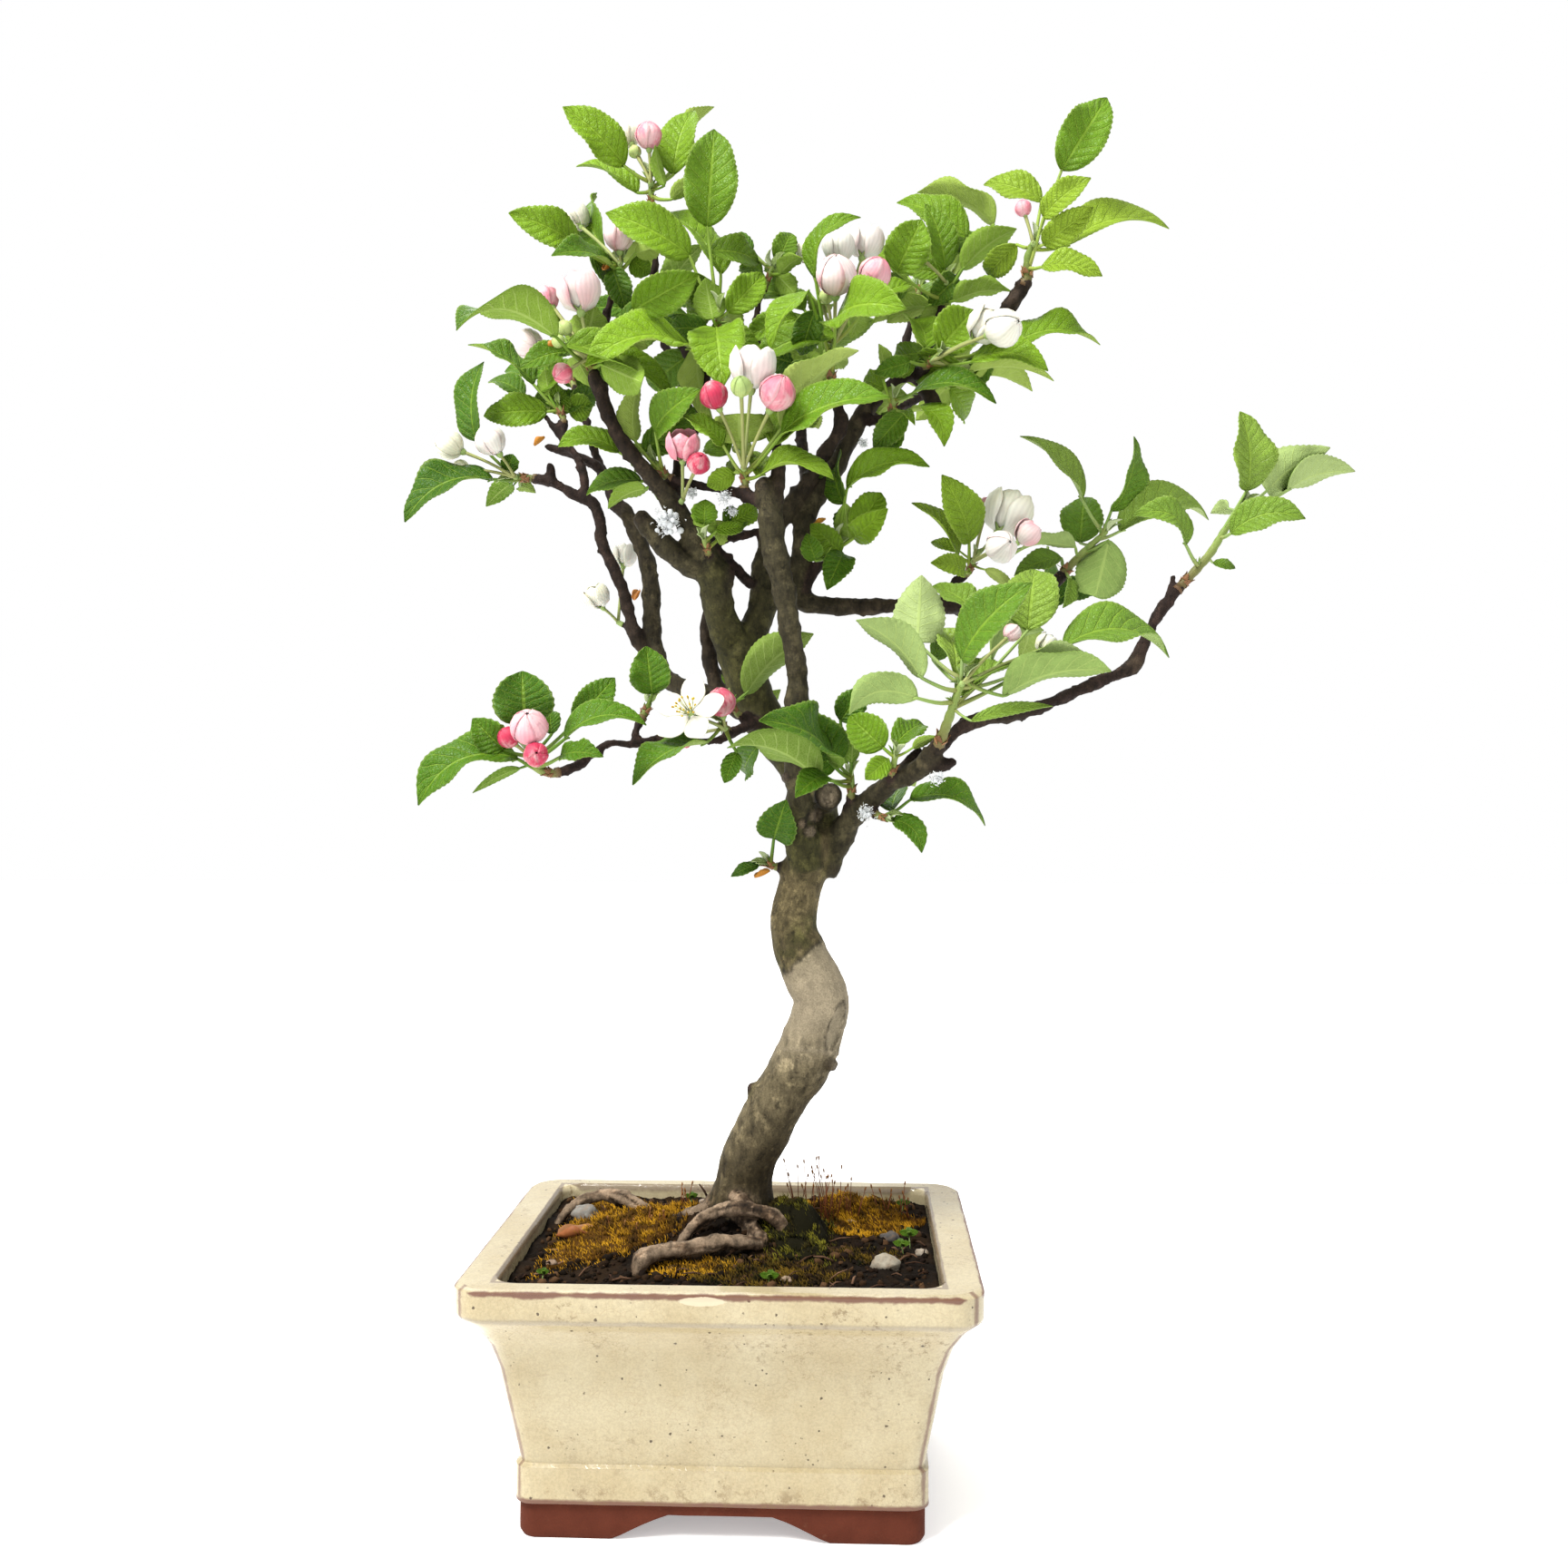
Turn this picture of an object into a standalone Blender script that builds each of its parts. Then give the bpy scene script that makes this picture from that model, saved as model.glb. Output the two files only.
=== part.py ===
"""A crabapple bonsai in blossom, in its glazed pot, modelled in Blender.

Sizes are in millimetres until the meshes are made, in metres. +Z is up and the
viewer stands towards -Y. The tree was laid out as seen from one spot: a place on
it is given by x (to the right) and z (up) on the upright plane through the pot's
middle, and by how far behind that plane it lies on the same line of sight.
"""

import math

import bmesh
import bpy
from mathutils import Vector
from mathutils.bvhtree import BVHTree

MM = 0.001
CLEAR = 0.3

# Where the tree is seen from
EYE_DISTANCE = 676.6
EYE_HEIGHT = 305.0
EYE_SIDE = 23.0
TURN = math.radians(2.46)
RIGHT = Vector((math.cos(TURN), math.sin(TURN), 0.0))
AWAY = Vector((-math.sin(TURN), math.cos(TURN), 0.0))
UP = Vector((0.0, 0.0, 1.0))
EYE = RIGHT * EYE_SIDE - AWAY * EYE_DISTANCE + UP * EYE_HEIGHT
CROWN_MIDDLE_X = 65.0

# Pot
POT_WIDTH = 210.0
POT_DEPTH = 170.0
POT_HEIGHT = 107.5
LIP_LOW = 95.0
CORNER = 13.0
WALL = 6.0
RIM_SIDE = 16.5
RIM_FRONT = 11.0
FLOOR_UNDER = 11.0
FLOOR_TOP = 22.0
FOOT_HEIGHT = 14.0
FOOT_INSET = 22.5
FOOT_RING = 13.0
ARCH_LOW = 48.0
ARCH_HIGH = 21.0
DRAIN_RADIUS = 7.0
DRAIN_X = 40.0
CORNER_STEPS = 3

# Outside of the pot: height and how far in from the lip
POT_PROFILE = (
    (0.0, 23.5), (2.0, 22.5), (FOOT_HEIGHT, 22.5), (FOOT_HEIGHT + 0.8, 21.0), (29.2, 21.0),
    (30.5, 22.5), (47.0, 19.5), (70.7, 15.0), (81.0, 11.5), (89.5, 6.0),
    (LIP_LOW, 0.4), (96.5, 0.0), (106.0, 0.0), (POT_HEIGHT, 2.2),
)

# Soil
SOIL_EDGE = 101.0
MOUND = 15.0
MOUND_RADIUS = 34.0
SOIL_SECTORS = 26
SOIL_RINGS = (1.0, 0.86, 0.66, 0.47, 0.3, 0.15)
SCREEN_RADIUS = 11.0
SCREEN_THICK = 1.2

# Leaves
MIDRIB = 0.7
PETIOLE = 0.7
FOLD = 0.42
ARCH = 0.12
WAVE = 0.22
# A blade's outline: how far along, and the width there as a share of its greatest
LONG_OUTLINE = ((0.22, 0.84), (0.5, 1.03), (0.78, 0.74))
SHORT_OUTLINE = ((0.3, 1.0), (0.68, 0.86))
SHORT_LEAF = 44.0
LONG_PETIOLE = 24.0
SHORT_PETIOLE = 9.0
SHIFTS = (0, 7, -7, 14, -14, 21, -21, 28, -28, 36, -36, 45, -45)
LEAF_TRIES = [(shift, lower) for shift in SHIFTS for lower in (0.0, 0.4, 0.8)]

# Wood: each stretch runs along points (x, z, depth, radius)
TRUNK = (
    (2, 106, 14, 17), (4, 118, 13, 15), (5.5, 130, 12, 12.7), (7.7, 140, 10, 12.2),
    (12.7, 150, 8, 12.6), (17.5, 160, 6, 12.5), (23.5, 170, 4, 12.4), (30, 180, 2, 13.2),
    (34.5, 190, 0, 13), (38, 200, -2, 12.5), (39.5, 210, -3, 12.3), (36, 218, -3, 12.4),
    (30.5, 230, -2, 11.6), (27.3, 240, -1, 10.4), (27.8, 250, 0, 10.1), (30.2, 260, 1, 9.6),
    (33.5, 270, 2, 10.2), (36.5, 279, 3, 9.5),
)
BRANCHES = {
    "main": ((33, 268, 3, 9), (38, 281, 8, 9), (39, 290, 10, 8.5), (36, 300, 12, 8.5),
             (29, 312, 13, 8.5), (19, 326, 12, 9), (12.5, 336, 11, 9.3), (7, 349, 9, 9.4),
             (3.5, 360, 8, 9.6), (2, 367, 8, 9)),
    "left_arm": ((4, 358, 8, 8), (-1, 369, 5, 7.6), (-5, 379, 2, 7.2), (-6.8, 388, 0, 7),
                 (-8.8, 398, -1, 7.3), (-12, 403, -2, 6.2)),
    "left_arm_stub": ((-6, 386, -1, 5), (-3, 394, -2, 3.6), (-1, 399, -2, 2.4)),
    "left_bough": ((-8.5, 398, -1, 6.8), (-14, 408, -2, 5.5), (-19, 418, -4, 4.8),
                   (-26, 428, -6, 4.4), (-33.4, 438, -8, 3.8), (-41, 447, -10, 3.3),
                   (-49, 457, -12, 3.1), (-54, 466, -14, 3), (-57.5, 476, -15, 3),
                   (-60, 484, -16, 3.2), (-62, 489, -16, 3.1)),
    "left_thick": ((-9, 399.5, -1, 5.7), (-19, 402, -3, 5.4), (-27, 408, -4, 5), (-35, 416, -5, 4.7),
                   (-41, 423, -6, 3.6)),
    "mid_twig": ((9, 393, 7, 2.6), (3, 399, 4, 2.4), (-3, 405, 2, 2.3), (-10, 411, 0, 2.2)),
    "cross_twig": ((-11, 412, 0, 2.2), (0, 414, 6, 2), (12, 417, 13, 2)),
    "right_arm": ((4, 360, 9, 7.5), (9, 372, 11, 7), (13.5, 384, 13, 6.5), (14, 397, 14, 6),
                  (16, 409, 15, 5), (20, 419, 16, 4.4), (27, 430, 14, 3.8), (33, 438, 12, 3.5),
                  (40.6, 450.6, 10, 3.3), (48, 463, 9, 3), (46, 475, 8, 2.6), (43.5, 486, 7, 2.4)),
    "right_bough": ((13.5, 386, 13, 5), (24, 390, 15, 5), (30, 402, 16, 4.6), (31.5, 418, 17, 4.5),
                    (36, 430, 18, 4.5), (44, 441, 19, 4.4), (50.7, 455, 20, 4.2), (56, 466, 21, 4),
                    (62, 474, 22, 3.6), (70, 481, 24, 3.2), (78, 486, 26, 3), (86, 491, 28, 2.8)),
    "front_stem": ((33, 268, -2, 8.5), (31.4, 279, -4, 7.8), (30, 292, -8, 6.5), (29.4, 303, -12, 5.4),
                   (28, 318, -16, 4.9), (28, 331, -19, 4.7), (29, 345, -21, 5.1), (28.4, 357, -22, 4.4),
                   (25, 378, -24, 4.6), (22, 395, -25, 4.8), (19, 408, -26, 5.3), (17.5, 418, -27, 5.7),
                   (16, 428, -28, 4.8), (14, 438, -28, 3.7)),
    "front_twig": ((18, 422, -27, 3.8), (20, 437, -27, 3.2), (20.5, 447, -26, 2.9), (20, 454, -25, 2.5)),
    "knob_right": ((36, 266, 0, 5), (42, 267, -1, 4), (45, 266.5, -1, 2.8)),
    "knob_left": ((28, 268, 1, 4), (22, 268, 1, 3), (18.6, 268.6, 1, 2.1)),
    "stub_low": ((15, 160, 4, 4.5), (10, 167, 4, 3), (8.5, 171, 4, 2.3)),
    "stub_cut": ((39, 296, 8, 6), (43, 300, -5, 5.6)),
    "stub_fork": ((11, 333, 6, 3.6), (5, 334, -2, 2.4), (1.5, 337, -5, 1.8)),
    "lower_bough": ((40, 266, 2, 6.5), (45, 276, 2, 6), (49, 284, 0, 5.6), (54, 291, -6, 5),
                    (60, 297, -14, 4.8), (66, 302, -20, 4.4), (72, 307, -26, 4.6), (79, 309, -32, 4.3),
                    (86, 314, -38, 4.4), (89.5, 319, -44, 4), (93, 325, -52, 3.2)),
    "lower_stub": ((74, 308, -28, 3.2), (80, 316, -30, 2.6), (83, 319.5, -31, 2)),
    "lower_knob": ((89, 314, -41, 3.4), (95, 313.5, -43, 3), (97.5, 315, -43, 2.2)),
    "spur_low": ((70, 305, -25, 2.8), (71, 312, -36, 2.2)),
    "spur_trunk": ((51, 289, -3, 3.4), (52.5, 297, -10, 2.6), (53, 302, -14, 2.4)),
    "spur_droop": ((59, 296, -14, 2.8), (63, 292, -20, 2.2), (65.5, 290.5, -23, 1.9)),
    "far_bough": ((88, 317, -39, 3), (100, 329, -37, 2.8), (113, 334.5, -36, 3.2), (122, 335.5, -33, 3.4),
                  (133, 338, -30, 2.9), (146, 343, -26, 2.6), (156, 347.6, -23, 2.7),
                  (169, 353, -20, 2.6), (178.5, 358, -18, 3.3), (181, 364, -18, 2.7),
                  (184, 371, -18, 2.3), (188, 379, -18, 2.6), (195, 388.6, -18, 2.5), (201, 395, -18, 2.6)),
    "far_stub": ((193, 386, -18, 1.7), (195.5, 397, -16, 1.2)),
    "level_bough": ((22, 390, 15, 4.5), (31.4, 385.5, 16, 4.2), (45, 383.8, 17, 3.8), (60, 383.8, 18, 3.5),
                    (76, 383.8, 20, 3.5), (96.9, 383.5, 23, 3.1), (110, 384, 26, 2.8),
                    (122, 385.5, 29, 2.8), (134, 389, 32, 2.8), (143, 394, 35, 3), (148, 400, 37, 3)),
    "level_twig": ((92, 384, 22, 2.6), (97, 392, 20, 2.4), (101, 396, 19, 2.2), (105.5, 399.5, 18, 2)),
    "inner_twig": ((31, 387, 16, 3), (35, 397, 14, 2.6), (40, 404, 12, 2.8), (45, 408.5, 10, 2.5)),
    "back_bough": ((10, 338, 12, 5), (0, 341, 22, 4.8), (-10, 344, 30, 4.4), (-20, 347, 37, 4.2),
                   (-29, 352, 42, 4.2), (-33, 360, 45, 4.5), (-35.5, 372, 47, 4.2), (-35.7, 390, 49, 4.2),
                   (-38, 404, 50, 4.1), (-42, 415, 50, 4), (-47, 425, 50, 3.8), (-53, 430, 50, 2.8)),
    "back_fork": ((-33, 359, 45, 3.5), (-41, 367, 43, 3.3), (-45, 378, 41, 3), (-48, 390, 40, 3),
                  (-53, 402, 39, 2.8), (-58, 413, 38, 2.9), (-58.5, 421, 38, 2.8), (-62, 430, 38, 2.7),
                  (-69, 432.5, 38, 2.4), (-78, 438, 38, 2.3), (-85, 440, 38, 2.4), (-91, 440.5, 37, 2.4)),
    "back_stub": ((-42, 372, 42, 2), (-52, 377.5, 46, 1.4)),
    "back_rise": ((-65, 431, 38, 2.2), (-66, 443, 40, 2), (-69, 450, 42, 1.9), (-74, 457, 45, 2),
                  (-74.5, 463, 46, 2), (-75, 468, 47, 2.1)),
    "back_spike": ((-74, 457, 45, 1.8), (-79, 463, 47, 1.7), (-83, 468, 49, 1.4)),
    "back_pale": ((-49, 426, 50, 2.6), (-54, 437, 50, 2.3), (-60, 446, 49, 2.2), (-70, 451, 48, 2),
                  (-82, 454.5, 47, 1.9)),
    "back_nub": ((-80, 438.5, 38, 2), (-80.5, 446, 38, 1.7)),
    "shadow_stem": ((4, 336, 14, 3.5), (-5, 344, 17, 3.6), (-9.5, 358, 17, 3.5), (-11, 372, 15, 3.4),
                    (-9, 386, 8, 3.2)),
    "fork_twig": ((12, 333, 4, 3), (5, 330, -6, 2.4), (-1, 328, -14, 2), (-4, 330.5, -21, 1.9)),
    "low_left_bough": ((4, 329.5, -7, 2), (-4, 325, -16, 1.7), (-12, 324, -22, 1.4), (-20, 324.5, -25, 1.5), (-28, 326, -28, 1.9),
                       (-34, 325, -31, 1.6), (-44, 322.5, -36, 1.5), (-54, 323, -40, 1.6),
                       (-62, 318, -44, 1.8), (-68, 313.5, -47, 2.2), (-75, 310.5, -50, 2.4),
                       (-81, 309.5, -53, 2.2)),
    "low_left_twig": ((-44, 322.5, -36, 1.4), (-42, 330, -30, 1.7), (-38.5, 337.5, -24, 2.2)),
    "centre_twig": ((14, 429, -27, 2.7), (6, 433, -22, 2.3), (-4, 435.5, -16, 1.9), (-14, 437, -11, 1.8),
                    (-24, 439, -6, 1.9), (-31, 442, -4, 2.2)),
    "centre_spur": ((5, 433, -22, 2.2), (6, 439.5, -22, 2.3)),
    "red_spur": ((-25, 427, -6, 2.2), (-21, 432, -12, 1.9)),
    "arm_spur": ((-10, 405, -5, 2.4), (-11, 409.5, -14, 1.7)),
    "rising_twig": ((-26, 428, -6, 2.8), (-24, 445, 6, 2.6), (-17, 462, 10, 2.5), (-13, 474, 10, 2.4),
                    (-11, 488, 7, 2.2), (-7, 500, 3, 2.1), (-6, 507, 0, 2)),
    "tall_twig": ((-12, 481, 9, 2.1), (-21, 497, 12, 1.9), (-33, 511, 14, 1.8), (-36, 520, 14, 1.7),
                  (-34, 538, 12, 1.7), (-35, 552, 11, 1.7), (-36, 564, 10, 1.8)),
    "high_left_twig": ((-57.5, 477, -15, 2.4), (-56, 487, -3, 2), (-57, 500, 5, 1.9),
                       (-55, 515, 7, 1.8), (-50, 531, 4, 1.8)),
    "slim_twig": ((20, 452, -25, 2.2), (19, 470, -12, 1.7), (14, 490, 2, 1.6), (11, 505, 8, 1.5),
                  (11.5, 517, 12, 1.5), (16, 529, 14, 1.6)),
    "top_right_twig": ((84, 490, 27, 2.6), (95, 498, 24, 2.5), (108, 506, 18, 2.7), (118, 511, 12, 3),
                       (123, 517, 8, 3.2), (129, 525, 4, 3.2), (131, 530, 2, 3)),
    "high_right_twig": ((84, 490, 27, 2.3), (88, 502, 32, 2.1), (92, 513, 34, 2), (94, 521, 35, 1.9)),
    "right_front": ((78, 486, 26, 3), (84, 488, 18, 2.5), (88, 491.5, 9, 2.2)),
    "right_spur": ((57, 467, 20, 2.6), (64, 466, 16, 2.4), (69, 466, 12, 2.3), (70.5, 469.5, 10, 2.1)),
    "right_stub": ((80, 487, 27, 3), (87, 478, 26, 3.2), (91, 470, 25, 3.8), (92, 466, 25, 3)),
    "rear_right": ((58, 468, 22, 3), (70, 470, 45, 2.8), (84, 477, 64, 2.4), (93, 484, 76, 2.1)),
    "rear_high": ((71, 471, 46, 2.4), (74, 490, 60, 2.1), (79, 508, 72, 1.9), (83, 524, 80, 1.8)),
    "rear_level": ((96, 383.5, 23, 2.7), (108, 379, 45, 2.4), (120, 378, 62, 2.1), (130, 381, 72, 1.9)),
    "rear_left": ((-52, 429, 50, 2.6), (-60, 450, 62, 2.2), (-66, 470, 72, 2), (-71, 484, 78, 1.8)),
    "rear_centre": ((-17, 461, 10, 2.3), (-22, 480, 35, 2.1), (-29, 498, 55, 1.9), (-34, 512, 66, 1.8)),
    "rear_middle": ((33, 438, 12, 2.9), (31, 455, 35, 2.5), (30, 473, 52, 2.2), (32, 488, 62, 1.9)),
    "rear_low": ((29, 311, 13, 4), (20, 318, 34, 2.8), (14, 325, 50, 2.2)),
}
ROOTS = {
    "flare_right": ((4, 122, 8, 9), (17, 112, 10, 6), (30, 104, 14, 4), (42, 98, 18, 2.5)),
    "flare_back": ((2, 122, 14, 10), (6, 116, 30, 6), (12, 112, 46, 3.5), (16, 106, 56, 2.2)),
    "flare_left": ((0, 122, 12, 9), (-12, 113, 14, 6), (-24, 106, 18, 4), (-34, 101, 22, 2.5)),
    "arch": ((22, 96, -12, 2.6), (24, 103, -12, 2.8), (20, 112, -11, 3.1), (10, 116.5, -10, 3.4),
             (0, 117, -10, 3.6), (-10, 114, -11, 3.3), (-18, 108, -13, 2.8), (-24, 99, -14, 2.3)),
    "arch_link": ((2, 120, 0, 6), (8, 117, -10, 3.2)),
    "long_left": ((6, 122, 2, 3.4), (-5, 119, 6, 2.8), (-15, 116, 12, 2.4), (-25, 112, 12, 2.2),
                  (-35, 107, 3, 2.1), (-41, 102, -4, 2), (-46, 97, -8, 1.8)),
    "front": ((4, 112, 0, 5), (13, 102, -20, 3.2), (5, 101.5, -27, 3), (-5, 102, -30, 3.1),
              (-15, 100.5, -31, 3.2), (-25, 98.5, -33, 3.4), (-34, 97, -36, 4), (-40, 94, -39, 4),
              (-43, 86, -41, 2.8)),
    "far_left": ((-10, 110, 20, 4), (-26, 108, 28, 4), (-40, 116, 34, 4.2), (-48, 121, 38, 4.2),
                 (-54, 123, 41, 3.4), (-61, 122.5, 42, 2.6), (-68, 120, 38, 2.4), (-75, 114, 31, 2),
                 (-78, 108, 29, 1.6)),
}

# Leafy shoots: the stretch of wood that each one ends, the stem's further points
# (x, z, depth), and its leaves: the tip's (x, z, depth), where the blade starts (x, z),
# how wide it looks, T or U for the side that shows, and at need how far the blade bows up
# and how wide it really is.
SHOOTS = {
    "shoot_top_left": ("tall_twig", ((-36, 573, 9),), (
        (-75, 605, -5, -48, 579, 16, "T"), (-69, 578.5, 20, -42, 567, 6.5, "T"),
        (-17, 603, 25, -26, 575, 16, "T"), (-8, 605, 42, -20, 585, 6, "U"),
        (-14, 572, -8, -27, 564, 7, "U"))),
    "shoot_top_centre": ("rising_twig", ((-6, 516, -3),), (
        (-8, 595, -5, -11, 552, 23, "T"), (-56, 558, -15, -19, 539, 18, "T"),
        (-33, 558, 20, -5, 531, 9.5, "T"), (-12, 529, -8, -8.5, 511, 14, "U"),
        (14, 531, 5, -2, 514, 14, "T"), (-4, 481, -26, -7, 507, 25, "T"),
        (-37, 482, 24, -18, 496, 16, "T"), (-28, 507, 2, -11, 507, 12, "T"),
        (-65, 490, -34, -18, 498, 13, "T", 3))),
    "shoot_high_left": ("high_left_twig", ((-49, 538, 1),), (
        (-99, 558, -20, -68, 543, 15, "T"), (-80, 539, -25, -54, 535, 7, "T"),
        (-60, 565, 12, -56, 541, 12, "T"), (-31, 544, -8, -43, 540, 9, "U"))),
    "shoot_left": ("left_bough", ((-64, 496, -19),), (
        (-61, 517, -34, -64, 501, 20, "U"), (-97, 513, 4, -77, 505, 10, "T"),
        (-122, 506, -44, -78, 503, 10, "U", 3), (-94, 489, -22, -72, 496, 9, "T"),
        (-15, 531, -22, -44, 515, 17, "T"), (-20, 513, -12, -50, 509, 6, "T"),
        (-40, 483, -4, -58, 491, 16, "U"))),
    "shoot_far_left": ("back_fork", ((-98, 441, 36),), (
        (-145, 421, 20, -106, 440, 12, "T", 3), (-109, 428, 48, -98, 438, 9, "U"),
        (-97, 451, 24, -100, 443, 8, "T"), (-110, 492, 44, -113, 457, 11, "T"),
        (-87, 434, 56, -94, 437, 6, "U"))),
    "shoot_far_left_high": ("back_rise", ((-77, 473, 47),), (
        (-117, 499.5, 40, -88, 482, 8, "T"), (-108, 483, 68, -92, 477, 8, "T"),
        (-110, 468, 52, -82, 470, 15, "T"), (-83, 489, 42, -81, 477, 9, "U"),
        (-60, 480, 60, -72, 472, 11, "T"))),
    "shoot_mid_left": ("centre_twig", ((-34, 448, -5),), (
        (-64.5, 433, -16, -40, 439, 7, "T"), (-55, 427, -24, -38, 436, 8, "U"),
        (-41, 483, -32, -43, 457, 10, "U", 0, 13), (-14, 480, -38, -34, 461, 14, "T"),
        (-77, 454.5, -26, -50, 452, 9, "T", 2))),
    "shoot_left_arm": ("arm_spur", ((-12.5, 414, -18),), (
        (-12, 431, -19, -12.5, 420, 11, "T"), (5, 418, -10, -7, 417, 6, "T"),
        (11, 427, 2, 0, 421, 9, "T"))),
    "shoot_centre": ("centre_spur", ((5, 447, -24),), (
        (3, 469, -54, 4, 456, 28, "U", 0, 28), (56, 497, -52, 22, 463, 10, "U"),
        (70, 476, -34, 22, 460, 14, "T"), (45, 440, -42, 13, 442, 8, "T", 2),
        (-22, 468, -26, -4, 455, 8, "T"), (-11, 437, -12, 1, 443, 9, "T"))),
    "shoot_mid_right": ("right_arm", ((44, 494, 6), (45.5, 502, 4)), (
        (77, 515.5, -22, 46, 510, 16, "T"), (5, 502, 10, 29, 511, 12, "T"),
        (8, 523, 30, 32, 515, 10, "T"), (26, 508, 22, 36, 489, 12, "U"),
        (57, 556, -12, 37, 529, 6, "T", 5), (17, 497, -28, 34, 523, 8, "T"),
        (80, 526, 16, 60, 517, 9, "T"))),
    "shoot_top_small": ("slim_twig", ((18, 534, 14),), (
        (-1, 547, 28, 9, 541, 6, "T"), (26, 549, 20, 20, 536, 11, "T"),
        (31, 538, 0, 21, 531, 7, "U", 0, 9))),
    "shoot_high_right": ("high_right_twig", ((95, 528, 35),), (
        (84, 555, 12, 73, 532, 20, "T"), (85.5, 562, 32, 94, 533, 13, "T"),
        (73, 562.5, 52, 104, 547, 14, "T"), (82, 567, 68, 116, 553, 12, "U"),
        (126, 551, 14, 102, 533, 13, "U"), (124, 523, 20, 98, 519, 9, "U"),
        (62, 509, 24, 87, 517, 9, "U"))),
    "shoot_top_right": ("top_right_twig", ((131, 538, 0), (134, 546, -2)), (
        (166, 609, -5, 146, 577, 20, "T"), (111.5, 570.5, 22, 137, 563, 11, "T"),
        (159, 573.5, -20, 138, 556, 11, "T"), (160, 560.5, -14, 138, 544, 13, "T"),
        (193.5, 551, 8, 147, 543, 10, "T", 2), (164, 530, -12, 137, 534, 9, "T"),
        (113, 531, 28, 126, 544, 12, "T"))),
    "shoot_right": ("right_front", ((92, 495.5, 3),), (
        (107, 515, -4, 92, 498, 20, "T"), (140, 488, -16, 106, 492, 11, "T", 2),
        (142.5, 483.5, 0, 105, 488, 7, "U"), (133, 479, 14, 107, 485, 7, "U"),
        (163, 499.5, 10, 124, 499.5, 10, "T", 2), (77, 511, 46, 86, 498, 10, "T"),
        (63, 487, 44, 79, 492, 9, "T"))),
    "shoot_right_low": ("right_spur", ((72, 476, 8),), (
        (117, 473.5, -6, 80, 478, 8, "T", 2), (94, 454.5, -12, 79, 470, 9, "T", 4),
        (64, 452, 26, 75, 464, 12, "T"), (65, 500, 2, 67, 484, 6, "U"))),
    "shoot_inner_right": ("inner_twig", ((47.5, 412, 8),), (
        (87.5, 445.5, 0, 51, 436, 10, "T", 2), (66, 434, 14, 54, 416, 15, "T"),
        (69, 427, -14, 54, 414, 12, "T"), (42, 391, -8, 49, 407, 13, "T"),
        (33, 416, -16, 37, 404, 9, "T"))),
    "shoot_level_mid": ("level_twig", ((107.5, 405, 17),), (
        (79.5, 429.5, 6, 100, 406, 7, "T"), (93, 442, 0, 105, 412, 16, "T", 0, 18),
        (88, 403, -4, 103, 399, 9, "T"))),
    "shoot_level_end": ("level_bough", ((156, 408, 38), (166, 417, 38)), (
        (127.5, 459, 26, 155, 431, 8, "T"), (156, 432, 62, 154, 412, 20, "T"),
        (178, 459, 26, 168, 426, 9, "T"), (211, 422, 54, 172, 417, 13, "T", 5),
        (161, 388, 16, 167, 413, 23, "U"), (125, 406.5, 10, 152, 410, 6, "U"),
        (125, 397, 46, 146, 405, 9, "T"), (146.5, 383, 24, 150, 396, 6, "T"))),
    "shoot_far_right": ("far_bough", ((211, 406, -19), (218, 417, -20), (226, 428, -21)), (
        (225, 470, -27, 228, 435, 16, "T", 0, 20), (265, 454, -14, 237, 435, 16, "U"),
        (276, 443.5, 0, 246, 435, 11, "U"), (254, 422.5, -34, 221, 416, 13, "T", 3),
        (177.5, 424, -38, 201, 411, 9, "T", 5), (212, 425, 4, 220, 427, 7, "U"))),
    "shoot_low_right": ("lower_bough", ((96, 334, -58), (99, 343, -62), (103, 352, -64)), (
        (84, 397.5, -56, 82, 368, 21, "U"), (55, 377.5, -78, 84, 352, 12, "U"),
        (88, 376, -20, 89, 360, 8, "T"), (92, 374, -34, 99, 353, 12, "T"),
        (133, 394, -88, 102, 360, 17, "T"), (134, 400, -36, 131, 373, 22, "T"),
        (88, 392, -22, 109, 379, 9, "T"), (126, 357.5, -62, 100, 344, 9, "T"),
        (138, 373, -46, 115, 359, 9, "U"), (158.5, 361.5, -54, 124, 353, 6, "U"),
        (168, 355, -66, 120, 344, 12, "U"), 
        (193.5, 361, -36, 147, 366, 11, "T", 4), (52, 336, -82, 82, 343, 12, "U", 4))),
    "shoot_low_spur": ("spur_low", ((72.5, 318, -42),), (
        (52, 335, -36, 67, 321, 16, "T"), (85, 331, -20, 72, 322, 10, "T"),
        (59, 307, -42, 69, 316, 9, "T"))),
    "shoot_trunk_fork": ("spur_trunk", ((53, 309, -16),), (
        (22, 339, -30, 47, 314, 24, "T"), (12, 333, -48, 44, 314, 12, "T"),
        (-2, 321, -56, 38, 308, 11, "U"), (28, 299, -50, 42, 308, 11, "T"),
        (58, 347, -12, 48, 333, 13, "T"), (54, 326, -28, 53, 314, 7, "U"))),
    "shoot_drooping": ("spur_droop", ((68, 290, -25),), (
        (84, 274.5, -32, 71, 289, 9, "T", 3), (112, 286.5, -10, 79, 298, 8, "T", 3),
        (81, 304, -4, 71, 293, 8, "T"))),
    "shoot_trunk_knob": ("knob_left", ((15.5, 270, 0),), (
        (24, 298, -12, 18.5, 281, 17, "T"),)),
    "shoot_fork_stub": ("stub_fork", ((-0.5, 341, -8),), (
        (36, 371.5, -42, 6, 345, 15, "U"),)),
    "shoot_low_left_inner": ("fork_twig", ((-5, 333, -23),), (
        (-44, 304.5, -38, -12, 323, 9, "T"), (-3.5, 305.5, -6, 2, 319, 8, "T"))),
    "shoot_low_left_twig": ("low_left_twig", ((-36.5, 341, -23),), (
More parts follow.
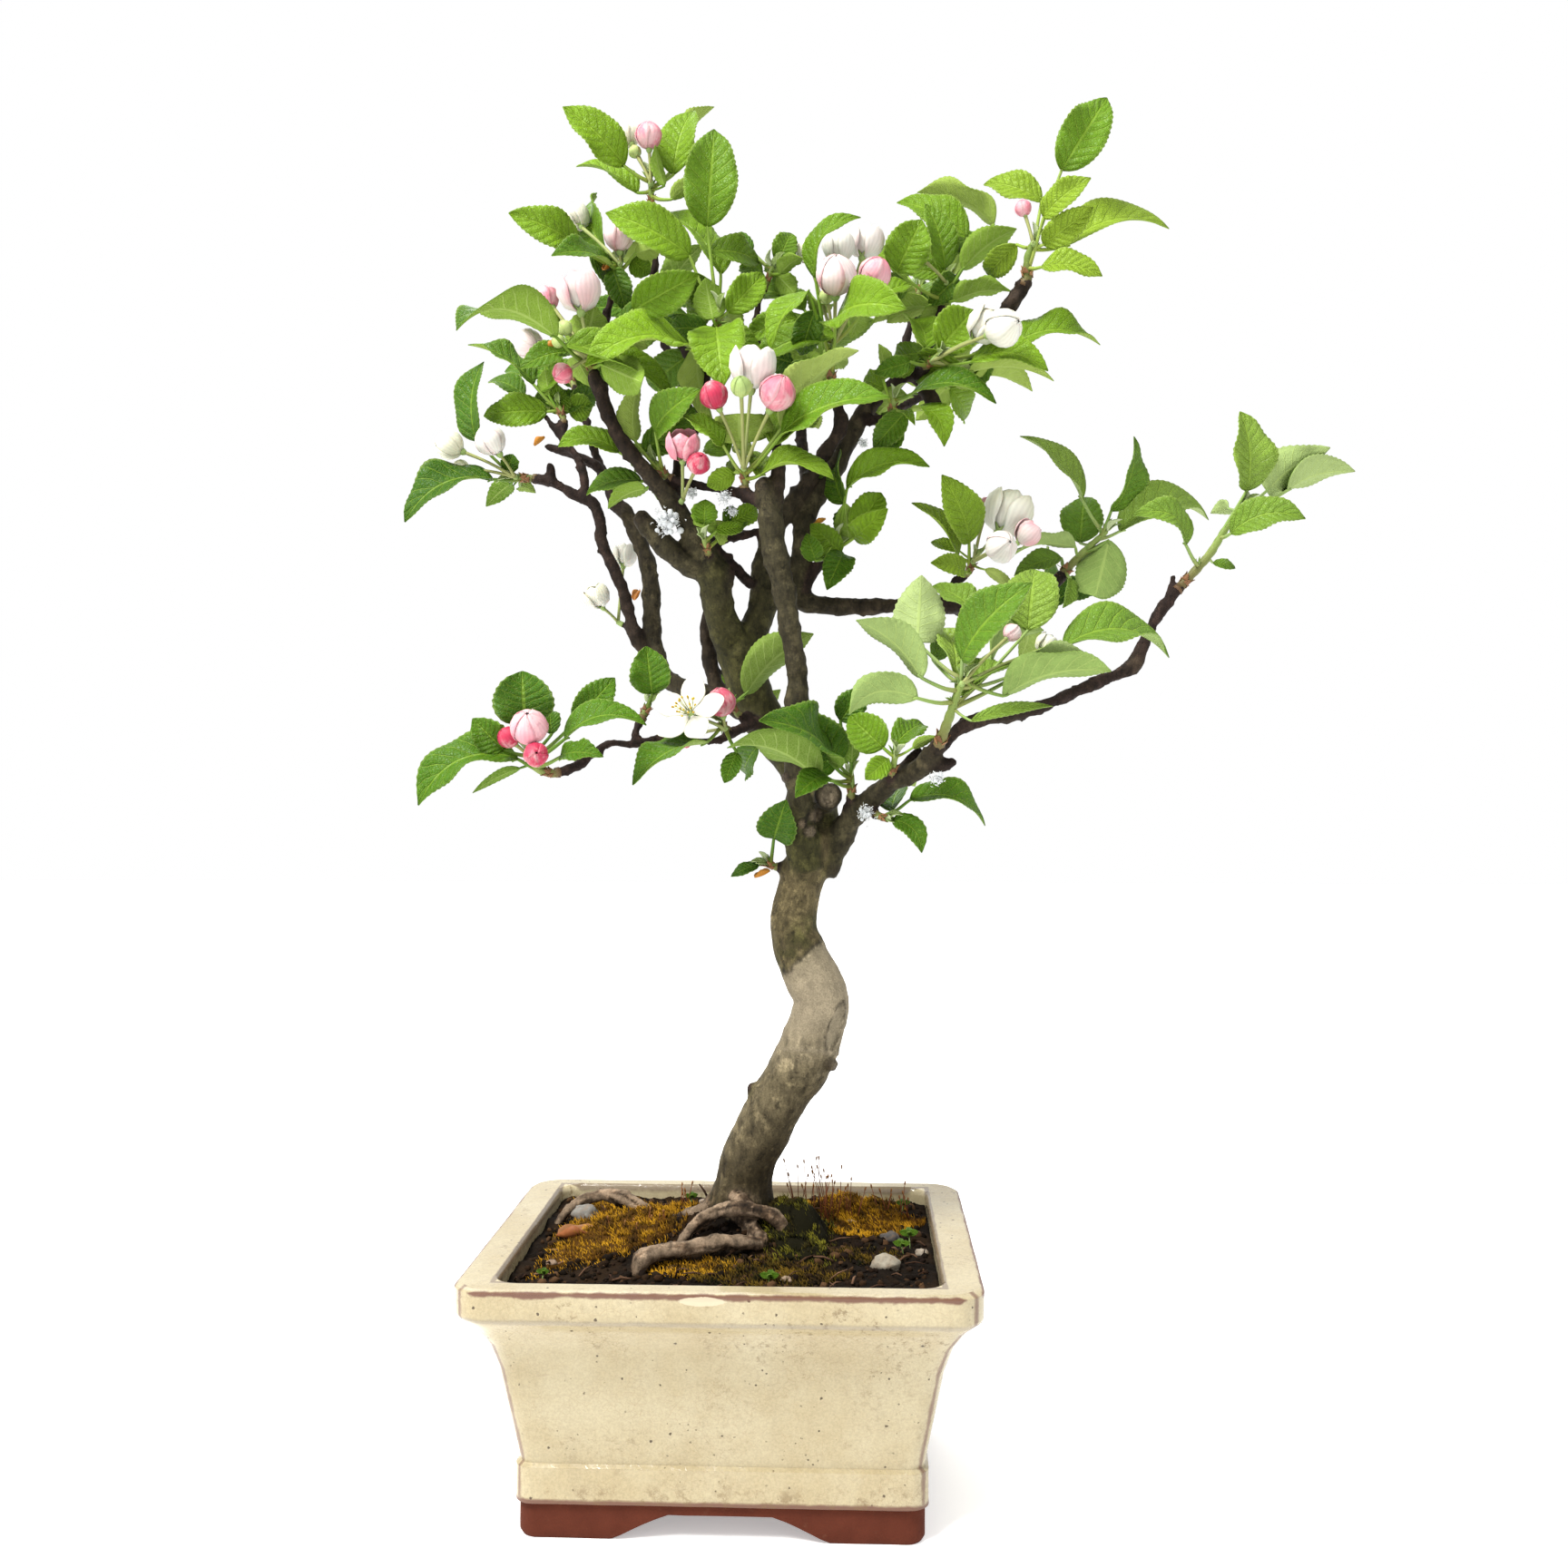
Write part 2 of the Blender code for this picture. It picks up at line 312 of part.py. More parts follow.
        (-38, 366, -26, -35.5, 345, 17, "T"),)),
    "shoot_low_left": ("low_left_bough", ((-87, 312, -56), (-90, 319, -60)), (
        (-93, 355, -62, -92, 332, 26, "T"), (-115, 334, -66, -101, 320, 13, "T"),
        (-139, 295.5, -72, -95, 316, 13, "T", 5), 
        (-52, 352, -46, -70, 332, 13, "T"), (-38, 331, -64, -74, 325, 9, "T", 3),
        (-57, 317, -78, -76, 317, 8, "T"), (-81, 338, -44, -80, 327, 8, "T"))),
}

# Shoots on the far side of the crown: the wood they end, and how many leaves each has
REAR_SHOOTS = {
    "shoot_rear_right": ("rear_right", 4), "shoot_rear_high": ("rear_high", 4),
    "shoot_rear_level": ("rear_level", 4), "shoot_rear_left": ("rear_left", 4),
    "shoot_rear_centre": ("rear_centre", 4), "shoot_rear_middle": ("rear_middle", 4),
    "shoot_rear_low": ("rear_low", 3),
}
REAR_LEAF = 31.0
REAR_STEM = 7.0
STEM_START = 4.5
STRAIGHT_WITHIN = 1.7
# The section of a blossom, as shares of its radius: reach, rise and depth of the notches
OPEN_BLOOM = ((0.12, -0.2, 1.0), (0.55, -0.06, 0.94), (1.0, 0.14, 0.66), (0.6, 0.02, 0.9))
HALF_OPEN_BLOOM = ((0.2, -1.0, 1.0), (0.8, -0.6, 0.97), (1.0, 0.1, 0.9), (0.7, 0.85, 0.7))
BLOOM_HEART = 0.3
SMALL_BUD = 4.5
STEM_TIP = 1.5
BUNCH_STEM = 1.3
GOLDEN_ANGLE = math.radians(137.5)

# Flowers: what each bunch grows from, and its flowers: x, z, depth, radius and kind, and
# for an open one the way it faces (right, up, away)
BUNCHES = {
    "blossom_top_left": ("shoot_top_left", (
        (-37, 592, 4, 5.5, "bud"), (-43, 585, 8, 2.6, "bud"), (-46, 592, 18, 5, "bud"))),
    "blossom_high_left": ("shoot_high_left", (
        (-50, 547.5, -4, 6, "bud"), (-69, 556, 22, 6, "cup"))),
    "blossom_left": ("shoot_left", (
        (-82, 520, -4, 5, "bud"), (-68, 523, -14, 9, "cup"), (-74, 507, -28, 3, "bud"),
        (-77, 501, -30, 2.5, "bud"), (-90, 500, 22, 6, "bud"), (-75, 487, -30, 4, "bud"))),
    "blossom_far_left": ("shoot_far_left", (
        (-125, 455, 32, 6.2, "bud"), (-107, 457, 26, 6.5, "bud"), (-120, 445, 36, 3.6, "bud"))),
    "blossom_mid_left": ("red_spur", (
        (-22, 455, -30, 7, "cup"), (-15, 447, -32, 4.5, "bud"))),
    "blossom_centre": ("shoot_centre", (
        (9, 490, -40, 9.5, "cup"), (-8, 477, -36, 5.5, "bud"), (20, 478, -44, 7, "bud"),
        (4, 481, -54, 4, "bud"))),
    "blossom_mid_right": ("shoot_mid_right", (
        (46, 530, -16, 8, "bud"), (63, 531, -10, 6.5, "bud"), (47, 543, 4, 7, "cup"),
        (59, 545, 6, 8, "cup"), (42, 521, -12, 3, "bud"), (33, 541, 22, 5, "bud"))),
    "blossom_right": ("shoot_right", (
        (112, 508, -10, 8, "cup"), (120, 507, 2, 7.5, "bud"), (103, 488, 8, 3, "bud"))),
    "blossom_level_mid": ("shoot_level_mid", (
        (122, 425, 22, 11, "cup"), (119, 410, -6, 6.5, "bud"), (131, 416, 8, 6, "cup"),
        (113, 428, 26, 4, "bud"))),
    "blossom_low_right": ("shoot_low_right", (
        (124, 372, -58, 3.4, "bud"), (139, 367, -40, 4.4, "cup"))),
    "blossom_low_left_inner": ("shoot_low_left_inner", (
        (-5, 341, -30, 5.8, "bud"), (-19, 337, -36, 16.5, "open", (-0.3, 0.45, -0.85)),
        (-21, 325, -16, 3.6, "bud"))),
    "blossom_low_left": ("shoot_low_left", (
        (-90, 330, -76, 6.8, "bud"), (-99, 325.5, -70, 4, "bud"), (-87, 318, -80, 4.4, "bud"))),
    "blossom_top_right": ("shoot_top_right", (
        (129, 560, -4, 3.4, "bud"),)),
    "blossom_high_right": ("shoot_high_right", (
        (83, 539, 20, 3.6, "bud"),)),
    "blossom_back": ("back_stub", (
        (-60, 388, 40, 6, "cup"), (-48, 406, 62, 6, "cup"))),
}

# Moss cushions: the rings and sectors of the soil that they cover, and their thickness
CUSHIONS = {
    "moss_left": (1, 4, 10, 15, 5.0),
    "moss_trunk": (3, 5, 22, 27, 9.0),
    "moss_right": (1, 3, 1, 4, 6.0),
}
# Stones: x, z and depth of the middle, and the three radii
STONES = {
    "stone_pale": (68, 92, -32, 6.0, 5.0, 4.6),
    "stone_grey": (-65, 114, 32, 6.5, 5.0, 4.5),
}

# The Boolean solver for the joins that the exact one leaves a flaw in
SOLVERS = {"wood": "MANIFOLD", "shoot_level_end": "MANIFOLD"}

BARK = ("bark", (0.20, 0.165, 0.125), 0.85)
LEAF = ("leaf", (0.16, 0.33, 0.05), 0.5)
PETAL = ("petal", (0.90, 0.62, 0.64), 0.5)
GLAZE = ("glaze", (0.83, 0.76, 0.60), 0.22)
EARTH = ("earth", (0.075, 0.05, 0.035), 0.95)
MOSS = ("moss", (0.36, 0.27, 0.06), 0.95)
STONE = ("stone", (0.62, 0.60, 0.55), 0.8)
MESH_PLASTIC = ("screen", (0.03, 0.03, 0.03), 0.6)


def clear_scene():
    for obj in list(bpy.data.objects):
        bpy.data.objects.remove(obj, do_unlink=True)


def place(x, z, depth):
    """The point seen at x, z on the plane through the pot's middle, but this far behind it."""
    flat = RIGHT * x + UP * z
    return EYE + (flat - EYE) * (1.0 + depth / EYE_DISTANCE)


def seen(point):
    """(x, z, depth) of a point: the reverse of place."""
    offset = point - EYE
    reach = offset.dot(AWAY) / EYE_DISTANCE
    flat = EYE + offset / reach
    return flat.dot(RIGHT), flat.z, (reach - 1.0) * EYE_DISTANCE


def material(look):
    name, colour, roughness = look
    made = bpy.data.materials.get(name)
    if made:
        return made
    made = bpy.data.materials.new(name)
    made.use_nodes = True
    shader = made.node_tree.nodes["Principled BSDF"]
    shader.inputs["Base Color"].default_value = (*colour, 1.0)
    shader.inputs["Roughness"].default_value = roughness
    shader.inputs["Metallic"].default_value = 0.0
    return made


def new_object(name, form):
    """An object of one closed form, given in millimetres, with its faces turned outwards."""
    points, faces = form
    mesh = bpy.data.meshes.new(name)
    mesh.from_pydata([tuple(p * MM) for p in points], [], faces)
    work = bmesh.new()
    work.from_mesh(mesh)
    bmesh.ops.recalc_face_normals(work, faces=work.faces)
    work.to_mesh(mesh)
    work.free()
    obj = bpy.data.objects.new(name, mesh)
    bpy.context.scene.collection.objects.link(obj)
    return obj


def remove(objects):
    for obj in objects:
        mesh = obj.data
        bpy.data.objects.remove(obj, do_unlink=True)
        bpy.data.meshes.remove(mesh)


def keep_one_body(mesh):
    """Drops loose scraps and sealed hollows, which are every body but the largest."""
    work = bmesh.new()
    work.from_mesh(mesh)
    left = set(work.verts)
    bodies = []
    while left:
        body = {left.pop()}
        edge = list(body)
        while edge:
            vert = edge.pop()
            for link in vert.link_edges:
                other = link.other_vert(vert)
                if other in left:
                    left.remove(other)
                    body.add(other)
                    edge.append(other)
        bodies.append(body)
    bodies.sort(key=len, reverse=True)
    scraps = [vert for body in bodies[1:] for vert in body]
    bmesh.ops.delete(work, geom=scraps, context="VERTS")
    work.to_mesh(mesh)
    work.free()
    return [len(body) for body in bodies[1:]]


def combine(obj, forms, operation, solver="EXACT"):
    """Joins or cuts the object with a collection of closed forms, by one Boolean."""
    if not forms:
        return obj
    group = bpy.data.collections.new("forms")
    bpy.context.scene.collection.children.link(group)
    others = []
    for form in forms:
        other = new_object("form", form)
        bpy.context.scene.collection.objects.unlink(other)
        group.objects.link(other)
        others.append(other)
    boolean = obj.modifiers.new("combine", "BOOLEAN")
    boolean.operation = operation
    boolean.solver = solver
    boolean.operand_type = "COLLECTION"
    boolean.collection = group
    graph = bpy.context.evaluated_depsgraph_get()
    mesh = bpy.data.meshes.new_from_object(obj.evaluated_get(graph))
    obj.modifiers.clear()
    old = obj.data
    obj.data = mesh
    bpy.data.meshes.remove(old)
    remove(others)
    bpy.data.collections.remove(group)
    dropped = keep_one_body(mesh)
    if dropped:
        print(obj.name, operation, "dropped loose bodies with this many points:", dropped)
    return obj


def finish(obj, look, smooth=True):
    obj.data.materials.clear()
    obj.data.materials.append(material(look))
    if smooth:
        obj.data.shade_smooth()
        obj.data.set_sharp_from_angle(angle=math.radians(50))
    return obj


def tube(points, radii, sides):
    """A closed tube through the points, its cross-sections carried along without twist."""
    rings = []
    side = None
    for i, point in enumerate(points):
        before = points[max(i - 1, 0)]
        after = points[min(i + 1, len(points) - 1)]
        along = (after - before).normalized()
        if side is None:
            side = along.orthogonal().normalized()
        side = (side - along * side.dot(along)).normalized()
        other = along.cross(side)
        rings.append([
            point + (side * math.cos(a) + other * math.sin(a)) * radii[i]
            for a in (2 * math.pi * k / sides for k in range(sides))
        ])
    return loft(rings)


def loft(rings, tip=None, turn=None):
    """A closed form over rings of equal counts, with flat ends or a point at the far end.

    Its sides are split into triangles where turn is given, the other way from that ring on.
    """
    count = len(rings[0])
    points = [p for ring in rings for p in ring]
    faces = [tuple(range(count))]
    for i in range(len(rings) - 1):
        for k in range(count):
            a = i * count + k
            b = i * count + (k + 1) % count
            if turn is None:
                faces.append((a, b, b + count, a + count))
            elif i < turn:
                faces += [(a, b, b + count), (a, b + count, a + count)]
            else:
                faces += [(a, b, a + count), (b, b + count, a + count)]
    last = (len(rings) - 1) * count
    if tip is None:
        faces.append(tuple(range(last, last + count)))
    else:
        points.append(tip)
        faces += [(last + k, last + (k + 1) % count, len(points) - 1) for k in range(count)]
    return points, faces


def blade_loft(rings, tip):
    """A loft over four-point rings (left, top, right, under), its two faces split alike."""
    points = [p for ring in rings for p in ring] + [tip]
    faces = [(0, 1, 3), (1, 2, 3)]
    for i in range(len(rings) - 1):
        left, top, right, under = range(4 * i, 4 * i + 4)
        for middle in (top, under):
            faces.append((left, middle, middle + 4))
            faces.append((left, middle + 4, left + 4))
            faces.append((right, middle, middle + 4))
            faces.append((right, middle + 4, right + 4))
    last = 4 * (len(rings) - 1)
    end = len(points) - 1
    for k in range(4):
        faces.append((last + k, last + (k + 1) % 4, end))
    return points, faces


def along_curve(start, bend, end, share):
    return (start * (1 - share) ** 2 + bend * (2 * share * (1 - share)) + end * share ** 2)


def blade_axes(base, tip, apparent, side, real):
    """The blade's upper-face direction, and the direction across the view that is mostly up."""
    axis = (tip - base).normalized()
    view = (EYE - (base + tip) / 2).normalized()
    view = (view - axis * view.dot(axis)).normalized()
    across = axis.cross(view)
    if abs(across.z) > 0.35:
        across *= math.copysign(1.0, across.z)
    else:
        across *= math.copysign(1.0, across.x * (base.x - CROWN_MIDDLE_X))
    facing = min(apparent / real, 1.0)
    turned = math.sqrt(1.0 - facing ** 2)
    toward = view if side == "T" else -view
    return toward * facing + across * turned, across


def leaf_rings(root, base, tip, apparent, side, bow, real, swell):
    """The rings of a leaf from its root in the stem to the last one before its tip."""
    length = (tip - base).length
    real = real or min(max(apparent, 0.5 * length), 2.2 * apparent, 24.0)
    upper, across = blade_axes(base, tip, apparent, side, real)
    bend = (base + tip) / 2 + across * (2 * bow) + upper * (2 * ARCH * length)
    outline = SHORT_OUTLINE if length < SHORT_LEAF else LONG_OUTLINE
    stalk = PETIOLE + swell
    stations = [(root, base - root, stalk, 0.0, 0.0)]
    if (base - root).length > LONG_PETIOLE:
        half = along_curve(root, (root + base) / 2 - UP * 1.5, base, 0.5)
        stations.append((half, base - root, stalk, 0.0, 0.0))
    if (base - root).length > SHORT_PETIOLE:
        stations.append((base, bend - base, stalk + 0.2, 0.0, 0.0))
    for i, (share, breadth) in enumerate(outline):
        centre = along_curve(base, bend, tip, share)
        tangent = (bend - base) * (1 - share) + (tip - bend) * share
        half_width = breadth * real / 2 + swell
        ripple = WAVE * (1 if i % 2 else -1)
        stations.append((centre, tangent, half_width, FOLD * (1 + ripple), FOLD * (1 - ripple)))
    rings = []
    for centre, tangent, half, lift_left, lift_right in stations:
        tangent = tangent.normalized()
        normal = (upper - tangent * upper.dot(tangent)).normalized()
        out = tangent.cross(normal)
        thick = MIDRIB + swell
        rings.append((
            centre - out * half + normal * (half * lift_left), centre + normal * thick,
            centre + out * half + normal * (half * lift_right), centre - normal * thick))
    return rings


def leaf(root, base, tip, apparent, side, bow=0.0, real=None, swell=0.0):
    return blade_loft(leaf_rings(root, base, tip, apparent, side, bow, real, swell), tip)


def blade_only(root, base, tip, apparent, side, bow=0.0, real=None):
    return blade_loft(leaf_rings(root, base, tip, apparent, side, bow, real, 0.0)[-3:], tip)


def flower_axes(aim):
    side = aim.orthogonal().normalized()
    return side, aim.cross(side)


def bud(root, centre, radius, swell=0.0):
    """A balloon bud on its stalk: one loft from the stalk's root to the bud's point."""
    sides = 5 if radius > SMALL_BUD else 4
    aim = (centre - root).normalized()
    side, other = flower_axes(aim)
    foot = centre - aim * (radius * 1.15)
    profile = ((root, 0.75), (foot, 0.85), (centre - aim * radius * 0.45, radius * 0.86),
               (centre + aim * radius * 0.45, radius * 0.88))
    rings = []
    for point, wide in profile:
        wide += swell
        rings.append([point + (side * math.cos(a) + other * math.sin(a)) * wide
                      for a in (2 * math.pi * k / sides for k in range(sides))])
    return loft(rings, centre + aim * (radius * 1.15 + swell))


def bloom(root, centre, radius, opened, aim=None, swell=0.0):
    """A blossom of five petals joined round its heart, its rim notched between them."""
    aim = aim or ((centre - root).normalized() + UP * 0.4).normalized()
    side, other = flower_axes(aim)
    rings = [[root + (side * math.cos(a) + other * math.sin(a)) * (0.75 + swell)
              for a in (math.pi * k / 5 for k in range(10))]]
    for reach, rise, notch in OPEN_BLOOM if opened else HALF_OPEN_BLOOM:
        ring = []
        for k in range(10):
            share = notch if k % 2 else 1.0
            out = side * math.cos(math.pi * k / 5) + other * math.sin(math.pi * k / 5)
            wide = reach * share * radius + swell
            ring.append(centre + aim * (rise * share * radius + math.copysign(swell, rise)) + out * wide)
        rings.append(ring)
    return loft(rings, centre + aim * (BLOOM_HEART * radius), turn=len(rings) - 2)


def flower(root, centre, radius, kind, aim=None, swell=0.0):
    """The closed form of one flower, from its root in the bunch's stem."""
    if kind == "bud":
        return bud(root, centre, radius, swell)
    if aim:
        aim = (RIGHT * aim[0] + UP * aim[1] + AWAY * aim[2]).normalized()
    return bloom(root, centre, radius, kind == "open", aim, swell)


class Placed:
    """What stands in the crown already, so that the next leaf is bent clear of it."""

    def __init__(self):
        self.trees = []

    def add(self, forms, name):
        for points, faces in forms:
            self.trees.append((box_of(points), BVHTree.FromPolygons(points, faces), name))

    def meets(self, forms, leave_out=None):
        """The name of the first thing that these forms touch, apart from the one left out."""
        for points, faces in forms:
            low, high = box_of(points)
            tree = None
            for (other_low, other_high), other, name in self.trees:
                if name == leave_out:
                    continue
                if all(low[i] < other_high[i] and other_low[i] < high[i] for i in range(3)):
                    tree = tree or BVHTree.FromPolygons(points, faces)
                    if tree.overlap(other):
                        return name
        return None


def box_of(points):
    return ([min(p[i] for p in points) for i in range(3)],
            [max(p[i] for p in points) for i in range(3)])


def nearest_on(stem, point, turn, lower):
    """The place on the stem's line nearest to the point, or a share of the way below it."""
    best = None
    step = 0.09 * (turn % 5)
    below = 0.0
    for i in range(1, len(stem) - 1):
        a, b = stem[i], stem[i + 1]
        share = (point - a).dot(b - a) / (b - a).length_squared
        share = min(max(share, step), 0.88 - step if i == len(stem) - 2 else 1.0 - step)
        away = (point - a.lerp(b, share)).length
        if best is None or away < best[0]:
            best = (away, below + (b - a).length * share)
        below += (b - a).length
    reach = best[1] * (1.0 - lower)
    for a, b in zip(stem[1:], stem[2:]):
        if reach <= (b - a).length:
            break
        reach -= (b - a).length
    spot = a + (b - a).normalized() * reach
    return spot + (point - spot).normalized() * 0.3


def leaf_places(stem, row, turn, shift, lower):
    """(root, base, tip) of a leaf, its tip moved in depth by the shift and its root down the stem."""
    tip_x, tip_z, tip_depth, base_x, base_z = row[:5]
    crown = seen(stem[-1])
    tip_depth += shift
    run = math.dist((tip_x, tip_z), crown[:2])
    share = min(math.dist((base_x, base_z), crown[:2]) / run, 0.9)
    tip = place(tip_x, tip_z, tip_depth)
    base = place(base_x, base_z, crown[2] + (tip_depth - crown[2]) * share)
    return nearest_on(stem, base, turn, lower), base, tip


def straightened(points, radii):
    """The points and radii of a stretch, without those that nearly lie on the line past them."""
    kept = [0]
    for i in range(1, len(points) - 2):
        a, b = points[kept[-1]], points[i + 1]
        share = min(max((points[i] - a).dot(b - a) / (b - a).length_squared, 0.0), 1.0)
        off = (points[i] - a.lerp(b, share)).length
        thin = abs(radii[i] - radii[kept[-1]] * (1 - share) - radii[i + 1] * share)
        if off + thin > STRAIGHT_WITHIN:
            kept.append(i)
    kept += [i for i in (len(points) - 2, len(points) - 1) if i > 0]
    return [points[i] for i in kept], [radii[i] for i in kept]


def trimmed(path):
    """The points of a stretch of wood that ends in a shoot, cut back to make room for its stem."""
    points = [place(*p[:3]) for p in path]
    last = points[-1] - points[-2]
    points[-1] = points[-1] - last.normalized() * min(STEM_START, 0.5 * last.length)
    return points


def end_of(path):
    """The end of a stretch of wood, its direction there and its radius."""
    points = trimmed(path)
    return points[-1], (points[-1] - points[-2]).normalized(), path[-1][3]


def round_sides(path):
    thickest = max(p[3] for p in path)
    return 8 if thickest > 6.5 else 6 if thickest > 4.6 else 5 if thickest > 3.3 else 4


def wood_forms():
    forms = [tube([place(*p[:3]) for p in TRUNK], [p[3] for p in TRUNK], 10)]
    bearing = {row[0] for row in list(SHOOTS.values()) + list(REAR_SHOOTS.values()) + list(BUNCHES.values())}
    for name, path in BRANCHES.items():
        points = trimmed(path) if name in bearing else [place(*p[:3]) for p in path]
        forms.append(tube(*straightened(points, [p[3] for p in path]), round_sides(path)))
    for path in ROOTS.values():
        points, radii = straightened([place(*p[:3]) for p in path], [p[3] for p in path])
        forms.append(tube(points, radii, round_sides(path)))
    return forms


def swollen_wood():
    """The trunk and roots a little thicker, to cut their plain holes in soil and moss."""
    margin = 2 * CLEAR
    forms = [tube([place(*p[:3]) for p in TRUNK[:5]], [p[3] + margin for p in TRUNK[:5]], 10)]
    for path in ROOTS.values():
        points, radii = straightened([place(*p[:3]) for p in path], [p[3] for p in path])
        ends = [(points[0] - points[1]).normalized(), (points[-1] - points[-2]).normalized()]
        points[0] = points[0] + ends[0] * margin
        points[-1] = points[-1] + ends[1] * margin
        forms.append(tube(points, [r * 1.06 + margin for r in radii], round_sides(path)))
    return forms


def rear_rows(path, count):
    """Leaves for a shoot that the viewer hardly sees, fanned out by the golden angle."""
    end, along, _ = end_of(path)
    side, other = flower_axes(along)
    crown = end + along * REAR_STEM
    rows = []
    for k in range(count):
        turn = GOLDEN_ANGLE * k
        lean = math.radians(48 + 12 * (k % 3))
        out = side * math.cos(turn) + other * math.sin(turn)
        reach = (along * math.cos(lean) + out * math.sin(lean) + AWAY * 0.25).normalized()
        length = REAR_LEAF * (0.82 + 0.1 * (k % 4))
        base = seen(crown + reach * 9)
        tip = seen(crown + reach * (9 + length))
        rows.append((*tip, base[0], base[1], 9 + 2 * (k % 3), "UT"[k % 2]))
    return rows


def build_shoots(placed, wood_ends):
    """Each leafy shoot: a short stem off the wood, and its leaves fused to it."""
    table = dict(SHOOTS)
    for name, (wood, count) in REAR_SHOOTS.items():
        end, along, _ = end_of(BRANCHES[wood])
        table[name] = (wood, (seen(end + along * REAR_STEM),), rear_rows(BRANCHES[wood], count))
    stems = {}
    for name, (wood, points, _) in table.items():
        end, along, radius = end_of(BRANCHES[wood])
        start = end + along * CLEAR
        second = end + along * (CLEAR + 1.5)
        path = [start, second] + [place(*p) for p in points]
        steps = len(path) - 1
        radii = [radius + (STEM_TIP - radius) * i / steps for i in range(steps + 1)]
        stems[name] = (path, tube(path, radii, 4))
        last = path[-1] - path[-2]
        toward = EYE - path[-1]
        toward = (toward - last * toward.dot(last) / last.length_squared).normalized()
        side = path[-2].lerp(path[-1], 0.75) + toward * STEM_TIP * 1.15
        wood_ends[name] = (side, toward, BUNCH_STEM)
    for name, (_, form) in stems.items():
        placed.add([form], name)
    return table, stems


def grow_leaves(placed, table, stems):
    for name, (_, _, rows) in table.items():
        path, stem = stems[name]
        forms = []
        own = Placed()
        for turn, row in enumerate(rows):
            shape = row[5:]
            met = []
            for shift, lower in LEAF_TRIES:
                spots = leaf_places(path, row, turn, shift, lower)
                blade = [blade_only(*spots, *shape)]
                met.append(placed.meets([leaf(*spots, *shape, swell=0.35)], name) or own.meets(blade))
                if not met[-1]:
                    break
            else:
                print(name, "has no room for", row, "which meets", sorted(set(met)))
                continue
            forms.append(leaf(*spots, *shape))
            own.add(blade, "a blade of its own")
        placed.add(forms, name)
        shoot = combine(new_object(name, stem), forms, "UNION", SOLVERS.get(name, "EXACT"))
        finish(shoot, LEAF)


def grow_flowers(placed, ends):
    for name, (origin, flowers) in BUNCHES.items():
        if origin in BRANCHES:
            end, along, radius = end_of(BRANCHES[origin])
        else:
            end, along, radius = ends[origin]
        start = end + along * CLEAR
        top = start + along * 2.6
        stem = tube([start, top], [min(radius, BUNCH_STEM), BUNCH_STEM], 5)
        forms = []
        own = Placed()
        for row in flowers:
            x, z, depth, size, kind = row[:5]
            aim = row[5] if len(row) > 5 else None
            root = start.lerp(top, 0.8 + 0.04 * len(forms))
            for shift in SHIFTS:
                centre = place(x, z, depth + shift)
                fat = flower(root, centre, size, kind, aim, swell=0.35)
                bare = flower(root + (centre - root) * 0.35, centre, size, kind, aim)
                if not placed.meets([fat]) and not own.meets([bare]):
                    break
            else:
                print(name, "has no room for", row)
                continue
            forms.append(flower(root, centre, size, kind, aim))
            own.add([bare], name)
        placed.add([stem] + forms, name)
        bunch = combine(new_object(name, stem), forms, "UNION")
        finish(bunch, PETAL)


def rounded_outline(half_x, half_y, corner, height):
    """A rounded rectangle round the pot's middle, from its right side round the back."""
    points = []
    for quarter, (sx, sy) in enumerate(((1, 1), (-1, 1), (-1, -1), (1, -1))):
        for k in range(CORNER_STEPS + 1):
            angle = math.pi / 2 * (quarter + k / CORNER_STEPS)
            points.append(Vector((
                sx * (half_x - corner) + corner * math.cos(angle),
                sy * (half_y - corner) + corner * math.sin(angle), height)))
    return points


def outer_inset(height):
    """How far in from the lip the pot's outside is at this height."""
    for (low, near), (high, far) in zip(POT_PROFILE, POT_PROFILE[1:]):
        if low <= height <= high:
            return near + (far - near) * (height - low) / (high - low)
    return POT_PROFILE[-1][1]


def inner_outline(height, gap=0.0):
    """The pot's inside at this height, or that much further in."""
    inset = outer_inset(min(height, LIP_LOW)) + WALL
    half_x = POT_WIDTH / 2 - max(inset, RIM_SIDE) - gap
    half_y = POT_DEPTH / 2 - max(inset, RIM_FRONT) - gap
    return rounded_outline(half_x, half_y, 10.0, height)


def cylinder(x, y, low, high, radius, sides=12):
    rings = [[Vector((x + radius * math.cos(a), y + radius * math.sin(a), z))
              for a in (2 * math.pi * k / sides for k in range(sides))] for z in (low, high)]
    return loft(rings)


def arch_cutter(along_x):
    """The low arch between two feet, run right through the pot's base."""
    reach = 130.0
    rings = []
    for t in (-reach, reach):
        ring = []
        for side, height in ((-ARCH_LOW, -2.0), (ARCH_LOW, -2.0), (ARCH_HIGH, FLOOR_UNDER - 0.5),
                             (-ARCH_HIGH, FLOOR_UNDER - 0.5)):
            side *= POT_DEPTH / POT_WIDTH if along_x else 1.0
            ring.append(Vector((t, side, height)) if along_x else Vector((side, t, height)))
        rings.append(ring)
    return loft(rings)


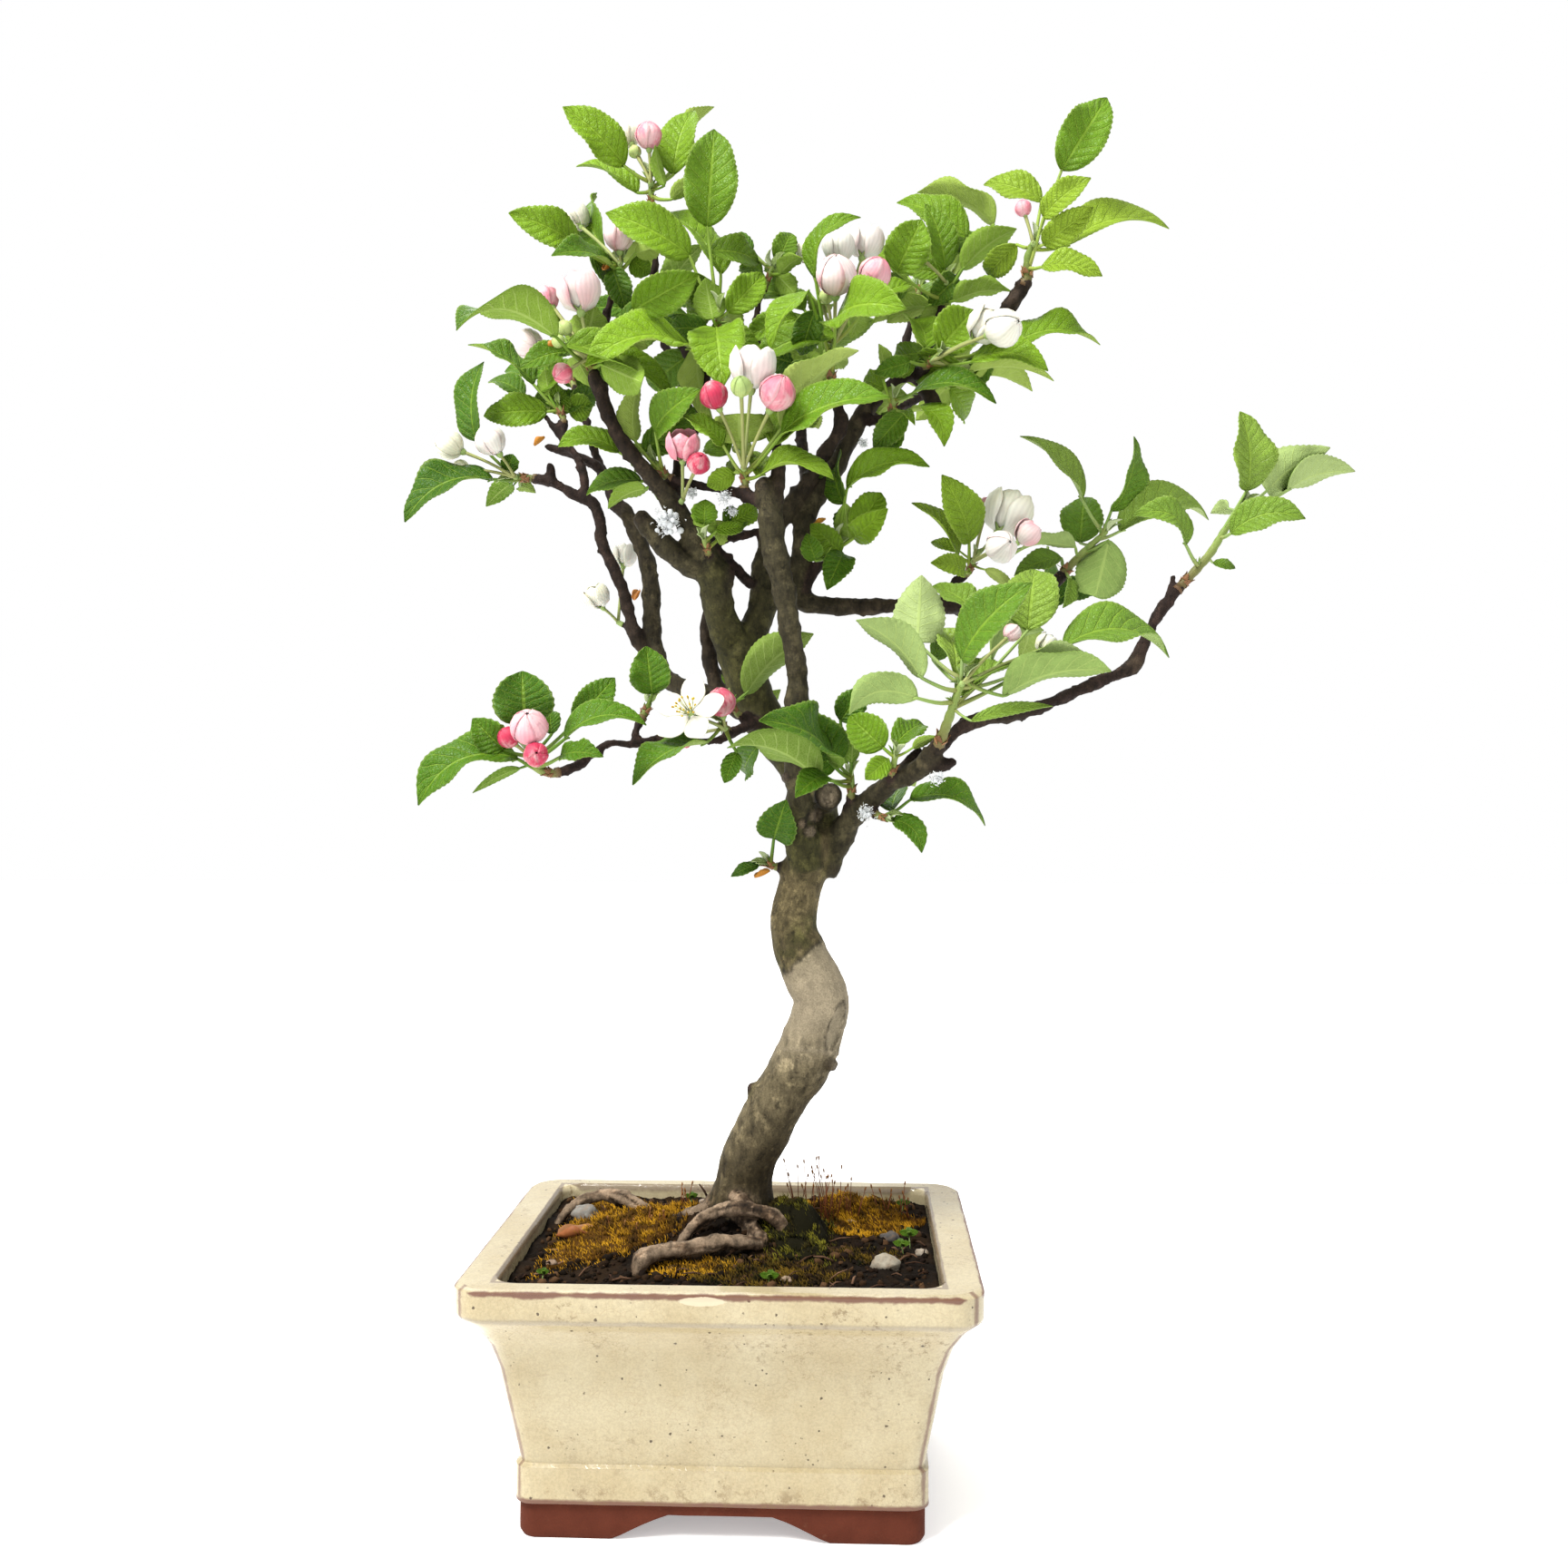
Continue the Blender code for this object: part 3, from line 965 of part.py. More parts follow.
def build_pot():
    outer = []
    for height, inset in POT_PROFILE:
        corner = max(CORNER - inset * 0.25, 5.0)
        outer.append(rounded_outline(POT_WIDTH / 2 - inset, POT_DEPTH / 2 - inset, corner, height))
    pot = new_object("pot", loft(outer))
    hollow = loft([inner_outline(z) for z in (FLOOR_TOP, 58, 86, LIP_LOW, POT_HEIGHT - 1.2)]
                  + [inner_outline(POT_HEIGHT + 1.5, -1.6)])
    recess_x = POT_WIDTH / 2 - FOOT_INSET - FOOT_RING
    recess_y = POT_DEPTH / 2 - FOOT_INSET - FOOT_RING
    recess = loft([rounded_outline(recess_x, recess_y, 9.0, z) for z in (-2.0, FLOOR_UNDER)])
    drains = [cylinder(x, 0.0, FLOOR_UNDER - 3, FLOOR_TOP + 3, DRAIN_RADIUS) for x in (-DRAIN_X, DRAIN_X)]
    combine(pot, [hollow, recess, arch_cutter(True), arch_cutter(False)] + drains, "DIFFERENCE")
    return finish(pot, GLAZE)


def trunk_foot():
    return place(*TRUNK[0][:3])


def soil_height(x, y):
    foot = trunk_foot()
    near = math.hypot(x - foot.x, y - foot.y) / MOUND_RADIUS
    bumps = 0.7 * math.sin(x * 0.21 + 1.0) * math.sin(y * 0.17 + 2.0)
    return SOIL_EDGE + MOUND * math.exp(-near * near) + bumps


def soil_grid():
    """Rings of points on the soil's top, from the wall in to the trunk's foot."""
    foot = trunk_foot()
    edge = inner_outline(SOIL_EDGE, CLEAR)
    corners = []
    for k in range(SOIL_SECTORS):
        angle = 2 * math.pi * k / SOIL_SECTORS
        way = Vector((math.cos(angle), math.sin(angle)))
        corners.append(ray_to_edge(edge, way))
    rings = []
    for share in SOIL_RINGS:
        ring = []
        for corner in corners:
            x = foot.x * (1 - share) + corner[0] * share
            y = foot.y * (1 - share) + corner[1] * share
            ring.append((x, y))
        rings.append(ring)
    return rings


def ray_to_edge(edge, way):
    """Where the ray from the pot's middle leaves the outline."""
    for i, a in enumerate(edge):
        b = edge[(i + 1) % len(edge)]
        cross_a = way.x * a.y - way.y * a.x
        cross_b = way.x * b.y - way.y * b.x
        if cross_a * cross_b <= 0 and (a.x + b.x) * way.x + (a.y + b.y) * way.y > 0:
            share = cross_a / (cross_a - cross_b) if cross_a != cross_b else 0.0
            return a.x + (b.x - a.x) * share, a.y + (b.y - a.y) * share
    return edge[0].x, edge[0].y


def build_soil(cutters):
    grid = soil_grid()
    top = [[Vector((x, y, soil_height(x, y))) for x, y in ring] for ring in grid]
    rim = grid[0]
    sides = []
    for height in (FLOOR_TOP + CLEAR, 58.0, 86.0, LIP_LOW):
        edge = inner_outline(height, CLEAR)
        ring = []
        for x, y in rim:
            hit = ray_to_edge(edge, Vector((x, y)).normalized())
            ring.append(Vector((hit[0], hit[1], height)))
        sides.append(ring)
    foot = trunk_foot()
    peak = Vector((foot.x, foot.y, soil_height(foot.x, foot.y)))
    soil = new_object("soil", loft(sides + top, peak, turn=len(sides + top)))
    combine(soil, cutters, "DIFFERENCE")
    return finish(soil, EARTH)


def build_cushion(name, cutters):
    """A moss cushion over a patch of the soil, thickest in its middle."""
    first, last, start, stop, thick = CUSHIONS[name]
    grid = soil_grid()
    rows = last - first
    columns = stop - start
    lower, upper = [], []
    for i in range(rows + 1):
        for k in range(columns + 1):
            x, y = grid[first + i][(start + k) % SOIL_SECTORS]
            rise = math.sin(math.pi * i / rows) * math.sin(math.pi * k / columns)
            swell = 1.0 + 0.25 * math.sin(1.9 * i + 2.3 * k)
            base = soil_height(x, y) + CLEAR
            lower.append(Vector((x, y, base)))
            upper.append(Vector((x, y, base + 1.2 + thick * rise * swell)))
    points = lower + upper
    count = len(lower)
    wide = columns + 1
    faces = []
    for i in range(rows):
        for k in range(columns):
            a = i * wide + k
            for corners in ((a, a + 1, a + wide + 1), (a, a + wide + 1, a + wide)):
                faces += [corners, tuple(count + v for v in corners)]
    rim = [k for k in range(wide)]
    rim += [i * wide + columns for i in range(1, rows + 1)]
    rim += [rows * wide + k for k in range(columns - 1, -1, -1)]
    rim += [i * wide for i in range(rows - 1, 0, -1)]
    for a, b in zip(rim, rim[1:] + rim[:1]):
        faces.append((a, b, count + b, count + a))
    cushion = new_object(name, (points, faces))
    combine(cushion, cutters, "DIFFERENCE")
    return finish(cushion, MOSS)


def stone_form(name, margin=0.0):
    x, z, depth, wide, deep, tall = STONES[name]
    middle = place(x, z, depth)
    rings = []
    for level, share in ((-0.75, 0.66), (-0.1, 1.0), (0.6, 0.72)):
        ring = []
        for k in range(8):
            angle = 2 * math.pi * k / 8
            lump = 1.0 + 0.12 * math.sin(3 * angle + 5 * level)
            ring.append(middle + Vector((
                (wide * share * lump + margin) * math.cos(angle),
                (deep * share * lump + margin) * math.sin(angle),
                (tall + margin) * level)))
        rings.append(ring)
    return loft(rings, middle + UP * (tall * 0.9 + margin))


def build_screens():
    for side, x in (("left", -DRAIN_X), ("right", DRAIN_X)):
        form = cylinder(x, 0.0, FLOOR_TOP + CLEAR, FLOOR_TOP + CLEAR + SCREEN_THICK, SCREEN_RADIUS)
        finish(new_object("drain_screen_" + side, form), MESH_PLASTIC, smooth=False)


def screen_cutters():
    return [cylinder(x, 0.0, FLOOR_TOP - 3, FLOOR_TOP + 2 * CLEAR + SCREEN_THICK, SCREEN_RADIUS + CLEAR)
            for x in (-DRAIN_X, DRAIN_X)]


def stand_on_origin():
    """Moves everything so that the middle of its box stands over the origin."""
    nodes = list(bpy.context.scene.collection.objects)
    points = [v.co for obj in nodes for v in obj.data.vertices]
    low, high = box_of(points)
    shift = Vector((-(low[0] + high[0]) / 2, -(low[1] + high[1]) / 2, -low[2]))
    for obj in nodes:
        obj.location = shift


def main():
    clear_scene()
    build_pot()
    build_screens()
    stones = [stone_form(name, 2 * CLEAR) for name in STONES]
    holes = swollen_wood()
    build_soil(holes + stones + screen_cutters())
    for name in CUSHIONS:
        build_cushion(name, holes + stones)
    for name in STONES:
        finish(new_object(name, stone_form(name)), STONE)

    forms = wood_forms()
    finish(combine(new_object("wood", forms[0]), forms[1:], "UNION", SOLVERS["wood"]), BARK)
    placed = Placed()
    placed.add(forms, "wood")
    ends = {}
    table, stems = build_shoots(placed, ends)
    grow_flowers(placed, ends)
    grow_leaves(placed, table, stems)
    stand_on_origin()


main()
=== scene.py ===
import math
import random
from functools import partialmethod

import bmesh
import bpy
import numpy as np
from mathutils import Matrix, Vector, noise
from mathutils.bvhtree import BVHTree
from mathutils.kdtree import KDTree


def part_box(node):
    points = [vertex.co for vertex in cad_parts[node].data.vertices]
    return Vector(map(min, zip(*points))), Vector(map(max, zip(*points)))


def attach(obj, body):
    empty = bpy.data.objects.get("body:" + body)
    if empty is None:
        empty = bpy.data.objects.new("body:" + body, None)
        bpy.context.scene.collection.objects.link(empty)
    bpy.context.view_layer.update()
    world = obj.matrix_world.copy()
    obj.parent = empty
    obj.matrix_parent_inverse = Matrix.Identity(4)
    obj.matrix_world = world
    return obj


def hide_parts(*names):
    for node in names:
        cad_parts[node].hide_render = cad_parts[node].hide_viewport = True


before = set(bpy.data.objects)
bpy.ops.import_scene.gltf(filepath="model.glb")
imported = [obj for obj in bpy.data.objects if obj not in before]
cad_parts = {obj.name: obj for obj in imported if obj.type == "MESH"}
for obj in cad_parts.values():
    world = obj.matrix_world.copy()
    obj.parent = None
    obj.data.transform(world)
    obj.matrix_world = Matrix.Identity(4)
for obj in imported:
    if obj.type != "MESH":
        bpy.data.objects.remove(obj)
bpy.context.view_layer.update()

# Places are in millimetres, as the tree was laid out: x to the right and z up on the upright
# plane through the pot's middle, and how far behind that plane along the line of sight.
MM = 0.001
POT_LOW, POT_HIGH = (Vector(corner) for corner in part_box("pot"))
POT_MIDDLE = Vector(((POT_LOW.x + POT_HIGH.x) / 2, (POT_LOW.y + POT_HIGH.y) / 2, POT_LOW.z))

# Where the tree is seen from
EYE_DISTANCE = 676.6
EYE_HEIGHT = 305.0
EYE_SIDE = 23.0
TURN = math.radians(2.46)
LENS = 35.06
RIGHT = Vector((math.cos(TURN), math.sin(TURN), 0.0))
AWAY = Vector((-math.sin(TURN), math.cos(TURN), 0.0))
UP = Vector((0.0, 0.0, 1.0))
EYE = RIGHT * EYE_SIDE - AWAY * EYE_DISTANCE + UP * EYE_HEIGHT
CROWN_MIDDLE_X = 65.0

# Pot and soil
POT_WIDTH = 210.0
POT_DEPTH = 170.0
POT_HEIGHT = 107.5
LIP_LOW = 95.0
WALL = 6.0
RIM_SIDE = 16.5
RIM_FRONT = 11.0
FLOOR_UNDER = 11.0
FLOOR_TOP = 22.0
ARCH_LOW = 48.0
ARCH_HIGH = 21.0
DRAIN_X = 40.0
DRAIN_RADIUS = 7.0
SCREEN_RIM = 10.4
SCREEN_PITCH = 2.3
BASE_INSET = 22.5
FOOT_THICK = 13.0
GLAZE_LOW = 14.3
# The upright corners' radius at the lip, how fast it shrinks below, and the one inside
CORNER = 13.0
CORNER_EASE = 0.25
INNER_CORNER = 10.0
CORNER_STEPS = 8
SIDE_PARTS = 32
SOIL_EDGE = 101.0
MOUND = 15.0
MOUND_RADIUS = 34.0

# Leaves and stems
CLEAR = 0.3
FOLD = 0.42
ARCH = 0.12
SHIFTS = (0, 7, -7, 14, -14, 21, -21, 28, -28, 36, -36, 45, -45)
REAR_LEAF = 31.0
REAR_STEM = 7.0
STEM_START = 4.5
STEM_TIP = 1.5
STEM_STEP = 1.6
BLADE_BEND = 0.3
PETAL_GRID = 9
GOLDEN_ANGLE = math.radians(137.5)
SAME_WITHIN = 0.35

# Outside of the pot: height and how far in from the lip
POT_PROFILE = (
    (0.0, 23.5), (2.0, 22.5), (14.0, 22.5), (14.8, 21.0), (29.2, 21.0),
    (30.5, 22.5), (47.0, 19.5), (70.7, 15.0), (81.0, 11.5), (89.5, 6.0),
    (LIP_LOW, 0.4), (96.5, 0.0), (106.0, 0.0), (POT_HEIGHT, 2.2),
)

# Wood: each stretch runs along points (x, z, depth, radius)
TRUNK = (
    (2, 106, 14, 17), (4, 118, 13, 15), (5.5, 130, 12, 12.7), (7.7, 140, 10, 12.2),
    (12.7, 150, 8, 12.6), (17.5, 160, 6, 12.5), (23.5, 170, 4, 12.4), (30, 180, 2, 13.2),
    (34.5, 190, 0, 13), (38, 200, -2, 12.5), (39.5, 210, -3, 12.3), (36, 218, -3, 12.4),
    (30.5, 230, -2, 11.6), (27.3, 240, -1, 10.4), (27.8, 250, 0, 10.1), (30.2, 260, 1, 9.6),
    (33.5, 270, 2, 10.2), (36.5, 279, 3, 9.5),
)
BRANCHES = {
    "main": ((33, 268, 3, 9), (38, 281, 8, 9), (39, 290, 10, 8.5), (36, 300, 12, 8.5),
             (29, 312, 13, 8.5), (19, 326, 12, 9), (12.5, 336, 11, 9.3), (7, 349, 9, 9.4),
             (3.5, 360, 8, 9.6), (2, 367, 8, 9)),
    "left_arm": ((4, 358, 8, 8), (-1, 369, 5, 7.6), (-5, 379, 2, 7.2), (-6.8, 388, 0, 7),
                 (-8.8, 398, -1, 7.3), (-12, 403, -2, 6.2)),
    "left_arm_stub": ((-6, 386, -1, 5), (-3, 394, -2, 3.6), (-1, 399, -2, 2.4)),
    "left_bough": ((-8.5, 398, -1, 6.8), (-14, 408, -2, 5.5), (-19, 418, -4, 4.8),
                   (-26, 428, -6, 4.4), (-33.4, 438, -8, 3.8), (-41, 447, -10, 3.3),
                   (-49, 457, -12, 3.1), (-54, 466, -14, 3), (-57.5, 476, -15, 3),
                   (-60, 484, -16, 3.2), (-62, 489, -16, 3.1)),
    "left_thick": ((-9, 399.5, -1, 5.7), (-19, 402, -3, 5.4), (-27, 408, -4, 5), (-35, 416, -5, 4.7),
                   (-41, 423, -6, 3.6)),
    "mid_twig": ((9, 393, 7, 2.6), (3, 399, 4, 2.4), (-3, 405, 2, 2.3), (-10, 411, 0, 2.2)),
    "cross_twig": ((-11, 412, 0, 2.2), (0, 414, 6, 2), (12, 417, 13, 2)),
    "right_arm": ((4, 360, 9, 7.5), (9, 372, 11, 7), (13.5, 384, 13, 6.5), (14, 397, 14, 6),
                  (16, 409, 15, 5), (20, 419, 16, 4.4), (27, 430, 14, 3.8), (33, 438, 12, 3.5),
                  (40.6, 450.6, 10, 3.3), (48, 463, 9, 3), (46, 475, 8, 2.6), (43.5, 486, 7, 2.4)),
    "right_bough": ((13.5, 386, 13, 5), (24, 390, 15, 5), (30, 402, 16, 4.6), (31.5, 418, 17, 4.5),
                    (36, 430, 18, 4.5), (44, 441, 19, 4.4), (50.7, 455, 20, 4.2), (56, 466, 21, 4),
                    (62, 474, 22, 3.6), (70, 481, 24, 3.2), (78, 486, 26, 3), (86, 491, 28, 2.8)),
    "front_stem": ((33, 268, -2, 8.5), (31.4, 279, -4, 7.8), (30, 292, -8, 6.5), (29.4, 303, -12, 5.4),
                   (28, 318, -16, 4.9), (28, 331, -19, 4.7), (29, 345, -21, 5.1), (28.4, 357, -22, 4.4),
                   (25, 378, -24, 4.6), (22, 395, -25, 4.8), (19, 408, -26, 5.3), (17.5, 418, -27, 5.7),
                   (16, 428, -28, 4.8), (14, 438, -28, 3.7)),
    "front_twig": ((18, 422, -27, 3.8), (20, 437, -27, 3.2), (20.5, 447, -26, 2.9),
                   (20, 454, -25, 2.5)),
    "knob_right": ((36, 266, 0, 5), (42, 267, -1, 4), (45, 266.5, -1, 2.8)),
    "knob_left": ((28, 268, 1, 4), (22, 268, 1, 3), (18.6, 268.6, 1, 2.1)),
    "stub_low": ((15, 160, 4, 4.5), (10, 167, 4, 3), (8.5, 171, 4, 2.3)),
    "stub_cut": ((39, 296, 8, 6), (43, 300, -5, 5.6)),
    "stub_fork": ((11, 333, 6, 3.6), (5, 334, -2, 2.4), (1.5, 337, -5, 1.8)),
    "lower_bough": ((40, 266, 2, 6.5), (45, 276, 2, 6), (49, 284, 0, 5.6), (54, 291, -6, 5),
                    (60, 297, -14, 4.8), (66, 302, -20, 4.4), (72, 307, -26, 4.6), (79, 309, -32, 4.3),
                    (86, 314, -38, 4.4), (89.5, 319, -44, 4), (93, 325, -52, 3.2)),
    "lower_stub": ((74, 308, -28, 3.2), (80, 316, -30, 2.6), (83, 319.5, -31, 2)),
    "lower_knob": ((89, 314, -41, 3.4), (95, 313.5, -43, 3), (97.5, 315, -43, 2.2)),
    "spur_low": ((70, 305, -25, 2.8), (71, 312, -36, 2.2)),
    "spur_trunk": ((51, 289, -3, 3.4), (52.5, 297, -10, 2.6), (53, 302, -14, 2.4)),
    "spur_droop": ((59, 296, -14, 2.8), (63, 292, -20, 2.2), (65.5, 290.5, -23, 1.9)),
    "far_bough": ((88, 317, -39, 3), (100, 329, -37, 2.8), (113, 334.5, -36, 3.2),
                  (122, 335.5, -33, 3.4),
                  (133, 338, -30, 2.9), (146, 343, -26, 2.6), (156, 347.6, -23, 2.7),
                  (169, 353, -20, 2.6), (178.5, 358, -18, 3.3), (181, 364, -18, 2.7),
                  (184, 371, -18, 2.3), (188, 379, -18, 2.6), (195, 388.6, -18, 2.5),
                  (201, 395, -18, 2.6)),
    "far_stub": ((193, 386, -18, 1.7), (195.5, 397, -16, 1.2)),
    "level_bough": ((22, 390, 15, 4.5), (31.4, 385.5, 16, 4.2), (45, 383.8, 17, 3.8),
                    (60, 383.8, 18, 3.5),
                    (76, 383.8, 20, 3.5), (96.9, 383.5, 23, 3.1), (110, 384, 26, 2.8),
                    (122, 385.5, 29, 2.8), (134, 389, 32, 2.8), (143, 394, 35, 3), (148, 400, 37, 3)),
    "level_twig": ((92, 384, 22, 2.6), (97, 392, 20, 2.4), (101, 396, 19, 2.2), (105.5, 399.5, 18, 2)),
    "inner_twig": ((31, 387, 16, 3), (35, 397, 14, 2.6), (40, 404, 12, 2.8), (45, 408.5, 10, 2.5)),
    "back_bough": ((10, 338, 12, 5), (0, 341, 22, 4.8), (-10, 344, 30, 4.4), (-20, 347, 37, 4.2),
                   (-29, 352, 42, 4.2), (-33, 360, 45, 4.5), (-35.5, 372, 47, 4.2),
                   (-35.7, 390, 49, 4.2),
                   (-38, 404, 50, 4.1), (-42, 415, 50, 4), (-47, 425, 50, 3.8), (-53, 430, 50, 2.8)),
    "back_fork": ((-33, 359, 45, 3.5), (-41, 367, 43, 3.3), (-45, 378, 41, 3), (-48, 390, 40, 3),
                  (-53, 402, 39, 2.8), (-58, 413, 38, 2.9), (-58.5, 421, 38, 2.8), (-62, 430, 38, 2.7),
                  (-69, 432.5, 38, 2.4), (-78, 438, 38, 2.3), (-85, 440, 38, 2.4),
                  (-91, 440.5, 37, 2.4)),
    "back_stub": ((-42, 372, 42, 2), (-52, 377.5, 46, 1.4)),
    "back_rise": ((-65, 431, 38, 2.2), (-66, 443, 40, 2), (-69, 450, 42, 1.9), (-74, 457, 45, 2),
                  (-74.5, 463, 46, 2), (-75, 468, 47, 2.1)),
    "back_spike": ((-74, 457, 45, 1.8), (-79, 463, 47, 1.7), (-83, 468, 49, 1.4)),
    "back_pale": ((-49, 426, 50, 2.6), (-54, 437, 50, 2.3), (-60, 446, 49, 2.2), (-70, 451, 48, 2),
                  (-82, 454.5, 47, 1.9)),
    "back_nub": ((-80, 438.5, 38, 2), (-80.5, 446, 38, 1.7)),
    "shadow_stem": ((4, 336, 14, 3.5), (-5, 344, 17, 3.6), (-9.5, 358, 17, 3.5), (-11, 372, 15, 3.4),
                    (-9, 386, 8, 3.2)),
    "fork_twig": ((12, 333, 4, 3), (5, 330, -6, 2.4), (-1, 328, -14, 2), (-4, 330.5, -21, 1.9)),
    "low_left_bough": ((4, 329.5, -7, 2), (-4, 325, -16, 1.7), (-12, 324, -22, 1.4),
                       (-20, 324.5, -25, 1.5), (-28, 326, -28, 1.9),
                       (-34, 325, -31, 1.6), (-44, 322.5, -36, 1.5), (-54, 323, -40, 1.6),
                       (-62, 318, -44, 1.8), (-68, 313.5, -47, 2.2), (-75, 310.5, -50, 2.4),
                       (-81, 309.5, -53, 2.2)),
    "low_left_twig": ((-44, 322.5, -36, 1.4), (-42, 330, -30, 1.7), (-38.5, 337.5, -24, 2.2)),
    "centre_twig": ((14, 429, -27, 2.7), (6, 433, -22, 2.3), (-4, 435.5, -16, 1.9),
                    (-14, 437, -11, 1.8),
                    (-24, 439, -6, 1.9), (-31, 442, -4, 2.2)),
    "centre_spur": ((5, 433, -22, 2.2), (6, 439.5, -22, 2.3)),
    "red_spur": ((-25, 427, -6, 2.2), (-21, 432, -12, 1.9)),
    "arm_spur": ((-10, 405, -5, 2.4), (-11, 409.5, -14, 1.7)),
    "rising_twig": ((-26, 428, -6, 2.8), (-24, 445, 6, 2.6), (-17, 462, 10, 2.5), (-13, 474, 10, 2.4),
                    (-11, 488, 7, 2.2), (-7, 500, 3, 2.1), (-6, 507, 0, 2)),
    "tall_twig": ((-12, 481, 9, 2.1), (-21, 497, 12, 1.9), (-33, 511, 14, 1.8), (-36, 520, 14, 1.7),
                  (-34, 538, 12, 1.7), (-35, 552, 11, 1.7), (-36, 564, 10, 1.8)),
    "high_left_twig": ((-57.5, 477, -15, 2.4), (-56, 487, -3, 2), (-57, 500, 5, 1.9),
                       (-55, 515, 7, 1.8), (-50, 531, 4, 1.8)),
    "slim_twig": ((20, 452, -25, 2.2), (19, 470, -12, 1.7), (14, 490, 2, 1.6), (11, 505, 8, 1.5),
                  (11.5, 517, 12, 1.5), (16, 529, 14, 1.6)),
    "top_right_twig": ((84, 490, 27, 2.6), (95, 498, 24, 2.5), (108, 506, 18, 2.7), (118, 511, 12, 3),
                       (123, 517, 8, 3.2), (129, 525, 4, 3.2), (131, 530, 2, 3)),
    "high_right_twig": ((84, 490, 27, 2.3), (88, 502, 32, 2.1), (92, 513, 34, 2), (94, 521, 35, 1.9)),
    "right_front": ((78, 486, 26, 3), (84, 488, 18, 2.5), (88, 491.5, 9, 2.2)),
    "right_spur": ((57, 467, 20, 2.6), (64, 466, 16, 2.4), (69, 466, 12, 2.3), (70.5, 469.5, 10, 2.1)),
    "right_stub": ((80, 487, 27, 3), (87, 478, 26, 3.2), (91, 470, 25, 3.8), (92, 466, 25, 3)),
    "rear_right": ((58, 468, 22, 3), (70, 470, 45, 2.8), (84, 477, 64, 2.4), (93, 484, 76, 2.1)),
    "rear_high": ((71, 471, 46, 2.4), (74, 490, 60, 2.1), (79, 508, 72, 1.9), (83, 524, 80, 1.8)),
    "rear_level": ((96, 383.5, 23, 2.7), (108, 379, 45, 2.4), (120, 378, 62, 2.1), (130, 381, 72, 1.9)),
    "rear_left": ((-52, 429, 50, 2.6), (-60, 450, 62, 2.2), (-66, 470, 72, 2), (-71, 484, 78, 1.8)),
    "rear_centre": ((-17, 461, 10, 2.3), (-22, 480, 35, 2.1), (-29, 498, 55, 1.9), (-34, 512, 66, 1.8)),
    "rear_middle": ((33, 438, 12, 2.9), (31, 455, 35, 2.5), (30, 473, 52, 2.2), (32, 488, 62, 1.9)),
    "rear_low": ((29, 311, 13, 4), (20, 318, 34, 2.8), (14, 325, 50, 2.2)),
}
ROOTS = {
    "flare_right": ((4, 122, 8, 9), (17, 112, 10, 6), (30, 104, 14, 4), (42, 98, 18, 2.5)),
    "flare_back": ((2, 122, 14, 10), (6, 116, 30, 6), (12, 112, 46, 3.5), (16, 106, 56, 2.2)),
    "flare_left": ((0, 122, 12, 9), (-12, 113, 14, 6), (-24, 106, 18, 4), (-34, 101, 22, 2.5)),
    "arch": ((22, 96, -12, 2.6), (24, 103, -12, 2.8), (20, 112, -11, 3.1), (10, 116.5, -10, 3.4),
             (0, 117, -10, 3.6), (-10, 114, -11, 3.3), (-18, 108, -13, 2.8), (-24, 99, -14, 2.3)),
    "arch_link": ((2, 120, 0, 6), (8, 117, -10, 3.2)),
    "long_left": ((6, 122, 2, 3.4), (-5, 119, 6, 2.8), (-15, 116, 12, 2.4), (-25, 112, 12, 2.2),
                  (-35, 107, 3, 2.1), (-41, 102, -4, 2), (-46, 97, -8, 1.8)),
    "front": ((4, 112, 0, 5), (13, 102, -20, 3.2), (5, 101.5, -27, 3), (-5, 102, -30, 3.1),
              (-15, 100.5, -31, 3.2), (-25, 98.5, -33, 3.4), (-34, 97, -36, 4), (-40, 94, -39, 4),
              (-43, 86, -41, 2.8)),
    "far_left": ((-10, 110, 20, 4), (-26, 108, 28, 4), (-40, 116, 34, 4.2), (-48, 121, 38, 4.2),
                 (-54, 123, 41, 3.4), (-61, 122.5, 42, 2.6), (-68, 120, 38, 2.4), (-75, 114, 31, 2),
                 (-78, 108, 29, 1.6)),
}

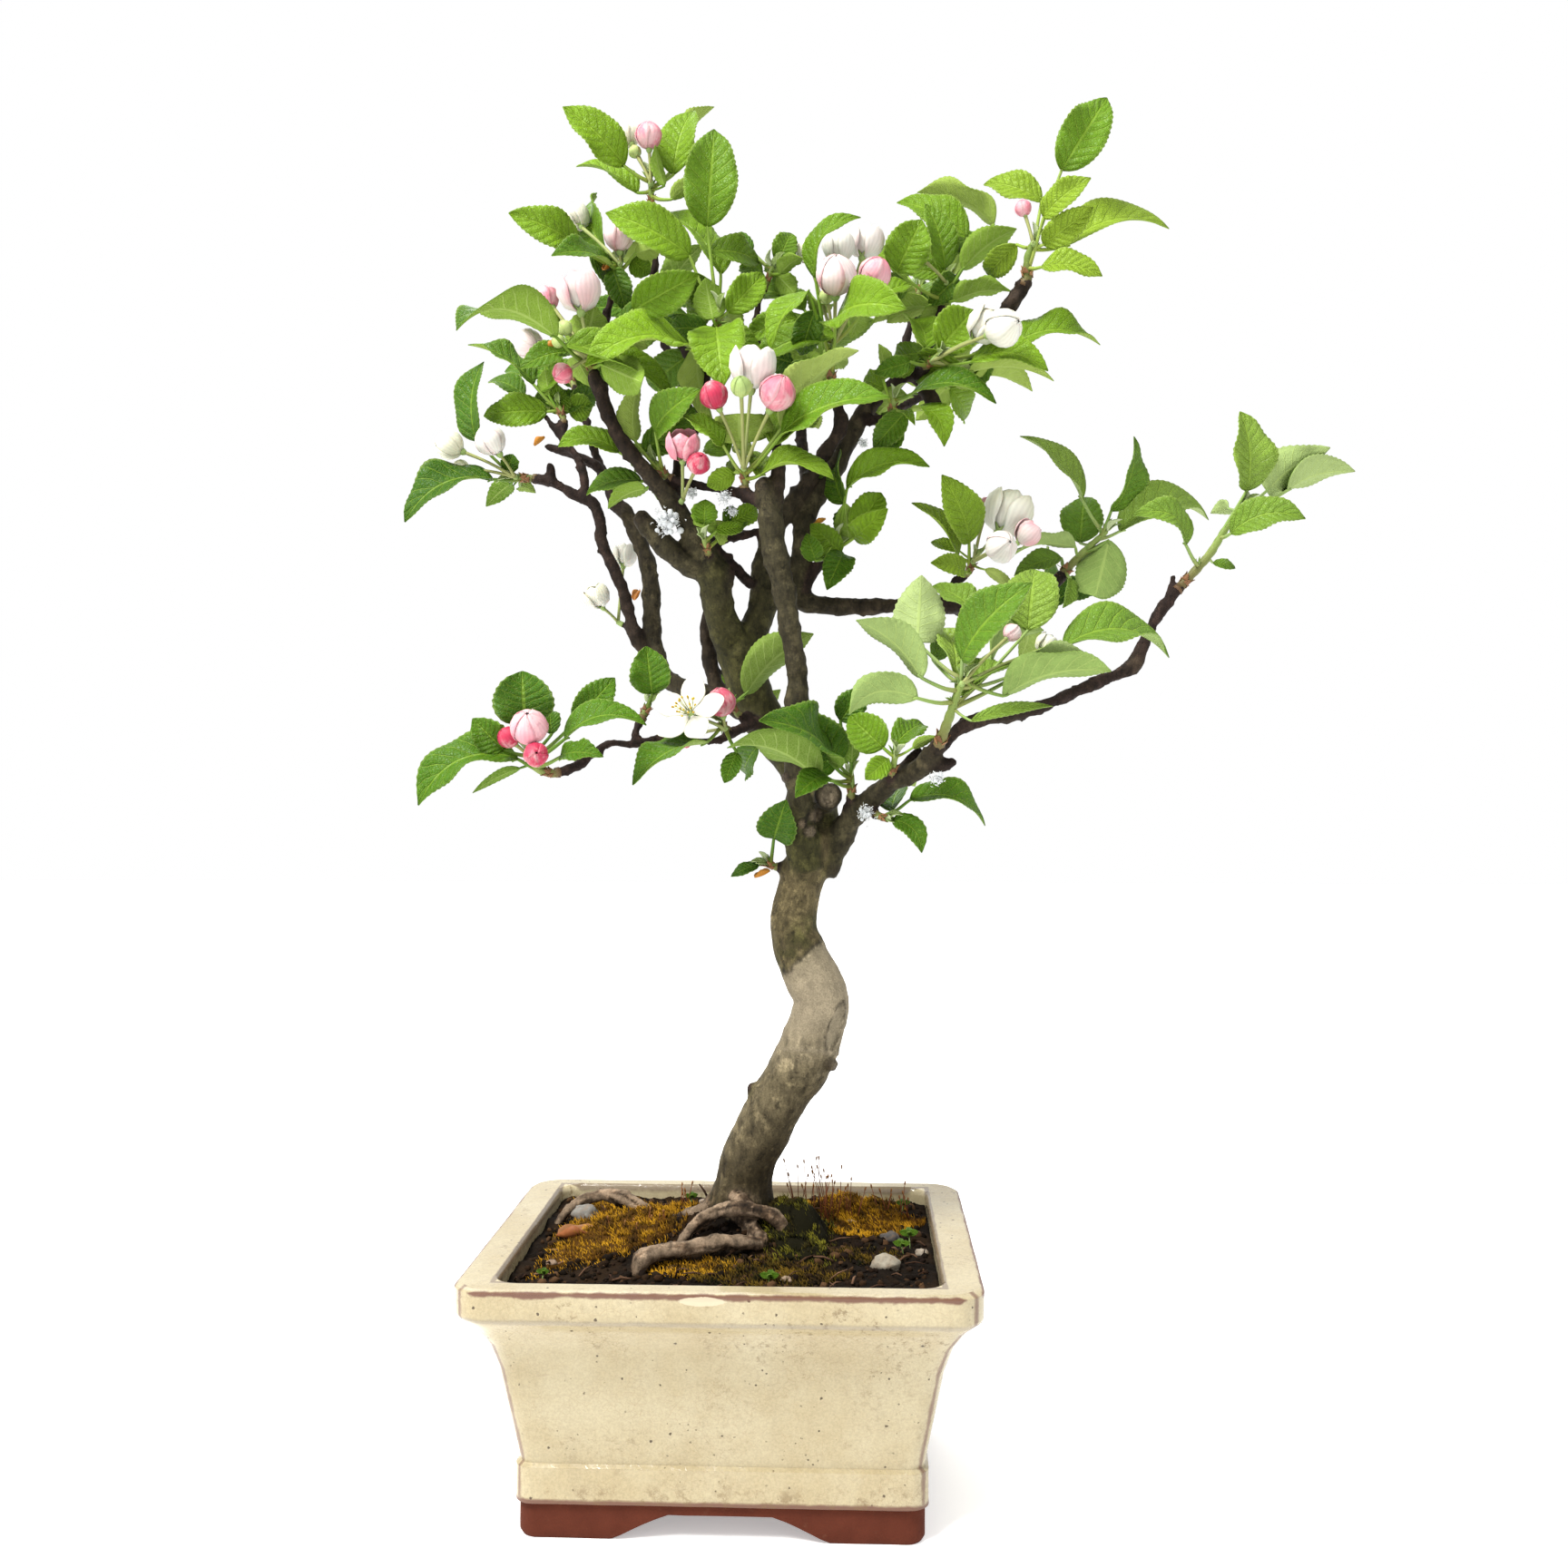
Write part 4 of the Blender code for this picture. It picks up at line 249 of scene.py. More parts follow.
# Leafy shoots: the stretch of wood that each one ends, the stem's further points
# (x, z, depth), and its leaves: the tip's (x, z, depth), where the blade starts (x, z),
# how wide it looks, T or U for the side that shows, and at need how far the blade bows up
# and how wide it really is.
SHOOTS = {
    "shoot_top_left": ("tall_twig", ((-36, 573, 9),), (
        (-75, 605, -5, -48, 579, 16, "T"), (-69, 578.5, 20, -42, 567, 6.5, "T"),
        (-17, 603, 25, -26, 575, 16, "T"), (-8, 605, 42, -20, 585, 6, "U"),
        (-14, 572, -8, -27, 564, 7, "U"))),
    "shoot_top_centre": ("rising_twig", ((-6, 516, -3),), (
        (-8, 595, -5, -11, 552, 23, "T"), (-56, 558, -15, -19, 539, 18, "T"),
        (-33, 558, 20, -5, 531, 9.5, "T"), (-12, 529, -8, -8.5, 511, 14, "U"),
        (14, 531, 5, -2, 514, 14, "T"), (-4, 481, -26, -7, 507, 25, "T"),
        (-37, 482, 24, -18, 496, 16, "T"), (-28, 507, 2, -11, 507, 12, "T"),
        (-65, 490, -34, -18, 498, 13, "T", 3))),
    "shoot_high_left": ("high_left_twig", ((-49, 538, 1),), (
        (-99, 558, -20, -68, 543, 15, "T"), (-80, 539, -25, -54, 535, 7, "T"),
        (-60, 565, 12, -56, 541, 12, "T"), (-31, 544, -8, -43, 540, 9, "U"))),
    "shoot_left": ("left_bough", ((-64, 496, -19),), (
        (-61, 517, -34, -64, 501, 20, "U"), (-97, 513, 4, -77, 505, 10, "T"),
        (-122, 506, -44, -78, 503, 10, "U", 3), (-94, 489, -22, -72, 496, 9, "T"),
        (-15, 531, -22, -44, 515, 17, "T"), (-20, 513, -12, -50, 509, 6, "T"),
        (-40, 483, -4, -58, 491, 16, "U"))),
    "shoot_far_left": ("back_fork", ((-98, 441, 36),), (
        (-145, 421, 20, -106, 440, 12, "T", 3), (-109, 428, 48, -98, 438, 9, "U"),
        (-97, 451, 24, -100, 443, 8, "T"), (-110, 492, 44, -113, 457, 11, "T"),
        (-87, 434, 56, -94, 437, 6, "U"))),
    "shoot_far_left_high": ("back_rise", ((-77, 473, 47),), (
        (-117, 499.5, 40, -88, 482, 8, "T"), (-108, 483, 68, -92, 477, 8, "T"),
        (-110, 468, 52, -82, 470, 15, "T"), (-83, 489, 42, -81, 477, 9, "U"),
        (-60, 480, 60, -72, 472, 11, "T"))),
    "shoot_mid_left": ("centre_twig", ((-34, 448, -5),), (
        (-64.5, 433, -16, -40, 439, 7, "T"), (-55, 427, -24, -38, 436, 8, "U"),
        (-41, 483, -32, -43, 457, 10, "U", 0, 13), (-14, 480, -38, -34, 461, 14, "T"),
        (-77, 454.5, -26, -50, 452, 9, "T", 2))),
    "shoot_left_arm": ("arm_spur", ((-12.5, 414, -18),), (
        (-12, 431, -19, -12.5, 420, 11, "T"), (5, 418, -10, -7, 417, 6, "T"),
        (11, 427, 2, 0, 421, 9, "T"))),
    "shoot_centre": ("centre_spur", ((5, 447, -24),), (
        (3, 469, -54, 4, 456, 28, "U", 0, 28), (56, 497, -52, 22, 463, 10, "U"),
        (70, 476, -34, 22, 460, 14, "T"), (45, 440, -42, 13, 442, 8, "T", 2),
        (-22, 468, -26, -4, 455, 8, "T"), (-11, 437, -12, 1, 443, 9, "T"))),
    "shoot_mid_right": ("right_arm", ((44, 494, 6), (45.5, 502, 4)), (
        (77, 515.5, -22, 46, 510, 16, "T"), (5, 502, 10, 29, 511, 12, "T"),
        (8, 523, 30, 32, 515, 10, "T"), (26, 508, 22, 36, 489, 12, "U"),
        (57, 556, -12, 37, 529, 6, "T", 5), (17, 497, -28, 34, 523, 8, "T"),
        (80, 526, 16, 60, 517, 9, "T"))),
    "shoot_top_small": ("slim_twig", ((18, 534, 14),), (
        (-1, 547, 28, 9, 541, 6, "T"), (26, 549, 20, 20, 536, 11, "T"),
        (31, 538, 0, 21, 531, 7, "U", 0, 9))),
    "shoot_high_right": ("high_right_twig", ((95, 528, 35),), (
        (84, 555, 12, 73, 532, 20, "T"), (85.5, 562, 32, 94, 533, 13, "T"),
        (73, 562.5, 52, 104, 547, 14, "T"), (82, 567, 68, 116, 553, 12, "U"),
        (126, 551, 14, 102, 533, 13, "U"), (124, 523, 20, 98, 519, 9, "U"),
        (62, 509, 24, 87, 517, 9, "U"))),
    "shoot_top_right": ("top_right_twig", ((131, 538, 0), (134, 546, -2)), (
        (166, 609, -5, 146, 577, 20, "T"), (111.5, 570.5, 22, 137, 563, 11, "T"),
        (159, 573.5, -20, 138, 556, 11, "T"), (160, 560.5, -14, 138, 544, 13, "T"),
        (193.5, 551, 8, 147, 543, 10, "T", 2), (164, 530, -12, 137, 534, 9, "T"),
        (113, 531, 28, 126, 544, 12, "T"))),
    "shoot_right": ("right_front", ((92, 495.5, 3),), (
        (107, 515, -4, 92, 498, 20, "T"), (140, 488, -16, 106, 492, 11, "T", 2),
        (142.5, 483.5, 0, 105, 488, 7, "U"), (133, 479, 14, 107, 485, 7, "U"),
        (163, 499.5, 10, 124, 499.5, 10, "T", 2), (77, 511, 46, 86, 498, 10, "T"),
        (63, 487, 44, 79, 492, 9, "T"))),
    "shoot_right_low": ("right_spur", ((72, 476, 8),), (
        (117, 473.5, -6, 80, 478, 8, "T", 2), (94, 454.5, -12, 79, 470, 9, "T", 4),
        (64, 452, 26, 75, 464, 12, "T"), (65, 500, 2, 67, 484, 6, "U"))),
    "shoot_inner_right": ("inner_twig", ((47.5, 412, 8),), (
        (87.5, 445.5, 0, 51, 436, 10, "T", 2), (66, 434, 14, 54, 416, 15, "T"),
        (69, 427, -14, 54, 414, 12, "T"), (42, 391, -8, 49, 407, 13, "T"),
        (33, 416, -16, 37, 404, 9, "T"))),
    "shoot_level_mid": ("level_twig", ((107.5, 405, 17),), (
        (79.5, 429.5, 6, 100, 406, 7, "T"), (93, 442, 0, 105, 412, 16, "T", 0, 18),
        (88, 403, -4, 103, 399, 9, "T"))),
    "shoot_level_end": ("level_bough", ((156, 408, 38), (166, 417, 38)), (
        (127.5, 459, 26, 155, 431, 8, "T"), (156, 432, 62, 154, 412, 20, "T"),
        (178, 459, 26, 168, 426, 9, "T"), (211, 422, 54, 172, 417, 13, "T", 5),
        (161, 388, 16, 167, 413, 23, "U"), (125, 406.5, 10, 152, 410, 6, "U"),
        (125, 397, 46, 146, 405, 9, "T"), (146.5, 383, 24, 150, 396, 6, "T"))),
    "shoot_far_right": ("far_bough", ((211, 406, -19), (218, 417, -20), (226, 428, -21)), (
        (225, 470, -27, 228, 435, 16, "T", 0, 20), (265, 454, -14, 237, 435, 16, "U"),
        (276, 443.5, 0, 246, 435, 11, "U"), (254, 422.5, -34, 221, 416, 13, "T", 3),
        (177.5, 424, -38, 201, 411, 9, "T", 5), (212, 425, 4, 220, 427, 7, "U"))),
    "shoot_low_right": ("lower_bough", ((96, 334, -58), (99, 343, -62), (103, 352, -64)), (
        (84, 397.5, -56, 82, 368, 21, "U"), (55, 377.5, -78, 84, 352, 12, "U"),
        (88, 376, -20, 89, 360, 8, "T"), (92, 374, -34, 99, 353, 12, "T"),
        (133, 394, -88, 102, 360, 17, "T"), (134, 400, -36, 131, 373, 22, "T"),
        (88, 392, -22, 109, 379, 9, "T"), (126, 357.5, -62, 100, 344, 9, "T"),
        (138, 373, -46, 115, 359, 9, "U"), (158.5, 361.5, -54, 124, 353, 6, "U"),
        (168, 355, -66, 120, 344, 12, "U"),
        (193.5, 361, -36, 147, 366, 11, "T", 4), (52, 336, -82, 82, 343, 12, "U", 4))),
    "shoot_low_spur": ("spur_low", ((72.5, 318, -42),), (
        (52, 335, -36, 67, 321, 16, "T"), (85, 331, -20, 72, 322, 10, "T"),
        (59, 307, -42, 69, 316, 9, "T"))),
    "shoot_trunk_fork": ("spur_trunk", ((53, 309, -16),), (
        (22, 339, -30, 47, 314, 24, "T"), (12, 333, -48, 44, 314, 12, "T"),
        (-2, 321, -56, 38, 308, 11, "U"), (28, 299, -50, 42, 308, 11, "T"),
        (58, 347, -12, 48, 333, 13, "T"), (54, 326, -28, 53, 314, 7, "U"))),
    "shoot_drooping": ("spur_droop", ((68, 290, -25),), (
        (84, 274.5, -32, 71, 289, 9, "T", 3), (112, 286.5, -10, 79, 298, 8, "T", 3),
        (81, 304, -4, 71, 293, 8, "T"))),
    "shoot_trunk_knob": ("knob_left", ((15.5, 270, 0),), (
        (24, 298, -12, 18.5, 281, 17, "T"),)),
    "shoot_fork_stub": ("stub_fork", ((-0.5, 341, -8),), (
        (36, 371.5, -42, 6, 345, 15, "U"),)),
    "shoot_low_left_inner": ("fork_twig", ((-5, 333, -23),), (
        (-44, 304.5, -38, -12, 323, 9, "T"), (-3.5, 305.5, -6, 2, 319, 8, "T"))),
    "shoot_low_left_twig": ("low_left_twig", ((-36.5, 341, -23),), (
        (-38, 366, -26, -35.5, 345, 17, "T"),)),
    "shoot_low_left": ("low_left_bough", ((-87, 312, -56), (-90, 319, -60)), (
        (-93, 355, -62, -92, 332, 26, "T"), (-115, 334, -66, -101, 320, 13, "T"),
        (-139, 295.5, -72, -95, 316, 13, "T", 5),
        (-52, 352, -46, -70, 332, 13, "T"), (-38, 331, -64, -74, 325, 9, "T", 3),
        (-57, 317, -78, -76, 317, 8, "T"), (-81, 338, -44, -80, 327, 8, "T"))),
}

# Shoots on the far side of the crown: the wood they end, and how many leaves each has
REAR_SHOOTS = {
    "shoot_rear_right": ("rear_right", 4), "shoot_rear_high": ("rear_high", 4),
    "shoot_rear_level": ("rear_level", 4), "shoot_rear_left": ("rear_left", 4),
    "shoot_rear_centre": ("rear_centre", 4), "shoot_rear_middle": ("rear_middle", 4),
    "shoot_rear_low": ("rear_low", 3),
}
# Flowers: what each bunch grows from, and its flowers: x, z, depth, radius and kind, and
# for an open one the way it faces (right, up, away)
BUNCHES = {
    "blossom_top_left": ("shoot_top_left", (
        (-37, 592, 4, 5.5, "bud"), (-43, 585, 8, 2.6, "bud"), (-46, 592, 18, 5, "bud"))),
    "blossom_high_left": ("shoot_high_left", (
        (-50, 547.5, -4, 6, "bud"), (-69, 556, 22, 6, "cup"))),
    "blossom_left": ("shoot_left", (
        (-82, 520, -4, 5, "bud"), (-68, 523, -14, 9, "cup"), (-74, 507, -28, 3, "bud"),
        (-77, 501, -30, 2.5, "bud"), (-90, 500, 22, 6, "bud"), (-75, 487, -30, 4, "bud"))),
    "blossom_far_left": ("shoot_far_left", (
        (-125, 455, 32, 6.2, "bud"), (-107, 457, 26, 6.5, "bud"), (-120, 445, 36, 3.6, "bud"))),
    "blossom_mid_left": ("red_spur", (
        (-22, 455, -30, 7, "cup"), (-15, 447, -32, 4.5, "bud"))),
    "blossom_centre": ("shoot_centre", (
        (9, 490, -40, 9.5, "cup"), (-8, 477, -36, 5.5, "bud"), (20, 478, -44, 7, "bud"),
        (4, 481, -54, 4, "bud"))),
    "blossom_mid_right": ("shoot_mid_right", (
        (46, 530, -16, 8, "bud"), (63, 531, -10, 6.5, "bud"), (47, 543, 4, 7, "cup"),
        (59, 545, 6, 8, "cup"), (42, 521, -12, 3, "bud"), (33, 541, 22, 5, "bud"))),
    "blossom_right": ("shoot_right", (
        (112, 508, -10, 8, "cup"), (120, 507, 2, 7.5, "bud"), (103, 488, 8, 3, "bud"))),
    "blossom_level_mid": ("shoot_level_mid", (
        (122, 425, 22, 11, "cup"), (119, 410, -6, 6.5, "bud"), (131, 416, 8, 6, "cup"),
        (113, 428, 26, 4, "bud"))),
    "blossom_low_right": ("shoot_low_right", (
        (124, 372, -58, 3.4, "bud"), (139, 367, -40, 4.4, "cup"))),
    "blossom_low_left_inner": ("shoot_low_left_inner", (
        (-5, 341, -30, 5.8, "bud"), (-19, 337, -36, 16.5, "open", (-0.3, 0.45, -0.85)),
        (-21, 325, -16, 3.6, "bud"))),
    "blossom_low_left": ("shoot_low_left", (
        (-90, 330, -76, 6.8, "bud"), (-99, 325.5, -70, 4, "bud"), (-87, 318, -80, 4.4, "bud"))),
    "blossom_top_right": ("shoot_top_right", (
        (129, 560, -4, 3.4, "bud"),)),
    "blossom_high_right": ("shoot_high_right", (
        (83, 539, 20, 3.6, "bud"),)),
    "blossom_back": ("back_stub", (
        (-60, 388, 40, 6, "cup"), (-48, 406, 62, 6, "cup"))),
}

# Moss cushions: the rings and sectors of the soil that they cover, and their thickness
CUSHIONS = {
    "moss_left": (1, 4, 10, 15, 5.0),
    "moss_trunk": (3, 5, 22, 27, 9.0),
    "moss_right": (1, 3, 1, 4, 6.0),
}
# Stones: x, z and depth of the middle, and the three radii
STONES = {
    "stone_pale": (68, 92, -32, 6.0, 5.0, 4.6),
    "stone_grey": (-65, 114, 32, 6.5, 5.0, 4.5),
}


# Bark colours
PALE_BARK = (0.33, 0.275, 0.185)
MID_BARK = (0.175, 0.142, 0.08)
TRUNK_BARK = (0.131, 0.103, 0.05)
FOOT_BARK = (0.046, 0.034, 0.016)
OLIVE_BARK = (0.046, 0.043, 0.014)
BOUGH_BARK = (0.046, 0.039, 0.02)
TWIG_BARK = (0.024, 0.014, 0.011)
DARK_BARK = (0.013, 0.009, 0.006)
ROOT_BARK = (0.10, 0.062, 0.036)
ROOT_PALE = (0.29, 0.21, 0.14)
MOSSY_BARK = (0.06, 0.056, 0.018)
# Where the pale lower bark gives way to darker bark, along a slanting fold
PALE_TOP = 228.0
PALE_MIDDLE_X = 32.0
RING_Z = 187.0
RING_SLOPE = -0.12
WOOD_VOXEL = 1.2
WOOD_STEP = 2.2
# Noise in the bark is drawn out along the wood: its share along it, and its width across
FIBRE_RUN = 0.12
FIBRE_WIDTH = 2.6
# How many points of the surface are worked on at a time
BATCH = 2000

# Marks on the wood that face the viewer: x, z, half-widths, lean, rise, rise of the rim, colour
SCARS = (
    (45.5, 197.0, 2.9, 11.0, 0.3, -0.7, 0.6, (0.33, 0.28, 0.19)),
    (43.6, 181.0, 2.6, 2.8, 0.0, 1.9, 0.2, (0.06, 0.045, 0.03)),
    (34.5, 284.0, 3.0, 2.6, 0.0, 0.8, -0.5, (0.13, 0.10, 0.07)),
    (37.0, 291.0, 3.4, 3.0, 0.0, 0.7, -0.5, (0.12, 0.09, 0.06)),
    (31.0, 287.5, 2.0, 2.0, 0.0, 0.6, -0.3, (0.14, 0.10, 0.07)),
    (42.5, 300.0, 5.2, 5.2, 0.0, -0.4, 0.7, (0.20, 0.16, 0.11)),
    (24.0, 290.0, 1.8, 2.2, 0.0, 1.0, 0.2, (0.07, 0.05, 0.035)),
    (24.0, 308.0, 1.8, 2.2, 0.0, 1.0, 0.2, (0.07, 0.05, 0.035)),
)

# Where smaller leaves fill the crown, and the shoots that stand clear of it
CROWN_LOW = 396.0
CROWN_HEART = (18.0, 468.0, 22.0)
BARE_SHOOTS = {
    "shoot_far_right", "shoot_level_end", "shoot_level_mid", "shoot_top_right", "shoot_top_left",
    "shoot_far_left",
}

# Shoots deep in, under and behind the crown: their leaves' darker greens are painted shade
SHADE_DARKENED_SHOOTS = {
    "shoot_low_left", "shoot_low_left_inner", "shoot_low_left_twig", "shoot_trunk_knob",
    "shoot_rear_low",
    "shoot_rear_middle", "shoot_rear_left", "shoot_rear_centre", "shoot_drooping", "shoot_trunk_fork",
    "shoot_rear_level", "shoot_far_left", "shoot_fork_stub",
}
DOWNY_SHOOTS = {"shoot_low_right", "shoot_level_end", "shoot_far_right"}
FRESH_SHOOTS = {"shoot_top_right", "shoot_centre", "shoot_level_mid"}
# Leaf colours: upper face from dark to light, then underside from dark to light. The last row is
# for every other shoot.
LEAF_TONES = (
    (SHADE_DARKENED_SHOOTS, ((0.028, 0.10, 0.002), (0.085, 0.21, 0.006), (0.11, 0.21, 0.02), (0.24, 0.34, 0.07))),
    (DOWNY_SHOOTS, ((0.10, 0.22, 0.015), (0.24, 0.37, 0.05), (0.22, 0.34, 0.08), (0.38, 0.48, 0.20))),
    (FRESH_SHOOTS, ((0.10, 0.23, 0.006), (0.26, 0.40, 0.025), (0.24, 0.37, 0.04), (0.38, 0.48, 0.12))),
    ((), ((0.05, 0.14, 0.003), (0.20, 0.36, 0.012), (0.18, 0.31, 0.03), (0.34, 0.46, 0.09))),
)
# Tiny leaves: x, z and depth of the tip, x and z of the base, width, side that is seen
TINY_LEAVES = {
    "shoot_top_left": ((-34, 588, -3, -30, 570, 5.5, "U"),),
    "shoot_right_low": ((81, 464, -18, 76, 470, 4.0, "T"),),
    "shoot_level_mid": ((88, 412, 32, 101, 408, 5.0, "T"), (123, 392, -2, 112, 400, 5.0, "U")),
    "shoot_far_right": ((223, 400.5, -10, 213, 403, 4.0, "T"),),
    "shoot_low_right": ((142, 339.5, -72, 106, 333, 5.0, "T"),),
    "shoot_low_spur": ((91, 326, -38, 80, 321, 4.0, "U"),),
    "shoot_trunk_knob": ((-0.5, 264, 2, 12, 269, 5.0, "T"),),
    "shoot_low_left": ((-115, 301, -56, -94, 312, 4.0, "U"),),
}

WHITE = (0.80, 0.785, 0.72)
CREAM = (0.76, 0.75, 0.55)
BLUSH = (0.82, 0.60, 0.61)
PINK = (0.76, 0.25, 0.33)
RED = (0.50, 0.025, 0.075)
ROSE = (0.66, 0.12, 0.19)
LIME = (0.48, 0.58, 0.20)
SEPAL = (0.30, 0.42, 0.13)

# Each flower's colours: at the foot of a petal, at its rim and along its sides
ROSY = (PINK, ROSE, BLUSH)
GREEN = (LIME, LIME, SEPAL)
CRIMSON = (RED, RED, ROSE)
BUTTER = (CREAM, WHITE, CREAM)
BLUSHED = (WHITE, WHITE, BLUSH)
IVORY = (WHITE, CREAM, WHITE)
PEARL = (WHITE, WHITE, CREAM)
PINK_SIDED = (BLUSH, WHITE, PINK)
BLOSSOM_COLOURS = {
    "blossom_top_left": (ROSY, GREEN, BUTTER),
    "blossom_high_left": (PINK_SIDED, (CREAM, WHITE, WHITE)),
    "blossom_left": ((PINK, BLUSH, ROSE), (WHITE, BLUSH, PINK), GREEN, GREEN,
                     (BLUSH, WHITE, WHITE), (RED, ROSE, BLUSH)),
    "blossom_top_right": (ROSY,),
    "blossom_high_right": (ROSY,),
    "blossom_far_left": (BUTTER, BLUSHED, (CREAM, CREAM, LIME)),
    "blossom_mid_left": ((ROSE, PINK, BLUSH), CRIMSON),
    "blossom_centre": (BLUSHED, CRIMSON, ROSY, (LIME, SEPAL, SEPAL)),
    "blossom_mid_right": (PINK_SIDED, (BLUSH, PINK, ROSE), (WHITE, WHITE, WHITE),
                          BLUSHED, GREEN, BUTTER),
    "blossom_right": (IVORY, PEARL, GREEN),
    "blossom_level_mid": (IVORY, BLUSHED, (WHITE, BLUSH, ROSE), ROSY),
    "blossom_low_right": (PINK_SIDED, BUTTER),
    "blossom_low_left_inner": ((ROSE, ROSE, RED), PEARL, CRIMSON),
    "blossom_low_left": ((PINK, BLUSH, PINK), CRIMSON, CRIMSON),
    "blossom_back": (IVORY, PEARL),
}

# A chip in the lip's front edge: x, z and half-sizes
CHIP = (-5.0, 104.3, 9.0, 1.7)

# Soil
SOIL_RINGS = (1.0, 0.86, 0.66, 0.47, 0.3, 0.15)
SOIL_DARK = (0.006, 0.004, 0.0025)
SOIL_LIGHT = (0.02, 0.011, 0.005)
CRUMB_TONES = (
    (0.036, 0.018, 0.008), (0.1, 0.052, 0.024), (0.018, 0.011, 0.006), (0.026, 0.014, 0.008),
    (0.012, 0.007, 0.005),
)
SOIL_GAP = 0.15
SOIL_SECTORS = 26
SOIL_SECTORS_FINE = 360
SOIL_RINGS_FINE = 58
CRUMBS = 2100
TWIGLETS = 150
GOLDEN_MOSS = ((0.13, 0.055, 0.004), (0.66, 0.34, 0.018))
GREEN_MOSS = ((0.012, 0.012, 0.003), (0.21, 0.19, 0.02))
MIXED_MOSS = ((0.01, 0.011, 0.003), (0.15, 0.09, 0.01))
MOSS_BLADES = 5000
CUSHION_LUMPS = {"moss_left": 1.1, "moss_trunk": 2.8, "moss_right": 1.3}
CUSHION_TONES = {"moss_left": GOLDEN_MOSS, "moss_trunk": GREEN_MOSS, "moss_right": GOLDEN_MOSS}
# Loose moss: x, z and depth of the middle, half-widths, how many blades, their tones
MOSS_PATCHES = (
    (15, 89, -45, 34, 16, 2210, MIXED_MOSS), (-20, 91, -38, 20, 10, 765, GOLDEN_MOSS),
    (36, 110, 18, 12, 12, 1105, GOLDEN_MOSS), (52, 108, 14, 10, 9, 595, GOLDEN_MOSS),
    (74, 114, 32, 14, 8, 935, GOLDEN_MOSS), (22, 116, 20, 16, 12, 1275, GREEN_MOSS),
    (-32, 113, 34, 16, 8, 595, GOLDEN_MOSS), (60, 96, -20, 16, 10, 425, MIXED_MOSS),
)
STONE_TONES = {"stone_pale": (0.40, 0.36, 0.28), "stone_grey": (0.27, 0.26, 0.235)}
# Small stones: x, z and depth, size, colour
PEBBLES = (
    (52, 115, 22, 3.2, (0.6, 0.56, 0.48)), (70, 105, 6, 3.6, (0.09, 0.085, 0.08)),
    (-48, 100, -8, 2.2, (0.30, 0.25, 0.2)), (84, 98, -14, 2.4, (0.4, 0.34, 0.27)),
    (-80, 92, -30, 2.0, (0.28, 0.2, 0.14)), (38, 99, -14, 1.9, (0.5, 0.38, 0.26)),
    (24, 86, -52, 2.0, (0.36, 0.26, 0.18)), (-12, 117, 40, 2.4, (0.42, 0.36, 0.3)),
)
# Seedlings: x, z and depth, height, length of a leaf
SEEDLINGS = (
    (79, 101, -4, 6.0, 4.5), (76, 95, -18, 4.0, 4.0), (16, 84, -56, 2.5, 4.2), (-84, 84, -52, 3.0, 3.0),
    (-18, 115, 42, 4.0, 3.4), (75, 118, 44, 5.0, 3.6),
)
# Moss stalks: x, z and depth, spread, how many, height
MOSS_STALKS = (
    (38, 108, 16, 11, 22, 28), (-18, 116, 42, 5, 6, 14), (73, 115, 38, 8, 9, 16),
    (48, 108, 26, 8, 8, 18),
    (-40, 104, 6, 14, 10, 8),
)
# Dry scraps: x, z and depth, size, whether it lies on the soil
DRY_BITS = (
    (-70, 106, 4, 16, True), (-55, 533, 0, 6, False), (92, 481, 10, 6, False), (39, 420, 8, 6, False),
    (13.5, 264, -6, 7, False), (-42, 388, 38, 6, False), (-85, 456, 30, 6, False),
    (-80, 497, -24, 8, False),
)
# White tufts: x, z and depth, size
WOOL = (
    (-29, 421, -14, 8.0), (-18, 434, -14, 3.5), (-3, 432, -24, 4.0), (0, 426, -20, 3.2),
    (90, 466, 18, 3.5),
    (59, 292, -24, 5.0), (91, 307, -46, 4.2), (58, 456, 8, 3.0),
)

# Colours of small things
VEIN_GREEN = (0.28, 0.42, 0.04)
LEAF_DOWN = (0.40, 0.52, 0.12)
UNDER_VEIN = (0.42, 0.54, 0.16)
SHADE_GREEN = (0.02, 0.06, 0.003)
YOUNG_LEAF = ((0.34, 0.46, 0.15), (0.5, 0.58, 0.34))
STALK_RED = (0.30, 0.13, 0.05)
STEM_FOOT = (0.13, 0.07, 0.035)
STEM_GREENS = ((0.15, 0.23, 0.04), (0.27, 0.35, 0.09))
SCALE_TONES = ((0.16, 0.07, 0.03), (0.34, 0.17, 0.07))
PETAL_FLECK = (0.80, 0.62, 0.60)
PETAL_BLOT = (0.36, 0.03, 0.07)
SEPAL_PALE = (0.5, 0.55, 0.3)
PEDICEL_RED = (0.36, 0.2, 0.1)
FILAMENT = (0.52, 0.55, 0.22)
ANTHER_TONES = ((0.50, 0.30, 0.015), (0.68, 0.50, 0.06))
STONE_EARTH = (0.25, 0.14, 0.07)
TWIGLET_TONES = ((0.04, 0.02, 0.012), (0.18, 0.10, 0.06))
SEEDLING_STEM = (0.30, 0.42, 0.14)
SEEDLING_LEAF = ((0.07, 0.17, 0.006), (0.2, 0.3, 0.05))
MOSS_STALK = (0.20, 0.06, 0.02)
MOSS_CAPSULE = (0.30, 0.13, 0.04)
DRY_LEAF = (0.30, 0.10, 0.03)
DRY_UNDER = (0.35, 0.2, 0.08)
SCRAP_TONES = ((0.36, 0.11, 0.012), (0.62, 0.30, 0.03))
SCREEN_BLACK = (0.03, 0.03, 0.03)

